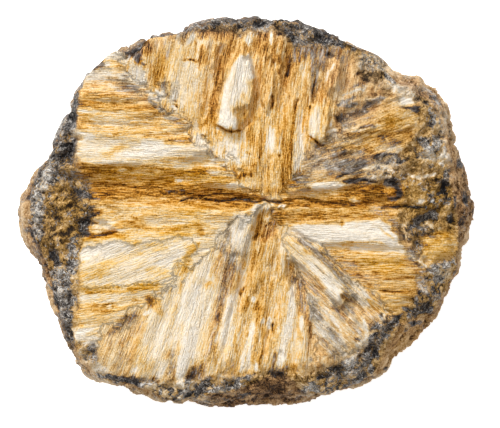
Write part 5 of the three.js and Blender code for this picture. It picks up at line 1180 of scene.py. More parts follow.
    ("black", 1.0, 1.4, (-20.9, 19.2), (-19.6, 20.6)), ("haze", 0.6, 1.2, (-21.4, 18), (-18.6, 18.2)),
    ("slate", 0.6, 0.8, (-18.2, 17.4), (-16.4, 17)), ("char", 0.7, 0.8, (-18.4, 21.5), (-16.6, 21.4)),
    ("haze", 1.0, 1.2, (-17.2, 20.8), (-16.4, 20.4)), ("black", 1.0, 1.0, (-15.6, 20.8), (-15, 20.4)),
    ("brown", 0.7, 0.9, (-14.2, 22), (-13.6, 21.2)), ("slate", 0.7, 0.9, (-16.2, 17.2), (-14.8, 16)),
    ("haze", 0.8, 1.0, (-15, 17.4), (-14, 17)), ("brown", 0.6, 0.8, (-12.2, 18.2), (-12.3, 16.4)),
    ("ochre", 0.7, 0.7, (-15.4, 14.4), (-13.8, 14.4)), ("straw", 0.7, 0.9, (-19, 14.7), (-17, 14.7)),
    ("pale", 0.5, 0.7, (-20.6, 11.9), (-16.6, 11.8)), ("ochre", 0.6, 0.9, (-22.4, 11.6), (-21, 11.3)),
    ("black", 0.8, 0.8, (-23.1, 15.6), (-23.1, 12)), ("slate", 0.7, 0.6, (-22.9, 16.6), (-23.1, 15)),
    ("taupe", 0.8, 0.9, (-10.8, 9.4), (-8.2, 9.2)), ("taupe", 0.6, 0.9, (-13, 12.4), (-11.8, 12.2)),
    ("mottle", 0.6, 1.0, (-9.8, 12), (-8.6, 11.2)), ("khaki", 0.7, 0.8, (-7.6, 11.4), (-7.2, 10.4)),
    ("pale", 0.7, 0.8, (-6.2, 9.4), (-5.4, 8.2)), ("pale", 0.6, 1.2, (-7.4, 18.6), (-7.6, 17)),
    ("ochre", 0.7, 0.8, (-4.4, 21.8), (-4.7, 18.4)), ("straw", 0.6, 0.8, (-5.2, 17.6), (-5.6, 13.6)),
    ("brown", 0.6, 0.9, (-3.6, 19.6), (-4.2, 16), (-4.9, 12.6)),
    ("brown", 0.6, 1.0, (-6, 23.2), (-2.2, 23.2)),
    ("char", 0.7, 0.9, (-8.9, 22.2), (-8.4, 23.6)), ("mottle", 0.8, 1.0, (-5, 5.2), (-2.4, 4.9)),
    ("ochre", 0.7, 0.9, (-8.2, 3.6), (-3.8, 3.6)), ("ochre", 0.6, 0.8, (-19.6, 4.5), (-17.6, 4.5)),
    ("ochre", 0.6, 0.8, (-15.6, 5), (-14, 4.9)), ("ochre", 0.6, 0.8, (-13.2, 4.3), (-11.4, 4.4)),
    ("gold", 0.6, 0.8, (-11, 6.8), (-5.6, 6.7)), ("gold", 0.6, 1.0, (-6, 10.4), (-5, 9)),
    ("straw", 0.6, 0.9, (-17, 8.4), (-14.8, 9)), ("gold", 0.6, 0.7, (-19, 7.4), (-18.2, 7.6)),
    ("gold", 0.5, 0.8, (-21, 13.4), (-15, 13.2)), ("gold", 0.6, 0.9, (-13, 10.4), (-11.8, 10.6)),
    ("orange", 0.5, 1.0, (-2.2, 13.4), (-1.2, 12.6)),
]

# Crisp streaks over the patches: paint, width, path.
STROKES = [
    ("white", 0.5, [(9, -14.6), (11, -17.6)]), ("white", 0.35, [(9.8, -14), (11.6, -16.2)]),
    ("white", 0.4, [(10.6, -13.6), (12.2, -15.8)]),
    ("black", 0.3, [(10.6, -16.6), (11.8, -18.8)]), ("white", 0.7, [(-12.2, 16.2), (-11.8, 15.2)]),
    ("white", 0.6, [(-10.2, 14.2), (-9.8, 13)]), ("white", 0.7, [(-7.2, 10.6), (-6.8, 9.2)]),
    ("haze", 0.7, [(-13.4, 15.8), (-12.8, 14.6)]), ("black", 0.45, [(-13.2, 14.4), (-12.2, 13.4)]),
    ("black", 0.4, [(-11.6, 13.2), (-10.6, 12.6)]), ("black", 0.4, [(-9.6, 12.4), (-8.8, 11.4)]),
    ("char", 0.5, [(-12.6, 12.8), (-11.2, 13.6)]), ("black", 0.4, [(-5.6, 8.2), (-4.6, 7.2)]),
    ("black", 0.4, [(-17.4, 17.4), (-15.6, 16.8)]), ("black", 0.35, [(-16.6, 18), (-15.2, 17.4)]),
    ("white", 0.6, [(-18.8, 18.2), (-17.2, 18.3)]), ("white", 0.7, [(-19.4, 20.8), (-18, 20.9)]),
    ("slate", 0.8, [(7.4, 6.6), (9.2, 7.4)]), ("haze", 0.35, [(10.6, 5), (13, 6.1)]),
    ("black", 0.45, [(11.4, 4.4), (14, 5.6), (16.4, 6.3)]),
    ("white", 0.35, [(13, 4.6), (15.8, 6), (18, 6.6)]),
    ("white", 0.3, [(16.4, 6.1), (18.6, 7.4), (20.2, 8.1)]),
    ("black", 0.4, [(13.4, 6.7), (16.6, 7.4), (19.6, 7.6)]),
    ("taupe", 0.9, [(11, 6.8), (11.4, 8.2), (11.8, 9.6)]), ("slate", 0.6, [(10.2, 5.6), (12, 6)]),
    ("gold", 0.6, [(12, 8.6), (14.6, 9.8), (16.6, 9.8)]),
    ("haze", 0.35, [(10.4, 9.5), (13.4, 10.5), (17.6, 11.5)]),
    ("char", 0.4, [(10.4, 10.1), (13.4, 10.9), (16.8, 11.4)]),
    ("black", 0.9, [(11.8, 12.2), (13.4, 12.6), (15.2, 13.2)]),
    ("slate", 0.4, [(12.4, 13.8), (14.6, 14.1)]),
    ("slate", 0.7, [(15, 13.4), (16.4, 14.5), (18.4, 15.5)]), ("slate", 0.5, [(11.4, 13.9), (14, 15)]),
    ("char", 0.4, [(13.2, 16.2), (16.2, 17.3)]), ("haze", 0.4, [(12.4, 15.3), (15.4, 16.3)]),
    ("gold", 0.5, [(13, 11.6), (16, 12.9)]), ("black", 0.3, [(14.6, 12.1), (17.6, 12.9)]),
    ("white", 0.3, [(12.6, 12), (15, 13.1)]), ("black", 0.3, [(17, 9.9), (20.4, 10.7)]),
    ("black", 0.4, [(20.7, -15.7), (21.1, -16.0)]),
    ("black", 0.4, [(23.6, -15.8), (24.1, -16.0)]),
    ("black", 0.5, [(17.9, -21.0), (18.5, -20.9)]),
    ("umber", 0.3, [(18.0, -19.8), (19.2, -18.0), (20.8, -16.6)]),
    ("umber", 0.3, [(18.9, -20.0), (20.4, -18.0), (22.2, -16.8)]),

    ("black", 0.4, [(25.7, -12.5), (26.3, -12.8)]),
    ("black", 0.4, [(-1.6, -25.4), (-0.8, -24.7), (0.2, -24.0)]),
    ("black", 0.4, [(-8.8, -24.8), (-7.6, -24.0), (-6.4, -23.0)]),
    ("brown", 0.5, [(-6.0, -24.2), (-3.4, -24.6), (-1.0, -24.9)]),
    ("black", 0.5, [(-29.2, -2.8), (-28.9, -3.6), (-28.6, -4.6)]),
    ("umber", 0.4, [(-30.2, 2.4), (-29.2, 4.6), (-27.4, 7.4), (-25.6, 9.8), (-24.6, 13.0)]),

    ("straw", 0.25, [(-26.8, 1.6), (-25.4, 2.2), (-23.8, 2.6)]),
    ("straw", 0.25, [(-26.6, 0.6), (-24.8, 1.4), (-22.8, 1.4)]),
    ("straw", 0.25, [(-25.8, -0.6), (-24.2, 0.2), (-22.6, 0.4)]),
    ("straw", 0.25, [(-25.4, -2.4), (-24.0, -1.6), (-23.0, -1.8)]),
    ("umber", 0.3, [(-26.2, -1.4), (-24.8, -0.8), (-23.4, -1.0)]),
    ("grey", 0.5, [(-28.8, -1.8), (-28.2, -2.4), (-27.6, -2.8)]),
    ("brown", 0.4, [(-28.6, -4.4), (-27.6, -6.8), (-26.2, -9.8)]),
    ("straw", 0.5, [(4.3, 25.3), (6.5, 25.0)]),
    ("umber", 0.35, [(27.3, 4.0), (28.2, 2.4), (28.4, 0.4)]),
    ("brown", 0.3, [(26.4, 9.8), (27.3, 7.0), (27.8, 4.8)]),
    ("brown", 0.3, [(-22.4, 15.2), (-19, 15.3), (-16.4, 15.0)]),
    ("brown", 0.3, [(-22.4, 14.2), (-19, 14.1), (-16, 14.4)]),
    ("orange", 0.5, [(-22, 13.6), (-18, 13.45), (-14, 13.6), (-11, 13.2)]),
    ("pale", 0.5, [(-22.6, 13.3), (-20, 13.2), (-18, 13.1)]),
    ("brown", 0.25, [(-18.4, 10.05), (-17.3, 10.15)]),
    ("ochre", 0.35, [(-14.6, 9.8), (-12, 9.9), (-10.4, 10.3)]),
    ("white", 0.6, [(-17.6, 5.4), (-16.6, 5.5)]),
    ("white", 0.5, [(-10.2, 4.1), (-9.2, 4.2)]),
    ("white", 0.35, [(-16.8, 4.9), (-14.6, 5.0)]),
    ("black", 0.4, [(-20.6, 19.0), (-19.4, 18.9), (-18.6, 19.1)]),
    ("black", 0.3, [(-20.8, 18.4), (-19.6, 18.4), (-19.2, 18.7)]),
    ("black", 0.35, [(-18.3, 17.5), (-17.3, 17.6)]),
    ("brown", 0.3, [(-14.8, 20.0), (-14.4, 20.2), (-13.9, 20.2)]),
    ("black", 0.4, [(-14.0, 19.7), (-13.6, 19.6)]),
    ("brown", 0.35, [(-17.2, 19.4), (-16.9, 19.3)]),
    ("umber", 0.3, [(-14.1, 22.3), (-13.5, 22.1), (-13.2, 21.6)]),
    ("black", 0.5, [(-16.2, 16.6), (-15.4, 16.8), (-14.9, 16.0)]),
    ("black", 0.35, [(-13.9, 16.7), (-13.6, 16.5)]),
    ("black", 0.4, [(-16.0, 14.6), (-14.6, 14.5), (-14.2, 14.2)]),
    ("ochre", 0.8, [(-11.6, 22.6), (-11.7, 20.2), (-11.9, 18.6), (-12.2, 17.0)]),
    ("slate", 0.6, [(-11.4, 17.0), (-11.2, 16.0), (-10.8, 14.8)]),
    ("slate", 0.7, [(-12.9, 14.5), (-12.4, 13.9)]),
    ("slate", 0.9, [(-12, 13.5), (-10.6, 13.0), (-9.9, 13.2)]),
    ("black", 0.35, [(-10.1, 14.6), (-9.5, 14.0)]),
    ("char", 0.7, [(-9.8, 12.0), (-8.6, 11.7), (-7.6, 11.2)]),
    ("umber", 0.3, [(-8.6, 19.9), (-7.6, 19.8), (-6.6, 19.8)]),
    ("orange", 0.5, [(-6.3, 21.8), (-6.4, 20.2), (-6.6, 18.8)]),
    ("khaki", 0.5, [(-6.2, 18.0), (-6.4, 15.6), (-6.6, 13.4)]),
    ("orange", 1.3, [(-3.1, 21.4), (-3.8, 18.4), (-4.5, 15.4), (-4.9, 12.2)]),
    ("brown", 0.6, [(-3.5, 20.4), (-4.1, 18.0), (-4.8, 15.0), (-5.0, 12.8)]),
    ("umber", 0.25, [(-3.4, 20.6), (-3.7, 18.6)]),
    ("umber", 0.3, [(-5.0, 14.6), (-5.1, 12.6)]),
    ("orange", 0.7, [(-2.4, 22.8), (-2.9, 21.0), (-3.4, 19.2)]),
    ("orange", 0.4, [(-1.0, 22.0), (-1.6, 20.4), (-2.4, 19.0)]),
    ("white", 0.45, [(2.85, 24.4), (2.85, 23.4), (2.75, 22.0)]),
    ("brown", 0.3, [(5.2, 23.6), (5.3, 21.6), (4.6, 19.6), (4.0, 18.4)]),
    ("umber", 0.4, [(4.7, 20.2), (4.2, 19.0), (3.8, 18.3)]),
    ("umber", 0.45, [(5.6, 20.6), (5.4, 19.0), (5.0, 17.8)]),
    ("char", 0.7, [(6.2, 22.6), (5.9, 20.8), (5.5, 19.4)]),
    ("brown", 0.4, [(3.4, 17.4), (3.3, 15.4), (2.9, 13.6)]),
    ("umber", 0.3, [(3.1, 15.4), (2.9, 13.9)]),
    ("umber", 0.3, [(1.7, 14.4), (2.0, 13.8)]),
    ("umber", 0.3, [(6.5, 14.9), (6.2, 14.2), (5.8, 13.4)]),

    ("cream", 0.4, [(7.3, 19.6), (7.1, 17.6), (6.9, 15.6)]),
    ("straw", 0.5, [(3.6, 21.6), (3.5, 19.6), (3.3, 18.2)]),
    ("brown", 0.25, [(0.6, 17.5), (0.6, 16.4)]),
    ("slate", 0.55, [(8.9, 21.0), (8.8, 18.6), (8.7, 16.6), (8.8, 14.8)]),
    ("char", 0.3, [(8.6, 17.0), (8.55, 16.0), (8.45, 15.0)]),
    ("brown", 0.45, [(7.7, 13.9), (8.1, 13.9)]),
    ("white", 0.35, [(9.4, 18.6), (9.0, 17.6)]),
    ("white", 0.35, [(11.2, 19.4), (10.8, 18.6)]),
    ("pale", 0.3, [(10.5, 18.8), (10.0, 17.2)]),
    ("black", 0.4, [(10.1, 20.6), (10.6, 20.9), (11.2, 20.5)]),
    ("umber", 0.35, [(9.3, 16.4), (9.7, 15.6)]),
    ("black", 0.4, [(14.3, 18.2), (14.9, 18.5)]),
    ("brown", 0.4, [(15.0, 17.0), (16.2, 17.5), (17.2, 17.8)]),
    ("slate", 0.6, [(17.6, 18.6), (18.4, 17.6), (19.4, 17.0)]),
    ("white", 0.35, [(18.0, 17.2), (18.8, 16.6)]),
    ("black", 0.3, [(19.9, 13.7), (21.2, 13.6), (22.6, 13.9)]),
    ("black", 0.6, [(21.4, 13.4), (22.4, 13.2)]),
    ("slate", 0.5, [(23.6, 13.6), (24.2, 12.6), (24.6, 11.6)]),
    ("white", 0.3, [(10.7, 11.4), (11.0, 11.8)]),
    ("white", 0.4, [(10.3, 10.6), (11.6, 10.6)]),
    ("black", 0.3, [(10.6, 10.1), (12.0, 10.3)]),
    ("umber", 0.3, [(12.6, 10.2), (14.6, 10.4)]),
    ("brown", 0.3, [(15.6, 10.3), (17.0, 10.6), (19.0, 10.2), (22.2, 10.8)]),
    ("cream", 0.4, [(12.6, 10.8), (14.4, 11.1)]),
    ("white", 0.5, [(18.2, 9.6), (18.5, 9.2)]),
    ("black", 0.3, [(17.9, 9.3), (17.6, 9.8)]),
    ("brown", 0.3, [(13.2, 9.4), (14.6, 9.8)]),
    ("straw", 0.4, [(22.2, 10.4), (23.4, 10.9), (24.4, 10.6)]),
    ("white", 0.35, [(16, 4.9), (17.4, 4.5), (18.6, 4.6)]),
    ("white", 0.5, [(21.0, 4.9), (22.6, 4.5), (24.8, 5.0)]),
    ("slate", 0.4, [(15, 5.3), (16, 4.7), (14.6, 4.3)]),
    ("black", 0.3, [(12.4, 4.0), (15.2, 4.3), (17.2, 3.8)]),
    ("brown", 0.3, [(8.6, 2.6), (11.6, 2.5), (14.6, 2.1)]),
    ("brown", 0.25, [(6.0, 1.9), (9.0, 1.6), (12.6, 1.4)]),
    ("brown", 1.0, [(12.6, 2.3), (14.6, 2.1), (17.4, 2.1)]),
    ("straw", 0.5, [(5.6, 2.4), (8.4, 2.9), (11.4, 2.7)]),
    ("straw", 0.8, [(12.3, 2.5), (13.6, 1.7), (14.6, 1.1)]),
    ("brown", 0.5, [(4.6, 0.9), (8.6, 0.8), (13.0, 0.9)]),
    ("straw", 0.25, [(4.8, 0.4), (8.6, 0.4), (12.4, 0.3)]),
    ("ochre", 0.4, [(4.6, 0.1), (8.6, 0.1), (12.0, 0.0)]),
    ("umber", 0.3, [(10, 1.15), (13.6, 0.9), (16.6, 1.3)]),
    ("black", 0.3, [(19.0, 0.5), (20.6, 0.7), (23.2, 0.6)]),
    ("white", 0.35, [(22.2, 1.1), (23.2, 1.4)]),
    ("slate", 0.5, [(23.8, 2.0), (24.5, 2.3)]),
    ("white", 0.5, [(24.2, 2.7), (24.7, 2.5)]),
    ("black", 0.45, [(23.5, 2.2), (24.4, 1.8)]),
    ("black", 0.4, [(27.3, 0.5), (27.4, 2.0)]),
    ("white", 0.25, [(27.6, 1.5), (28.1, 1.3)]),
    ("ochre", 0.35, [(10.6, -4.3), (13.6, -4.1), (17.4, -4.2)]),
    ("brown", 0.5, [(12.1, -1.3), (12.2, -1.8)]),
    ("straw", 0.3, [(17.2, -2.0), (18.2, -3.0), (19.2, -3.8)]),
    ("white", 0.35, [(20.9, -5.4), (22.0, -6.3), (23.4, -7.3)]),
    ("brown", 0.3, [(12.0, -6.7), (14.2, -6.8)]),
    ("umber", 0.3, [(13.0, -7.3), (15.0, -7.3)]),
    ("brown", 0.25, [(15.2, -6.7), (17.0, -6.8)]),
    ("brown", 0.35, [(14.2, -8.2), (14.9, -8.6)]),
    ("brown", 0.4, [(16.4, -8.1), (17.2, -8.2)]),
    ("brown", 0.3, [(15.6, -9.6), (16.2, -9.9)]),
    ("brown", 0.4, [(18, -8.9), (22.0, -8.7)]),
    ("umber", 0.3, [(17.2, -10.4), (19.0, -10.6), (21.4, -10.6)]),
    ("straw", 0.5, [(17.6, -9.3), (21.0, -9.4)]),
    ("slate", 0.6, [(16.2, -10.8), (17.4, -12.1), (18.0, -12.2)]),
    ("slate", 0.8, [(17.3, -13.4), (17.5, -14.1)]),
    ("white", 0.3, [(17.8, -13.5), (17.8, -14.2)]),
    ("slate", 0.6, [(20.2, -12.7), (20.8, -13.0)]),
    ("black", 0.5, [(13.6, -12.8), (13.9, -13.5)]),
    ("black", 0.5, [(14.0, -16.8), (14.5, -17.1)]),
    ("white", 0.5, [(15.1, -14.3), (15.3, -15.3)]),
    ("white", 0.7, [(15.3, -16.9), (15.4, -17.7)]),
    ("slate", 0.4, [(10.3, -7.0), (11.6, -8.4), (13.4, -10.0)]),
    ("black", 0.5, [(6.4, -3.7), (7.2, -4.2), (8.0, -4.1)]),
    ("black", 0.5, [(8.4, -4.9), (9.4, -5.4), (10.4, -6.0)]),
    ("slate", 0.3, [(8.4, -6.8), (10.4, -8.7), (12.6, -10.6)]),
    ("white", 0.5, [(9.4, -8.4), (11.4, -10.4), (12.0, -11.4)]),
    ("black", 0.35, [(10.3, -11.0), (11.2, -12.2), (11.8, -13.2)]),
    ("black", 0.5, [(0.35, -1.9), (0.15, -2.5)]),
    ("black", 0.5, [(-0.35, -5.1), (-0.55, -6.0)]),

    ("umber", 0.35, [(1.3, -0.2), (1.0, -1.4), (1.5, -1.2)]),
    ("umber", 0.3, [(1.9, -2.0), (2.8, -1.5), (3.2, -2.4)]),
    ("umber", 0.3, [(0.2, -3.7), (1.0, -3.1), (1.8, -3.2)]),
    ("brown", 0.3, [(2.4, -3.0), (1.8, -4.2), (1.2, -5.6)]),
    ("cream", 0.35, [(1.6, -0.8), (2.6, -0.8), (2.2, -1.6)]),
    ("black", 0.45, [(3.8, 1.2), (4.4, 1.0), (4.0, 0.6)]),
    ("black", 0.35, [(2.8, -0.2), (3.4, 0.5)]),
    ("white", 0.3, [(4.0, 0.9), (3.9, 0.5)]),
    ("white", 0.45, [(4.3, 0.9), (4.6, 0.5)]),
    ("brown", 0.3, [(4.8, -0.5), (8.0, -0.5), (12.0, -0.4)]),
    ("orange", 0.5, [(4.6, -1.1), (9.0, -0.9), (16.0, -0.5)]),
    ("brown", 0.45, [(1.1, -12.4), (1.0, -13.2)]),
    ("brown", 0.4, [(-0.3, -11.2), (-0.5, -12.8)]),
    ("brown", 0.3, [(0.2, -12.8), (1.9, -12.9)]),
    ("white", 0.6, [(0.5, -11.3), (0.5, -12.1)]),
    ("orange", 0.4, [(2.3, -12.6), (2.2, -14.6)]),

    ("umber", 0.35, [(-0.7, -9.9), (-1.3, -11.0)]),
    ("brown", 0.6, [(-0.6, -6.2), (-0.9, -7.6)]),
    ("pale", 0.8, [(-1.6, -10.4), (-2.4, -13.4), (-3.2, -17.2)]),

    ("char", 0.35, [(-4.6, -15.6), (-5.0, -18.0), (-5.3, -19.4)]),
    ("white", 0.7, [(-0.4, -16.6), (-0.9, -18.6), (-1.2, -21.0)]),
    ("white", 0.6, [(0.7, -13.4), (0.4, -15.2), (0.1, -17.0)]),
    ("white", 0.9, [(5.7, -9.8), (5.5, -13.0), (5.0, -17.2)]),
    ("white", 0.6, [(4.6, -15.4), (4.5, -18.0)]),
    ("white", 0.55, [(1.8, -14.2), (1.7, -14.9)]),
    ("white", 0.75, [(2.6, -14.1), (2.6, -15.6)]),
    ("white", 0.6, [(4.2, -18.0), (3.9, -20.6)]),
    ("white", 0.6, [(6.9, -14.0), (6.8, -15.8)]),
    ("white", 0.6, [(1.0, -20.2), (0.8, -21.0)]),
    ("black", 0.3, [(3.05, -14.9), (3.05, -15.6)]),
    ("brown", 0.3, [(1.8, -15.6), (1.7, -18.2), (1.3, -20.6)]),
    ("brown", 0.5, [(8.0, -14.4), (8.0, -16.6)]),
    ("brown", 0.3, [(7.9, -17.0), (7.5, -20.0)]),
    ("char", 0.6, [(3.4, -18.6), (3.1, -20.6)]),
    ("ochre", 0.5, [(-1.0, -12.6), (-1.6, -15.8), (-2.2, -18.2)]),
    ("ochre", 0.4, [(0.9, -17.0), (0.7, -20.0)]),
    ("brown", 0.3, [(6.2, -16.8), (7.4, -16.8)]),
    ("slate", 0.4, [(5.3, -6.0), (4.9, -5.4)]),
    ("ochre", 0.4, [(-14.8, -2.0), (-12.5, -2.5), (-10.0, -2.8), (-7.2, -1.7)]),
    ("orange", 0.35, [(-14.9, -1.9), (-13.4, -2.3)]),
    ("ochre", 0.4, [(-10.4, -2.4), (-8.4, -2.1), (-6.8, -1.8)]),
    ("brown", 0.4, [(-6.7, -2.1), (-6.4, -2.7), (-6.2, -3.4)]),
    ("brown", 0.3, [(-15.6, -0.6), (-14.4, -1.2), (-13.4, -1.1)]),
    ("orange", 0.4, [(-16.6, -1.4), (-15.0, -1.4)]),

    ("orange", 0.4, [(-22, -3.8), (-19.6, -3.6), (-18.0, -3.4)]),
    ("umber", 0.4, [(-22.3, -3.05), (-20.2, -3.3), (-17.6, -2.7)]),
    ("ochre", 0.4, [(-16.4, -5.9), (-14.0, -5.5), (-11.8, -4.7)]),
    ("straw", 0.5, [(-20.2, -6.9), (-18.4, -6.5), (-16.0, -6.1)]),
    ("ochre", 0.6, [(-19.9, -9.0), (-19.6, -8.0), (-19.0, -7.4)]),
    ("straw", 0.4, [(-22.8, -8.6), (-21.4, -7.8), (-19.8, -7.4)]),
    ("straw", 0.5, [(-22.6, -10.3), (-17.0, -10.2), (-12.0, -9.6)]),
    ("orange", 0.7, [(-19.8, -10.5), (-18.8, -10.1), (-18.4, -9.7)]),
    ("brown", 0.3, [(-21.4, -10.7), (-20.2, -10.6)]),
    ("orange", 0.5, [(-15.0, -10.2), (-13.6, -10.0)]),
    ("black", 0.5, [(-15.9, -10.2), (-15.5, -10.3)]),
    ("white", 0.3, [(-15.9, -10.6), (-15.5, -10.6)]),
    ("umber", 0.25, [(-17.5, -10.1), (-17.1, -10.15)]),
    ("brown", 0.4, [(-15.2, -11.6), (-14.8, -11.6)]),
    ("ochre", 0.4, [(-22.8, -12.4), (-19.6, -12.4), (-17.8, -12.4)]),
    ("brown", 0.3, [(-19.3, -12.35), (-18.0, -12.4)]),
    ("white", 0.3, [(-18.7, -12.5), (-18.4, -12.5)]),
    ("ochre", 0.4, [(-22.6, -13.2), (-20.4, -13.1), (-17.6, -13.2)]),
    ("orange", 0.4, [(-23.2, -15.1), (-21.7, -14.85)]),
    ("straw", 0.4, [(-22.0, -14.9), (-18.4, -14.4)]),
    ("black", 0.4, [(-16.4, -13.7), (-15.2, -13.8)]),
    ("char", 0.8, [(-18.0, -15.4), (-16.4, -14.4), (-15.0, -13.4)]),
    ("char", 0.5, [(-13.8, -11.6), (-12.8, -11.6), (-12.4, -11.3)]),
    ("char", 0.5, [(-12.0, -11.0), (-10.8, -10.4), (-10.0, -10.2)]),
    ("haze", 0.8, [(-11.6, -10.6), (-10.4, -10.0), (-9.4, -10.2)]),
    ("white", 0.6, [(-13.9, -13.4), (-13.2, -13.3), (-12.8, -12.9)]),
    ("ochre", 0.5, [(-9.1, -8.2), (-9.0, -9.4), (-9.2, -10.6)]),
    ("orange", 0.6, [(-9.2, -8.4), (-8.6, -7.4), (-8.2, -6.8)]),
    ("ochre", 0.5, [(-8.4, -6.0), (-7.4, -5.0), (-6.6, -4.2)]),
    ("ochre", 0.5, [(-5.9, -9.6), (-5.2, -9.4), (-4.8, -9.6)]),
    ("slate", 0.5, [(-4.2, -5.0), (-3.6, -5.0)]),
    ("haze", 0.4, [(-6.4, -6.6), (-7.4, -7.6), (-8.2, -8.2)]),
    ("ochre", 0.5, [(-15.9, -16.6), (-15.4, -16.6)]),
    ("ochre", 0.4, [(-17.0, -17.2), (-16.6, -17.6)]),
    ("ochre", 0.4, [(-15.7, -19.8), (-15.4, -19.8)]),
    ("white", 0.6, [(-15.6, -21.2), (-14.8, -20.9)]),
    ("white", 0.6, [(-11.6, -20.8), (-12.0, -22.0)]),
    ("char", 0.35, [(-9.9, -18.2), (-10.4, -19.4), (-10.8, -21.4)]),
    ("khaki", 0.8, [(-10.2, -19.2), (-10.6, -22.0)]),
    ("orange", 0.35, [(-9.4, -18.9), (-8.4, -18.7), (-7.9, -18.5)]),
    ("white", 0.9, [(-8.7, -19.0), (-8.9, -21.0), (-9.2, -23.4)]),
    ("black", 0.4, [(-8.5, -22.8), (-7.9, -21.8), (-7.1, -21.0)]),
    ("straw", 0.5, [(-12.6, -14.6), (-12.0, -18.0)]),
    ("straw", 0.4, [(-9.6, -12.0), (-10.4, -15.6)]),
    ("black", 0.35, [(-5.4, 7.9), (-4.9, 7.8)]),
    ("slate", 0.35, [(-5.0, 7.05), (-4.0, 7.0)]),
    ("black", 0.35, [(-3.5, 5.9), (-2.9, 6.1)]),
    ("brown", 0.3, [(-11, 7.0), (-8.4, 7.0)]),
    ("brown", 0.35, [(-6.0, 10.0), (-5.6, 10.1)]),
    ("brown", 0.3, [(-6.5, 11.0), (-6.0, 11.6), (-5.7, 12.2)]),
    ("brown", 0.35, [(-0.3, 7.9), (0.0, 7.7)]),
    ("brown", 0.3, [(1.5, 8.4), (1.5, 7.4), (1.2, 6.8)]),
    ("umber", 0.3, [(2.6, 7.0), (3.2, 7.4), (4.0, 7.5)]),
    ("brown", 0.6, [(0.2, 12.0), (0.3, 10.0), (0.5, 8.6)]),
    ("umber", 0.3, [(-2.3, 5.2), (-1.4, 5.8), (0.8, 6.1)]),
    ("umber", 0.3, [(-2.4, 4.6), (-1.4, 4.8), (0.6, 4.7)]),
    ("brown", 0.3, [(-11, 5.2), (-8.6, 4.9)]),
    ("black", 0.3, [(-9.0, 2.8), (-8.4, 2.8)]),
    ("black", 0.3, [(-11, 2.55), (-9.6, 2.6)]),

    ("black", 0.4, [(6.0, 4.2), (6.3, 3.8)]),
    ("char", 0.4, [(7.2, 6.2), (7.8, 6.9), (8.2, 7.4)]),
    ("brown", 0.35, [(7.6, 9.9), (8.6, 9.4), (9.2, 8.8), (9.9, 8.6)]),
    ("brown", 0.5, [(9.6, 8.8), (10.4, 8.2), (10.4, 7.2)]),
    ("umber", 0.3, [(8.3, 3.7), (9.6, 4.0)]),
]
for row in STROKES:
    stroke(*row)
for row in TOUCHES:
    touch(*row)

# ------------------------------------------------------------------- carving
# Heights in millimetres that are added to the smoothed blank.


def bundles(along, across, width, length, seed):
    """Splinters side by side, each broken off at its own length and height."""
    lane = across / width + 0.5 * noise(along / (0.6 * length), across / (3 * width), seed + 2.0)
    row = np.floor(lane).astype(int)
    aside = lane - row

    def height(lane_row):
        shift = NOISE_TABLE[lane_row % NOISE_SIZE, 3, int(seed) % NOISE_SIZE]
        place = along / length + 9.0 * shift + 0.25 * noise(across / 0.3, along / 2.0, seed)
        column = np.floor(place).astype(int)
        here = NOISE_TABLE[lane_row % NOISE_SIZE, column % NOISE_SIZE, int(seed) % NOISE_SIZE]
        after = NOISE_TABLE[lane_row % NOISE_SIZE, (column + 1) % NOISE_SIZE, int(seed) % NOISE_SIZE]
        return mix(here, after, smooth(place - column, 0.0, 1.0) * 0.3) - 0.5

    return mix(height(row), height(row + 1), smooth(aside, 0.72, 1.0))


seam_open = smooth(seam_distance(X, Y), 0.0, SEAM_WIDTH)
coarse = 0.8 * (1.0 - 0.35 * calm) * ridges(X, Y) * seam_open
coarse -= 0.5 * SEAM_DEPTH * (1.0 - 0.8 * calm) * (1.0 - seam_open)

# The edges of the plates wobble.
wobble = 0.8 * (noise(ACROSS / 0.6, ALONG / 4.0, SEED + 12.5) - 0.5)
wobble += 0.4 * (noise(X / 0.9, Y / 0.9, 71.0) - 0.5)
for k, (rise, _, edge, outline) in enumerate(PLATES):
    shelf = SHELF if k in SHELVES else 0.0
    if k == SLAB:
        shelf = -SLAB_CUT * (1.0 - smooth(Y, -3.4, -2.2))
        rise = SLAB_SHARE * rise
    depth = depth_inside(X + 0.5 * pull * -cross_y, Y + shelf + 0.5 * pull * cross_x, outline)
    coarse += rise * smooth((depth + 0.6 * wobble) / edge, -0.5, 0.5)

# Hollow where a chip is gone from the lower right of the big splinter.
CHIP_DEPTH = 0.7
CHIP = [(-2.0, 13.3), (-0.4, 13.9), (0.5, 14.0), (0.4, 12), (-0.9, 10.9), (-1.8, 10.6), (-1.5, 12.2)]
coarse -= CHIP_DEPTH * smooth((depth_inside(X, Y, CHIP) + 0.4 * wobble) / 0.35, -0.5, 0.5)

wide_bundles = bundles(ALONG, ACROSS, 2.1, 12.0, 5)
bundle = bundles(ALONG, ACROSS, 1.0, 6.5, 11)
thin_bundles = bundles(ALONG, ACROSS, 0.5, 3.2, 23)
fibre_relief = (
    0.34 * wide_bundles
    + 0.42 * bundle
    + 0.3 * thin_bundles
    + 0.22 * (noise(ACROSS / 0.36, ALONG / 2.6, SEED) - 0.5)
    + 0.16 * (noise(ACROSS / 0.2, ALONG / 0.9, SEED + 6) - 0.5)
    + 0.08 * (noise(X / 0.3, Y / 0.3, 15.0) - 0.5)
) * (1.0 - 0.72 * calm)
# The splinters run out at the edge of the rising bed.
fibre_relief *= mix(0.2, 1.0, smooth(np.abs(rising_depth), 0.0, 1.2))

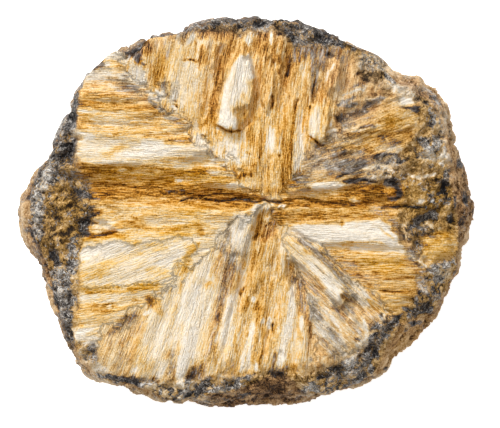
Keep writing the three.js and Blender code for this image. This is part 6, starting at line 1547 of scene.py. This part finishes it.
lumps = 1.0 - np.abs(2.0 * layered(X / 2.6, Y / 2.6, Z / 2.6 + 3, 2) - 1.0) * 2.2
pebbles = 1.0 - np.abs(2.0 * noise(X / 0.8, Y / 0.8, Z / 0.8 + 3) - 1.0)
swirl_x = 1.8 * (noise(X / 2.4, Y / 2.4, Z / 2.4 + 81) - 0.5)
swirl_y = 1.8 * (noise(X / 2.4, Y / 2.4, Z / 2.4 + 93) - 0.5)
creases = np.abs(2.0 * layered((X + swirl_x) / 1.9, (Y + swirl_y) / 1.3, Z / 1.6 + 7, 3) - 1.0)
grit_relief = (
    0.5 * (lumps - 0.4)
    + 0.9 * (layered(X / 1.2, Y / 1.2, Z / 1.2, 3) - 0.5)
    + 1.3 * (np.minimum(creases, 0.4) - 0.25)
    + 0.25 * (pebbles - 0.7)
    + 0.45 * (noise(X / 0.34, Y / 0.34, Z / 0.34) - 0.5)
) * (1.0 - 0.5 * calm)

CRACKS = [  # width, depth, path
    (0.28, 0.9, [(-9.3, 1.35), (-7.3, 1.8), (-6, 1.65), (-4, 1.5), (-2.3, 1.55), (-1, 1.7), (0, 1.5),
     (1, 1.2), (2, 1.45), (3.5, 1.3), (4.6, 1.25)]),
    (0.22, 0.5, [(4.6, 1.25), (6.2, 1.8), (8, 1.5), (10, 1.1), (12, 1.0)]),
    (0.25, 0.5, [(17.5, 0.5), (20, 0.6), (23.3, 0.6)]),
    (0.25, 0.5, [(-4.4, 11.3), (-3.2, 10.75), (-2, 10.5), (-1.2, 10.6)]),
    (0.25, 0.5, [(-22.3, -3.05), (-20.2, -3.3), (-17.6, -2.7)]),
    (0.2, 0.4, [(-12, 2.5), (-9.4, 2.6), (-7, 2.2), (-5, 2.1)]),
    (0.2, 0.5, [(8.5, 17.4), (8.4, 14.4)]),
    (0.25, 0.5, [(6.5, 14.9), (5.9, 13.4)]),
    (0.2, 0.35, [(7.6, 9.9), (8.7, 9.3), (9.3, 8.7), (10.2, 8.6)]),
    (0.25, 0.5, [(3.05, 15.3), (2.9, 13.7)]),
    (0.3, 0.6, [(10.1, 20.6), (10.6, 20.9), (11.3, 20.5)]),
    (0.25, 0.4, [(14.3, 18.1), (15.4, 18.6)]),
    (0.2, 0.4, [(3.05, -14.8), (3.1, -15.7)]),
    (0.25, 0.5, [(4.9, 17.8), (5.5, 20.2)]),
    (0.25, 0.5, [(12.4, 3.9), (15.2, 4.2), (17.4, 3.7)]),
]
cracks = np.zeros(len(X))
crack_shade = np.zeros(len(X))
waver_x = 0.3 * (noise(X / 0.9, Y / 0.9, 61.0) - 0.5)
waver_y = 0.3 * (noise(X / 0.9, Y / 0.9, 67.0) - 0.5)
for width, depth, path in CRACKS:
    gap, along = distance_to_path(X + waver_x, Y + waver_y, path)
    cut = 1.0 - smooth(gap / (width * mix(0.5, 1.0, bulge(along))), 0.25, 1.0)
    cracks = np.maximum(cracks, depth * cut)
    crack_shade = np.maximum(crack_shade, cut)

detail = mix(fibre_relief, grit_relief, grain)
points[:, 2] += face * (coarse + detail - cracks)

# Crust: lumps, pits and ledges round the sides, all cut inwards from the solid.
sway_x = 1.6 * (layered(X / 4.0, Y / 4.0, Z / 4.0 + 20, 2) - 0.5)
sway_z = 1.6 * (layered(X / 4.0, Y / 4.0, Z / 4.0 + 33, 2) - 0.5)
blocks = layered((X + sway_x) / 5.2, Y / 5.2, (Z + sway_z) / 4.2 + 9, 2)
knobs = 1.0 - np.abs(2.0 * layered((X + sway_x) / 2.4, Y / 2.4, (Z + sway_z) / 1.7 + 30, 3) - 1.0) * 1.7
pits = smooth(noise(X / 1.5, Y / 1.5, Z / 1.2 + 50), 0.66, 0.86)
ledge = (Z + 7.0 * layered(round_x / 4.4, round_y / 4.4, Z / 9.0 + 4, 3)) / 4.1
ledge_part = ledge - np.floor(ledge)
folds = np.abs(2.0 * layered((X + sway_x) / 3.6, Y / 3.6, (Z + 2 * sway_z) / 1.5 + 61, 3) - 1.0)
crust_relief = (
    1.9 * (blocks - 0.7)
    + 0.5 * (knobs - 0.8)
    - 0.5 * pits
    + 0.28 * (smooth(ledge_part, 0.0, 0.7) - smooth(ledge_part, 0.78, 1.0) - 0.6)
    + 1.1 * (np.minimum(folds, 0.35) - 0.27)
    + 0.6 * (layered(X / 0.9, Y / 0.9, Z / 0.8 + 5, 3) - 0.5)
)
crevices = 1.0 - smooth(folds, 0.02, 0.14)
crust_relief -= 0.4 * crevices

# How far the crust stands out round the stone: bearing in degrees, height.
SWELL = [
    (-180, 0.6), (-168, 0.55), (-155, 0.1), (-140, 0.0), (-125, 0.35), (-105, 0.1), (-80, 0.3), (-66, 0.0),
    (-50, 0.1), (-36, 0.4), (-26, 0.3), (-15, 0.0), (0, 0.4), (8, 0.3), (20, 0.1), (34, 0.0), (40, 0.4),
    (52, 0.0), (70, 0.1), (80, 0.35), (125, 0.4), (145, 0.3), (160, 0.35), (170, 0.7), (180, 0.6),
]
swell = np.interp(np.degrees(bearing), *zip(*SWELL))
crust = (1.0 - face) * smooth(normals[:, 2], -0.9, -0.3)
floor_fade = smooth(Z, 0.0, 1.2)
points += normals * (crust * mix(0.35, 1.0, floor_fade) * (np.minimum(crust_relief, 0.05) + swell))[:, None]
points[:, 2] = np.maximum(points[:, 2], 0.0)
write_points(points)

# ------------------------------------------------ painted shade that follows the relief
# In the fibres each bundle of splinters takes its own tone, and places that lie low in the relief are
# darker: partly stain held in the hollows, partly painted shade.
lift = np.clip(detail / 0.45, -1.0, 1.0)
tone = tone + (0.12 * bundle + 0.14 * thin_bundles - 0.09 * lift) * fibrous * (1.0 - 0.5 * calm)
# Painted shade in the matrix: the low places of the grit relief get a darker tone and darker, denser soot.
low = np.clip(-grit_relief / 0.6, -1.0, 1.0) * grain * face
tone = tone + 0.16 * low
dark = dark + 0.5 * low
soot = soot + 0.12 * low * smooth(soot, 0.02, 0.1)
# Painted shade and light on the crust: its hollows and crevices are darker, and its ridges lighter.
deep = np.clip(-crust_relief - 0.7, -0.8, 1.0) * np.minimum(skin, crust)
deep = 0.8 * deep + 0.6 * (crevices - 0.15) * np.minimum(skin, crust)
tone = tone + 0.36 * deep
dark = dark + 0.3 * deep
spread = mix(mix(0.15, 0.25, smooth(tone, 0.1, 0.55)), 0.25, grain) * (1.0 - 0.3 * calm) + 0.1 * skin
dark = dark + 0.7 * (layered(X / 1.2, Y / 1.2, Z / 1.2 + 60, 2) - 0.5)

# Painted shade in the carved cracks: nearly black, with dense soot where they cut deepest.
tone = mix(tone, 0.98, crack_shade * 0.9)
soot = mix(soot, 0.75, crack_shade * smooth(cracks, 0.4, 0.8))
dark = mix(dark, 1.0, crack_shade)

store("paint", np.stack([tone, spread, grain], axis=1))
store("spots", np.stack([soot, dark, skin], axis=1))
store("fibre", np.stack([ALONG, ACROSS, SEED], axis=1))
store("dull", dull)
stone.data.attributes.remove(stone.data.attributes["face"])
stone.data.shade_smooth()

# ------------------------------------------------------------------ material


def tint(red, green, blue):
    """A screen colour, 0 to 255, as the linear colour of a surface in this light."""
    return tuple(min(1.0, (c / 255.0) ** 2.2 / 1.04) for c in (red, green, blue)) + (1.0,)


class Maker:
    """Short ways to add nodes to one tree."""

    def __init__(self, tree):
        self.tree = tree
        self.nodes = tree.nodes

    def link(self, source, target):
        self.tree.links.new(source, target)

    def feed(self, socket, value):
        """Sets a socket to a number, or links another socket to it."""
        if isinstance(value, (int, float)):
            socket.default_value = value
        else:
            self.link(value, socket)

    def math(self, operation, *inputs):
        node = self.nodes.new("ShaderNodeMath")
        node.operation = operation
        for socket, value in zip(node.inputs, inputs):
            self.feed(socket, value)
        return node.outputs[0]

    def times(self, a, b):
        return self.math("MULTIPLY", a, b)

    def plus(self, a, b):
        return self.math("ADD", a, b)

    def less(self, a, b):
        return self.math("SUBTRACT", a, b)

    def fit(self, value, low, high, to_low=0.0, to_high=1.0):
        """Moves the range from low to high to another range, and cuts off what lies outside."""
        node = self.nodes.new("ShaderNodeMapRange")
        names = ("Value", "From Min", "From Max", "To Min", "To Max")
        for name, entry in zip(names, (value, low, high, to_low, to_high)):
            self.feed(node.inputs[name], entry)
        return node.outputs[0]

    def ridge(self, value, middle, width):
        """1 where the value crosses the middle, and 0 from a width away."""
        return self.fit(self.math("ABSOLUTE", self.less(value, middle)), 0.0, width, 1.0, 0.0)

    def blend(self, part, a, b, kind="FLOAT"):
        node = self.nodes.new("ShaderNodeMix")
        node.data_type = kind
        *slots, result = {"FLOAT": (0, 2, 3, 0), "RGBA": (0, 6, 7, 2)}[kind]
        for index, entry in zip(slots, (part, a, b)):
            self.feed(node.inputs[index], entry)
        return node.outputs[result]

    def split(self, name):
        reader = self.nodes.new("ShaderNodeAttribute")
        reader.attribute_name = name
        parts = self.nodes.new("ShaderNodeSeparateXYZ")
        self.link(reader.outputs["Vector"], parts.inputs[0])
        return parts.outputs[0], parts.outputs[1], parts.outputs[2]

    def join(self, x, y, z):
        node = self.nodes.new("ShaderNodeCombineXYZ")
        for socket, value in zip(node.inputs, (x, y, z)):
            self.feed(socket, value)
        return node.outputs[0]

    def flat(self, vector, squash):
        """The same place with its height multiplied, so that marks lie level."""
        node = self.nodes.new("ShaderNodeVectorMath")
        node.operation = "MULTIPLY"
        self.link(vector, node.inputs[0])
        node.inputs[1].default_value = (1.0, 1.0, squash)
        return node.outputs[0]

    def curl(self, vector, scale, reach):
        """The same place pushed about by a slow noise."""
        slow = self.nodes.new("ShaderNodeTexNoise")
        slow.inputs["Scale"].default_value = scale
        self.link(vector, slow.inputs["Vector"])
        push = self.nodes.new("ShaderNodeVectorMath")
        push.operation = "MULTIPLY_ADD"
        self.link(slow.outputs[1], push.inputs[0])
        push.inputs[1].default_value = (reach, reach, reach)
        self.link(vector, push.inputs[2])
        return push.outputs[0]

    def ramp(self, value, *stops):
        """A colour for the value, from a band of colours: place, colour."""
        node = self.nodes.new("ShaderNodeValToRGB")
        band = node.color_ramp
        while len(band.elements) < len(stops):
            band.elements.new(0.5)
        for element, (place, colour) in zip(band.elements, stops):
            element.position = place
            element.color = tint(*colour)
        self.link(value, node.inputs[0])
        return node.outputs[0]

    def noise(self, vector, scale, detail=2.0, rough=0.5):
        node = self.nodes.new("ShaderNodeTexNoise")
        node.inputs["Scale"].default_value = scale
        node.inputs["Detail"].default_value = detail
        node.inputs["Roughness"].default_value = rough
        self.link(vector, node.inputs["Vector"])
        return node.outputs[0]


def make_material():
    material = bpy.data.materials.new("chiastolite_stone")
    material.use_nodes = True
    tree = material.node_tree
    m = Maker(tree)
    shader = tree.nodes["Principled BSDF"]
    shader.inputs["Specular IOR Level"].default_value = 0.2

    tone_in, spread_in, grain_in = m.split("paint")
    soot_in, dark_in, skin_in = m.split("spots")
    along, across, seed = m.split("fibre")
    place = tree.nodes.new("ShaderNodeTexCoord").outputs["Object"]

    def drawn(length, width, detail, rough, shift=0.0):
        """Noise drawn out along the fibres. Length and width are counts of waves in a millimetre."""
        start = m.plus(seed, shift)
        return m.noise(m.join(m.times(along, length), m.times(across, width), start), 1.0, detail, rough)

    # Streaks along the fibres in three widths, and grit that has no direction.
    broad = drawn(0.16, 1.3, 2.0, 0.6)
    fine = drawn(0.6, 4.6, 2.0, 0.65)
    hatch = drawn(0.75, 7.5, 1.0, 0.5)
    grit = m.noise(place, 4300.0, 2.0, 0.65)
    curled = m.curl(m.flat(place, 2.6), 330.0, 0.0024)
    crumbs = m.noise(curled, 850.0, 4.0, 0.7)
    threads = m.less(m.fit(hatch, 0.54, 0.6), m.fit(hatch, 0.46, 0.4))
    fibre_drift = m.plus(m.times(broad, 0.26), m.times(fine, 0.42))
    fibre_drift = m.plus(fibre_drift, m.plus(m.times(hatch, 0.2), m.times(grit, 0.38)))
    fibre_drift = m.plus(fibre_drift, m.math("MULTIPLY_ADD", threads, 0.04, -0.138))
    grain_drift = m.plus(m.times(crumbs, 0.6), m.times(grit, 0.4))
    texture = m.blend(grain_in, fibre_drift, grain_drift)
    drift = m.fit(texture, 0.38, 0.62, -1.0, 1.0)

    # Thin dark lines between the fibres, and cracks and pale hairs between the flakes.
    vein = drawn(0.3, 1.7, 3.0, 0.65, shift=31.0)
    line = m.times(m.ridge(vein, 0.5, 0.016), m.fit(m.noise(place, 520.0, 2.0), 0.47, 0.58))
    line = m.times(line, m.fit(tone_in, 0.12, 0.45, 0.05, 1.0))
    line = m.times(line, m.less(1.0, grain_in))
    flake = m.times(m.ridge(m.noise(curled, 520.0, 3.0, 0.6), 0.5, 0.03), grain_in)
    hair = m.times(m.ridge(m.noise(curled, 760.0, 2.0, 0.7), 0.44, 0.022), grain_in)

    # The tone is read as a colour: one band for the fibres, one for the matrix, one for the crust.
    tone_now = m.plus(tone_in, m.times(drift, spread_in))
    tone_now = m.less(tone_now, m.times(hair, 0.2))
    tone_now = m.plus(tone_now, m.times(line, 0.28))
    tone_now = m.plus(tone_now, m.times(flake, 0.3))
    stain = m.ramp(
        tone_now, (0.0, (250, 240, 224)), (0.14, (247, 229, 200)), (0.3, (245, 214, 160)),
        (0.45, (240, 192, 114)), (0.6, (217, 160, 74)), (0.73, (188, 126, 38)), (0.86, (138, 86, 14)),
        (1.0, (62, 36, 10)))
    earth = m.ramp(
        tone_now, (0.0, (244, 232, 212)), (0.2, (226, 202, 164)), (0.42, (206, 168, 112)),
        (0.62, (168, 130, 73)), (0.8, (114, 86, 46)), (1.0, (44, 34, 24)))
    hide = m.ramp(
        tone_now, (0.0, (226, 200, 164)), (0.3, (206, 170, 124)), (0.55, (176, 136, 90)),
        (0.8, (122, 88, 56)), (1.0, (56, 42, 30)))
    ground = m.blend(grain_in, stain, earth, "RGBA")
    ground = m.blend(skin_in, ground, hide, "RGBA")
    dull_in = tree.nodes.new("ShaderNodeAttribute")
    dull_in.attribute_name = "dull"
    fade = tree.nodes.new("ShaderNodeHueSaturation")
    m.link(m.less(1.0, m.times(dull_in.outputs["Fac"], 0.4)), fade.inputs["Saturation"])
    m.link(ground, fade.inputs["Color"])

    # Grey and black soot over it: smudges along the fibres, specks in the matrix and the crust.
    flecks = m.plus(m.times(m.noise(place, 3600.0, 2.0, 0.65), 0.35),
                    m.times(m.noise(curled, 1200.0, 3.0, 0.75), 0.65))
    dashes = drawn(0.5, 2.6, 3.0, 0.7)
    smudge = m.plus(m.times(dashes, 0.6), m.times(grit, 0.4))
    loose = m.fit(m.blend(m.math("MULTIPLY_ADD", grain_in, 0.85, 0.1), smudge, flecks), 0.34, 0.66)
    edge = m.less(1.0, soot_in)
    reach = m.math("MULTIPLY_ADD", skin_in, 0.12, m.math("MULTIPLY_ADD", grain_in, -0.16, 0.34))
    cover = m.fit(loose, m.less(edge, reach), m.plus(edge, reach))
    cover = m.times(cover, m.fit(soot_in, 0.02, 0.16))
    cover = m.times(cover, m.math("MULTIPLY_ADD", grain_in, 0.1, 0.86))
    speck = m.blend(m.less(1.0, grain_in), m.noise(curled, 2800.0, 3.0, 0.75), dashes)
    speck = m.times(m.fit(speck, 0.38, 0.64, -0.25, 0.5), m.math("MULTIPLY_ADD", skin_in, -0.4, 1.0))
    speck = m.math("MULTIPLY_ADD", hair, 0.42, speck)
    shade = m.plus(m.times(m.less(1.0, dark_in), 0.7), speck)
    spot = m.ramp(
        shade, (0.0, (20, 19, 21)), (0.22, (62, 59, 60)), (0.5, (130, 126, 122)), (0.75, (192, 187, 180)),
        (1.0, (244, 240, 234)))
    m.link(m.blend(cover, fade.outputs[0], spot, "RGBA"), shader.inputs["Base Color"])

    # Soot has a faint sheen.
    m.link(m.less(m.fit(texture, 0.35, 0.65, 0.66, 0.88), m.times(cover, 0.3)), shader.inputs["Roughness"])

    bump = tree.nodes.new("ShaderNodeBump")
    bump.inputs["Strength"].default_value = 0.8
    bump.inputs["Distance"].default_value = 0.0008
    m.link(m.less(texture, m.times(line, 0.15)), bump.inputs["Height"])
    m.link(bump.outputs[0], shader.inputs["Normal"])
    return material


stone.data.materials.append(make_material())
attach(stone, "root")
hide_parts("chiastolite")

# ------------------------------------------------------- floor, light, camera

FLOOR_DROP = 0.00005
bpy.ops.object.select_all(action="DESELECT")
bpy.ops.mesh.primitive_plane_add(size=3.0, location=(0, 0, -FLOOR_DROP))
floor = bpy.context.object
floor.name = "floor"
floor_material = bpy.data.materials.new("floor_pale")
floor_material.use_nodes = True
floor_shader = floor_material.node_tree.nodes["Principled BSDF"]
floor_shader.inputs["Base Color"].default_value = (0.93, 0.93, 0.93, 1)
floor_shader.inputs["Roughness"].default_value = 0.9
floor_shader.inputs["Emission Color"].default_value = (1, 1, 1, 1)
floor_shader.inputs["Emission Strength"].default_value = 0.7
floor.data.materials.append(floor_material)


def softbox(name, place, size, watts):
    lamp = bpy.data.lights.new(name, "AREA")
    lamp.shape = "SQUARE"
    lamp.size = size
    lamp.energy = watts
    box = bpy.data.objects.new(name, lamp)
    bpy.context.scene.collection.objects.link(box)
    box.location = place
    box.rotation_euler = (Vector((0, 0, 0.01)) - Vector(place)).to_track_quat("-Z", "Y").to_euler()


softbox("overhead_box", (-0.05, 0.1, 0.9), 0.5, 3.6)
softbox("key_box", (-0.34, 0.56, 0.5), 0.2, 5.8)
world = bpy.data.worlds.new("studio")
world.use_nodes = True
world.node_tree.nodes["Background"].inputs[0].default_value = (1.0, 0.95, 0.88, 1)
world.node_tree.nodes["Background"].inputs[1].default_value = 0.29
bpy.context.scene.world = world
bpy.context.scene.view_settings.view_transform = "Standard"
bpy.context.scene.view_settings.look = "None"

CAMERA_HEIGHT = 0.3854
CAMERA_SHIFT = (-0.058, -0.092)
camera_data = bpy.data.cameras.new("camera")
camera_data.lens = 200.0
camera_data.sensor_width = 36.0
camera_data.clip_start = 0.01
camera = bpy.data.objects.new("camera", camera_data)
bpy.context.scene.collection.objects.link(camera)
camera.location = (CAMERA_SHIFT[0] * MM, CAMERA_SHIFT[1] * MM, CAMERA_HEIGHT)
camera.rotation_euler = (0.0, 0.0, 0.0)
bpy.context.scene.camera = camera
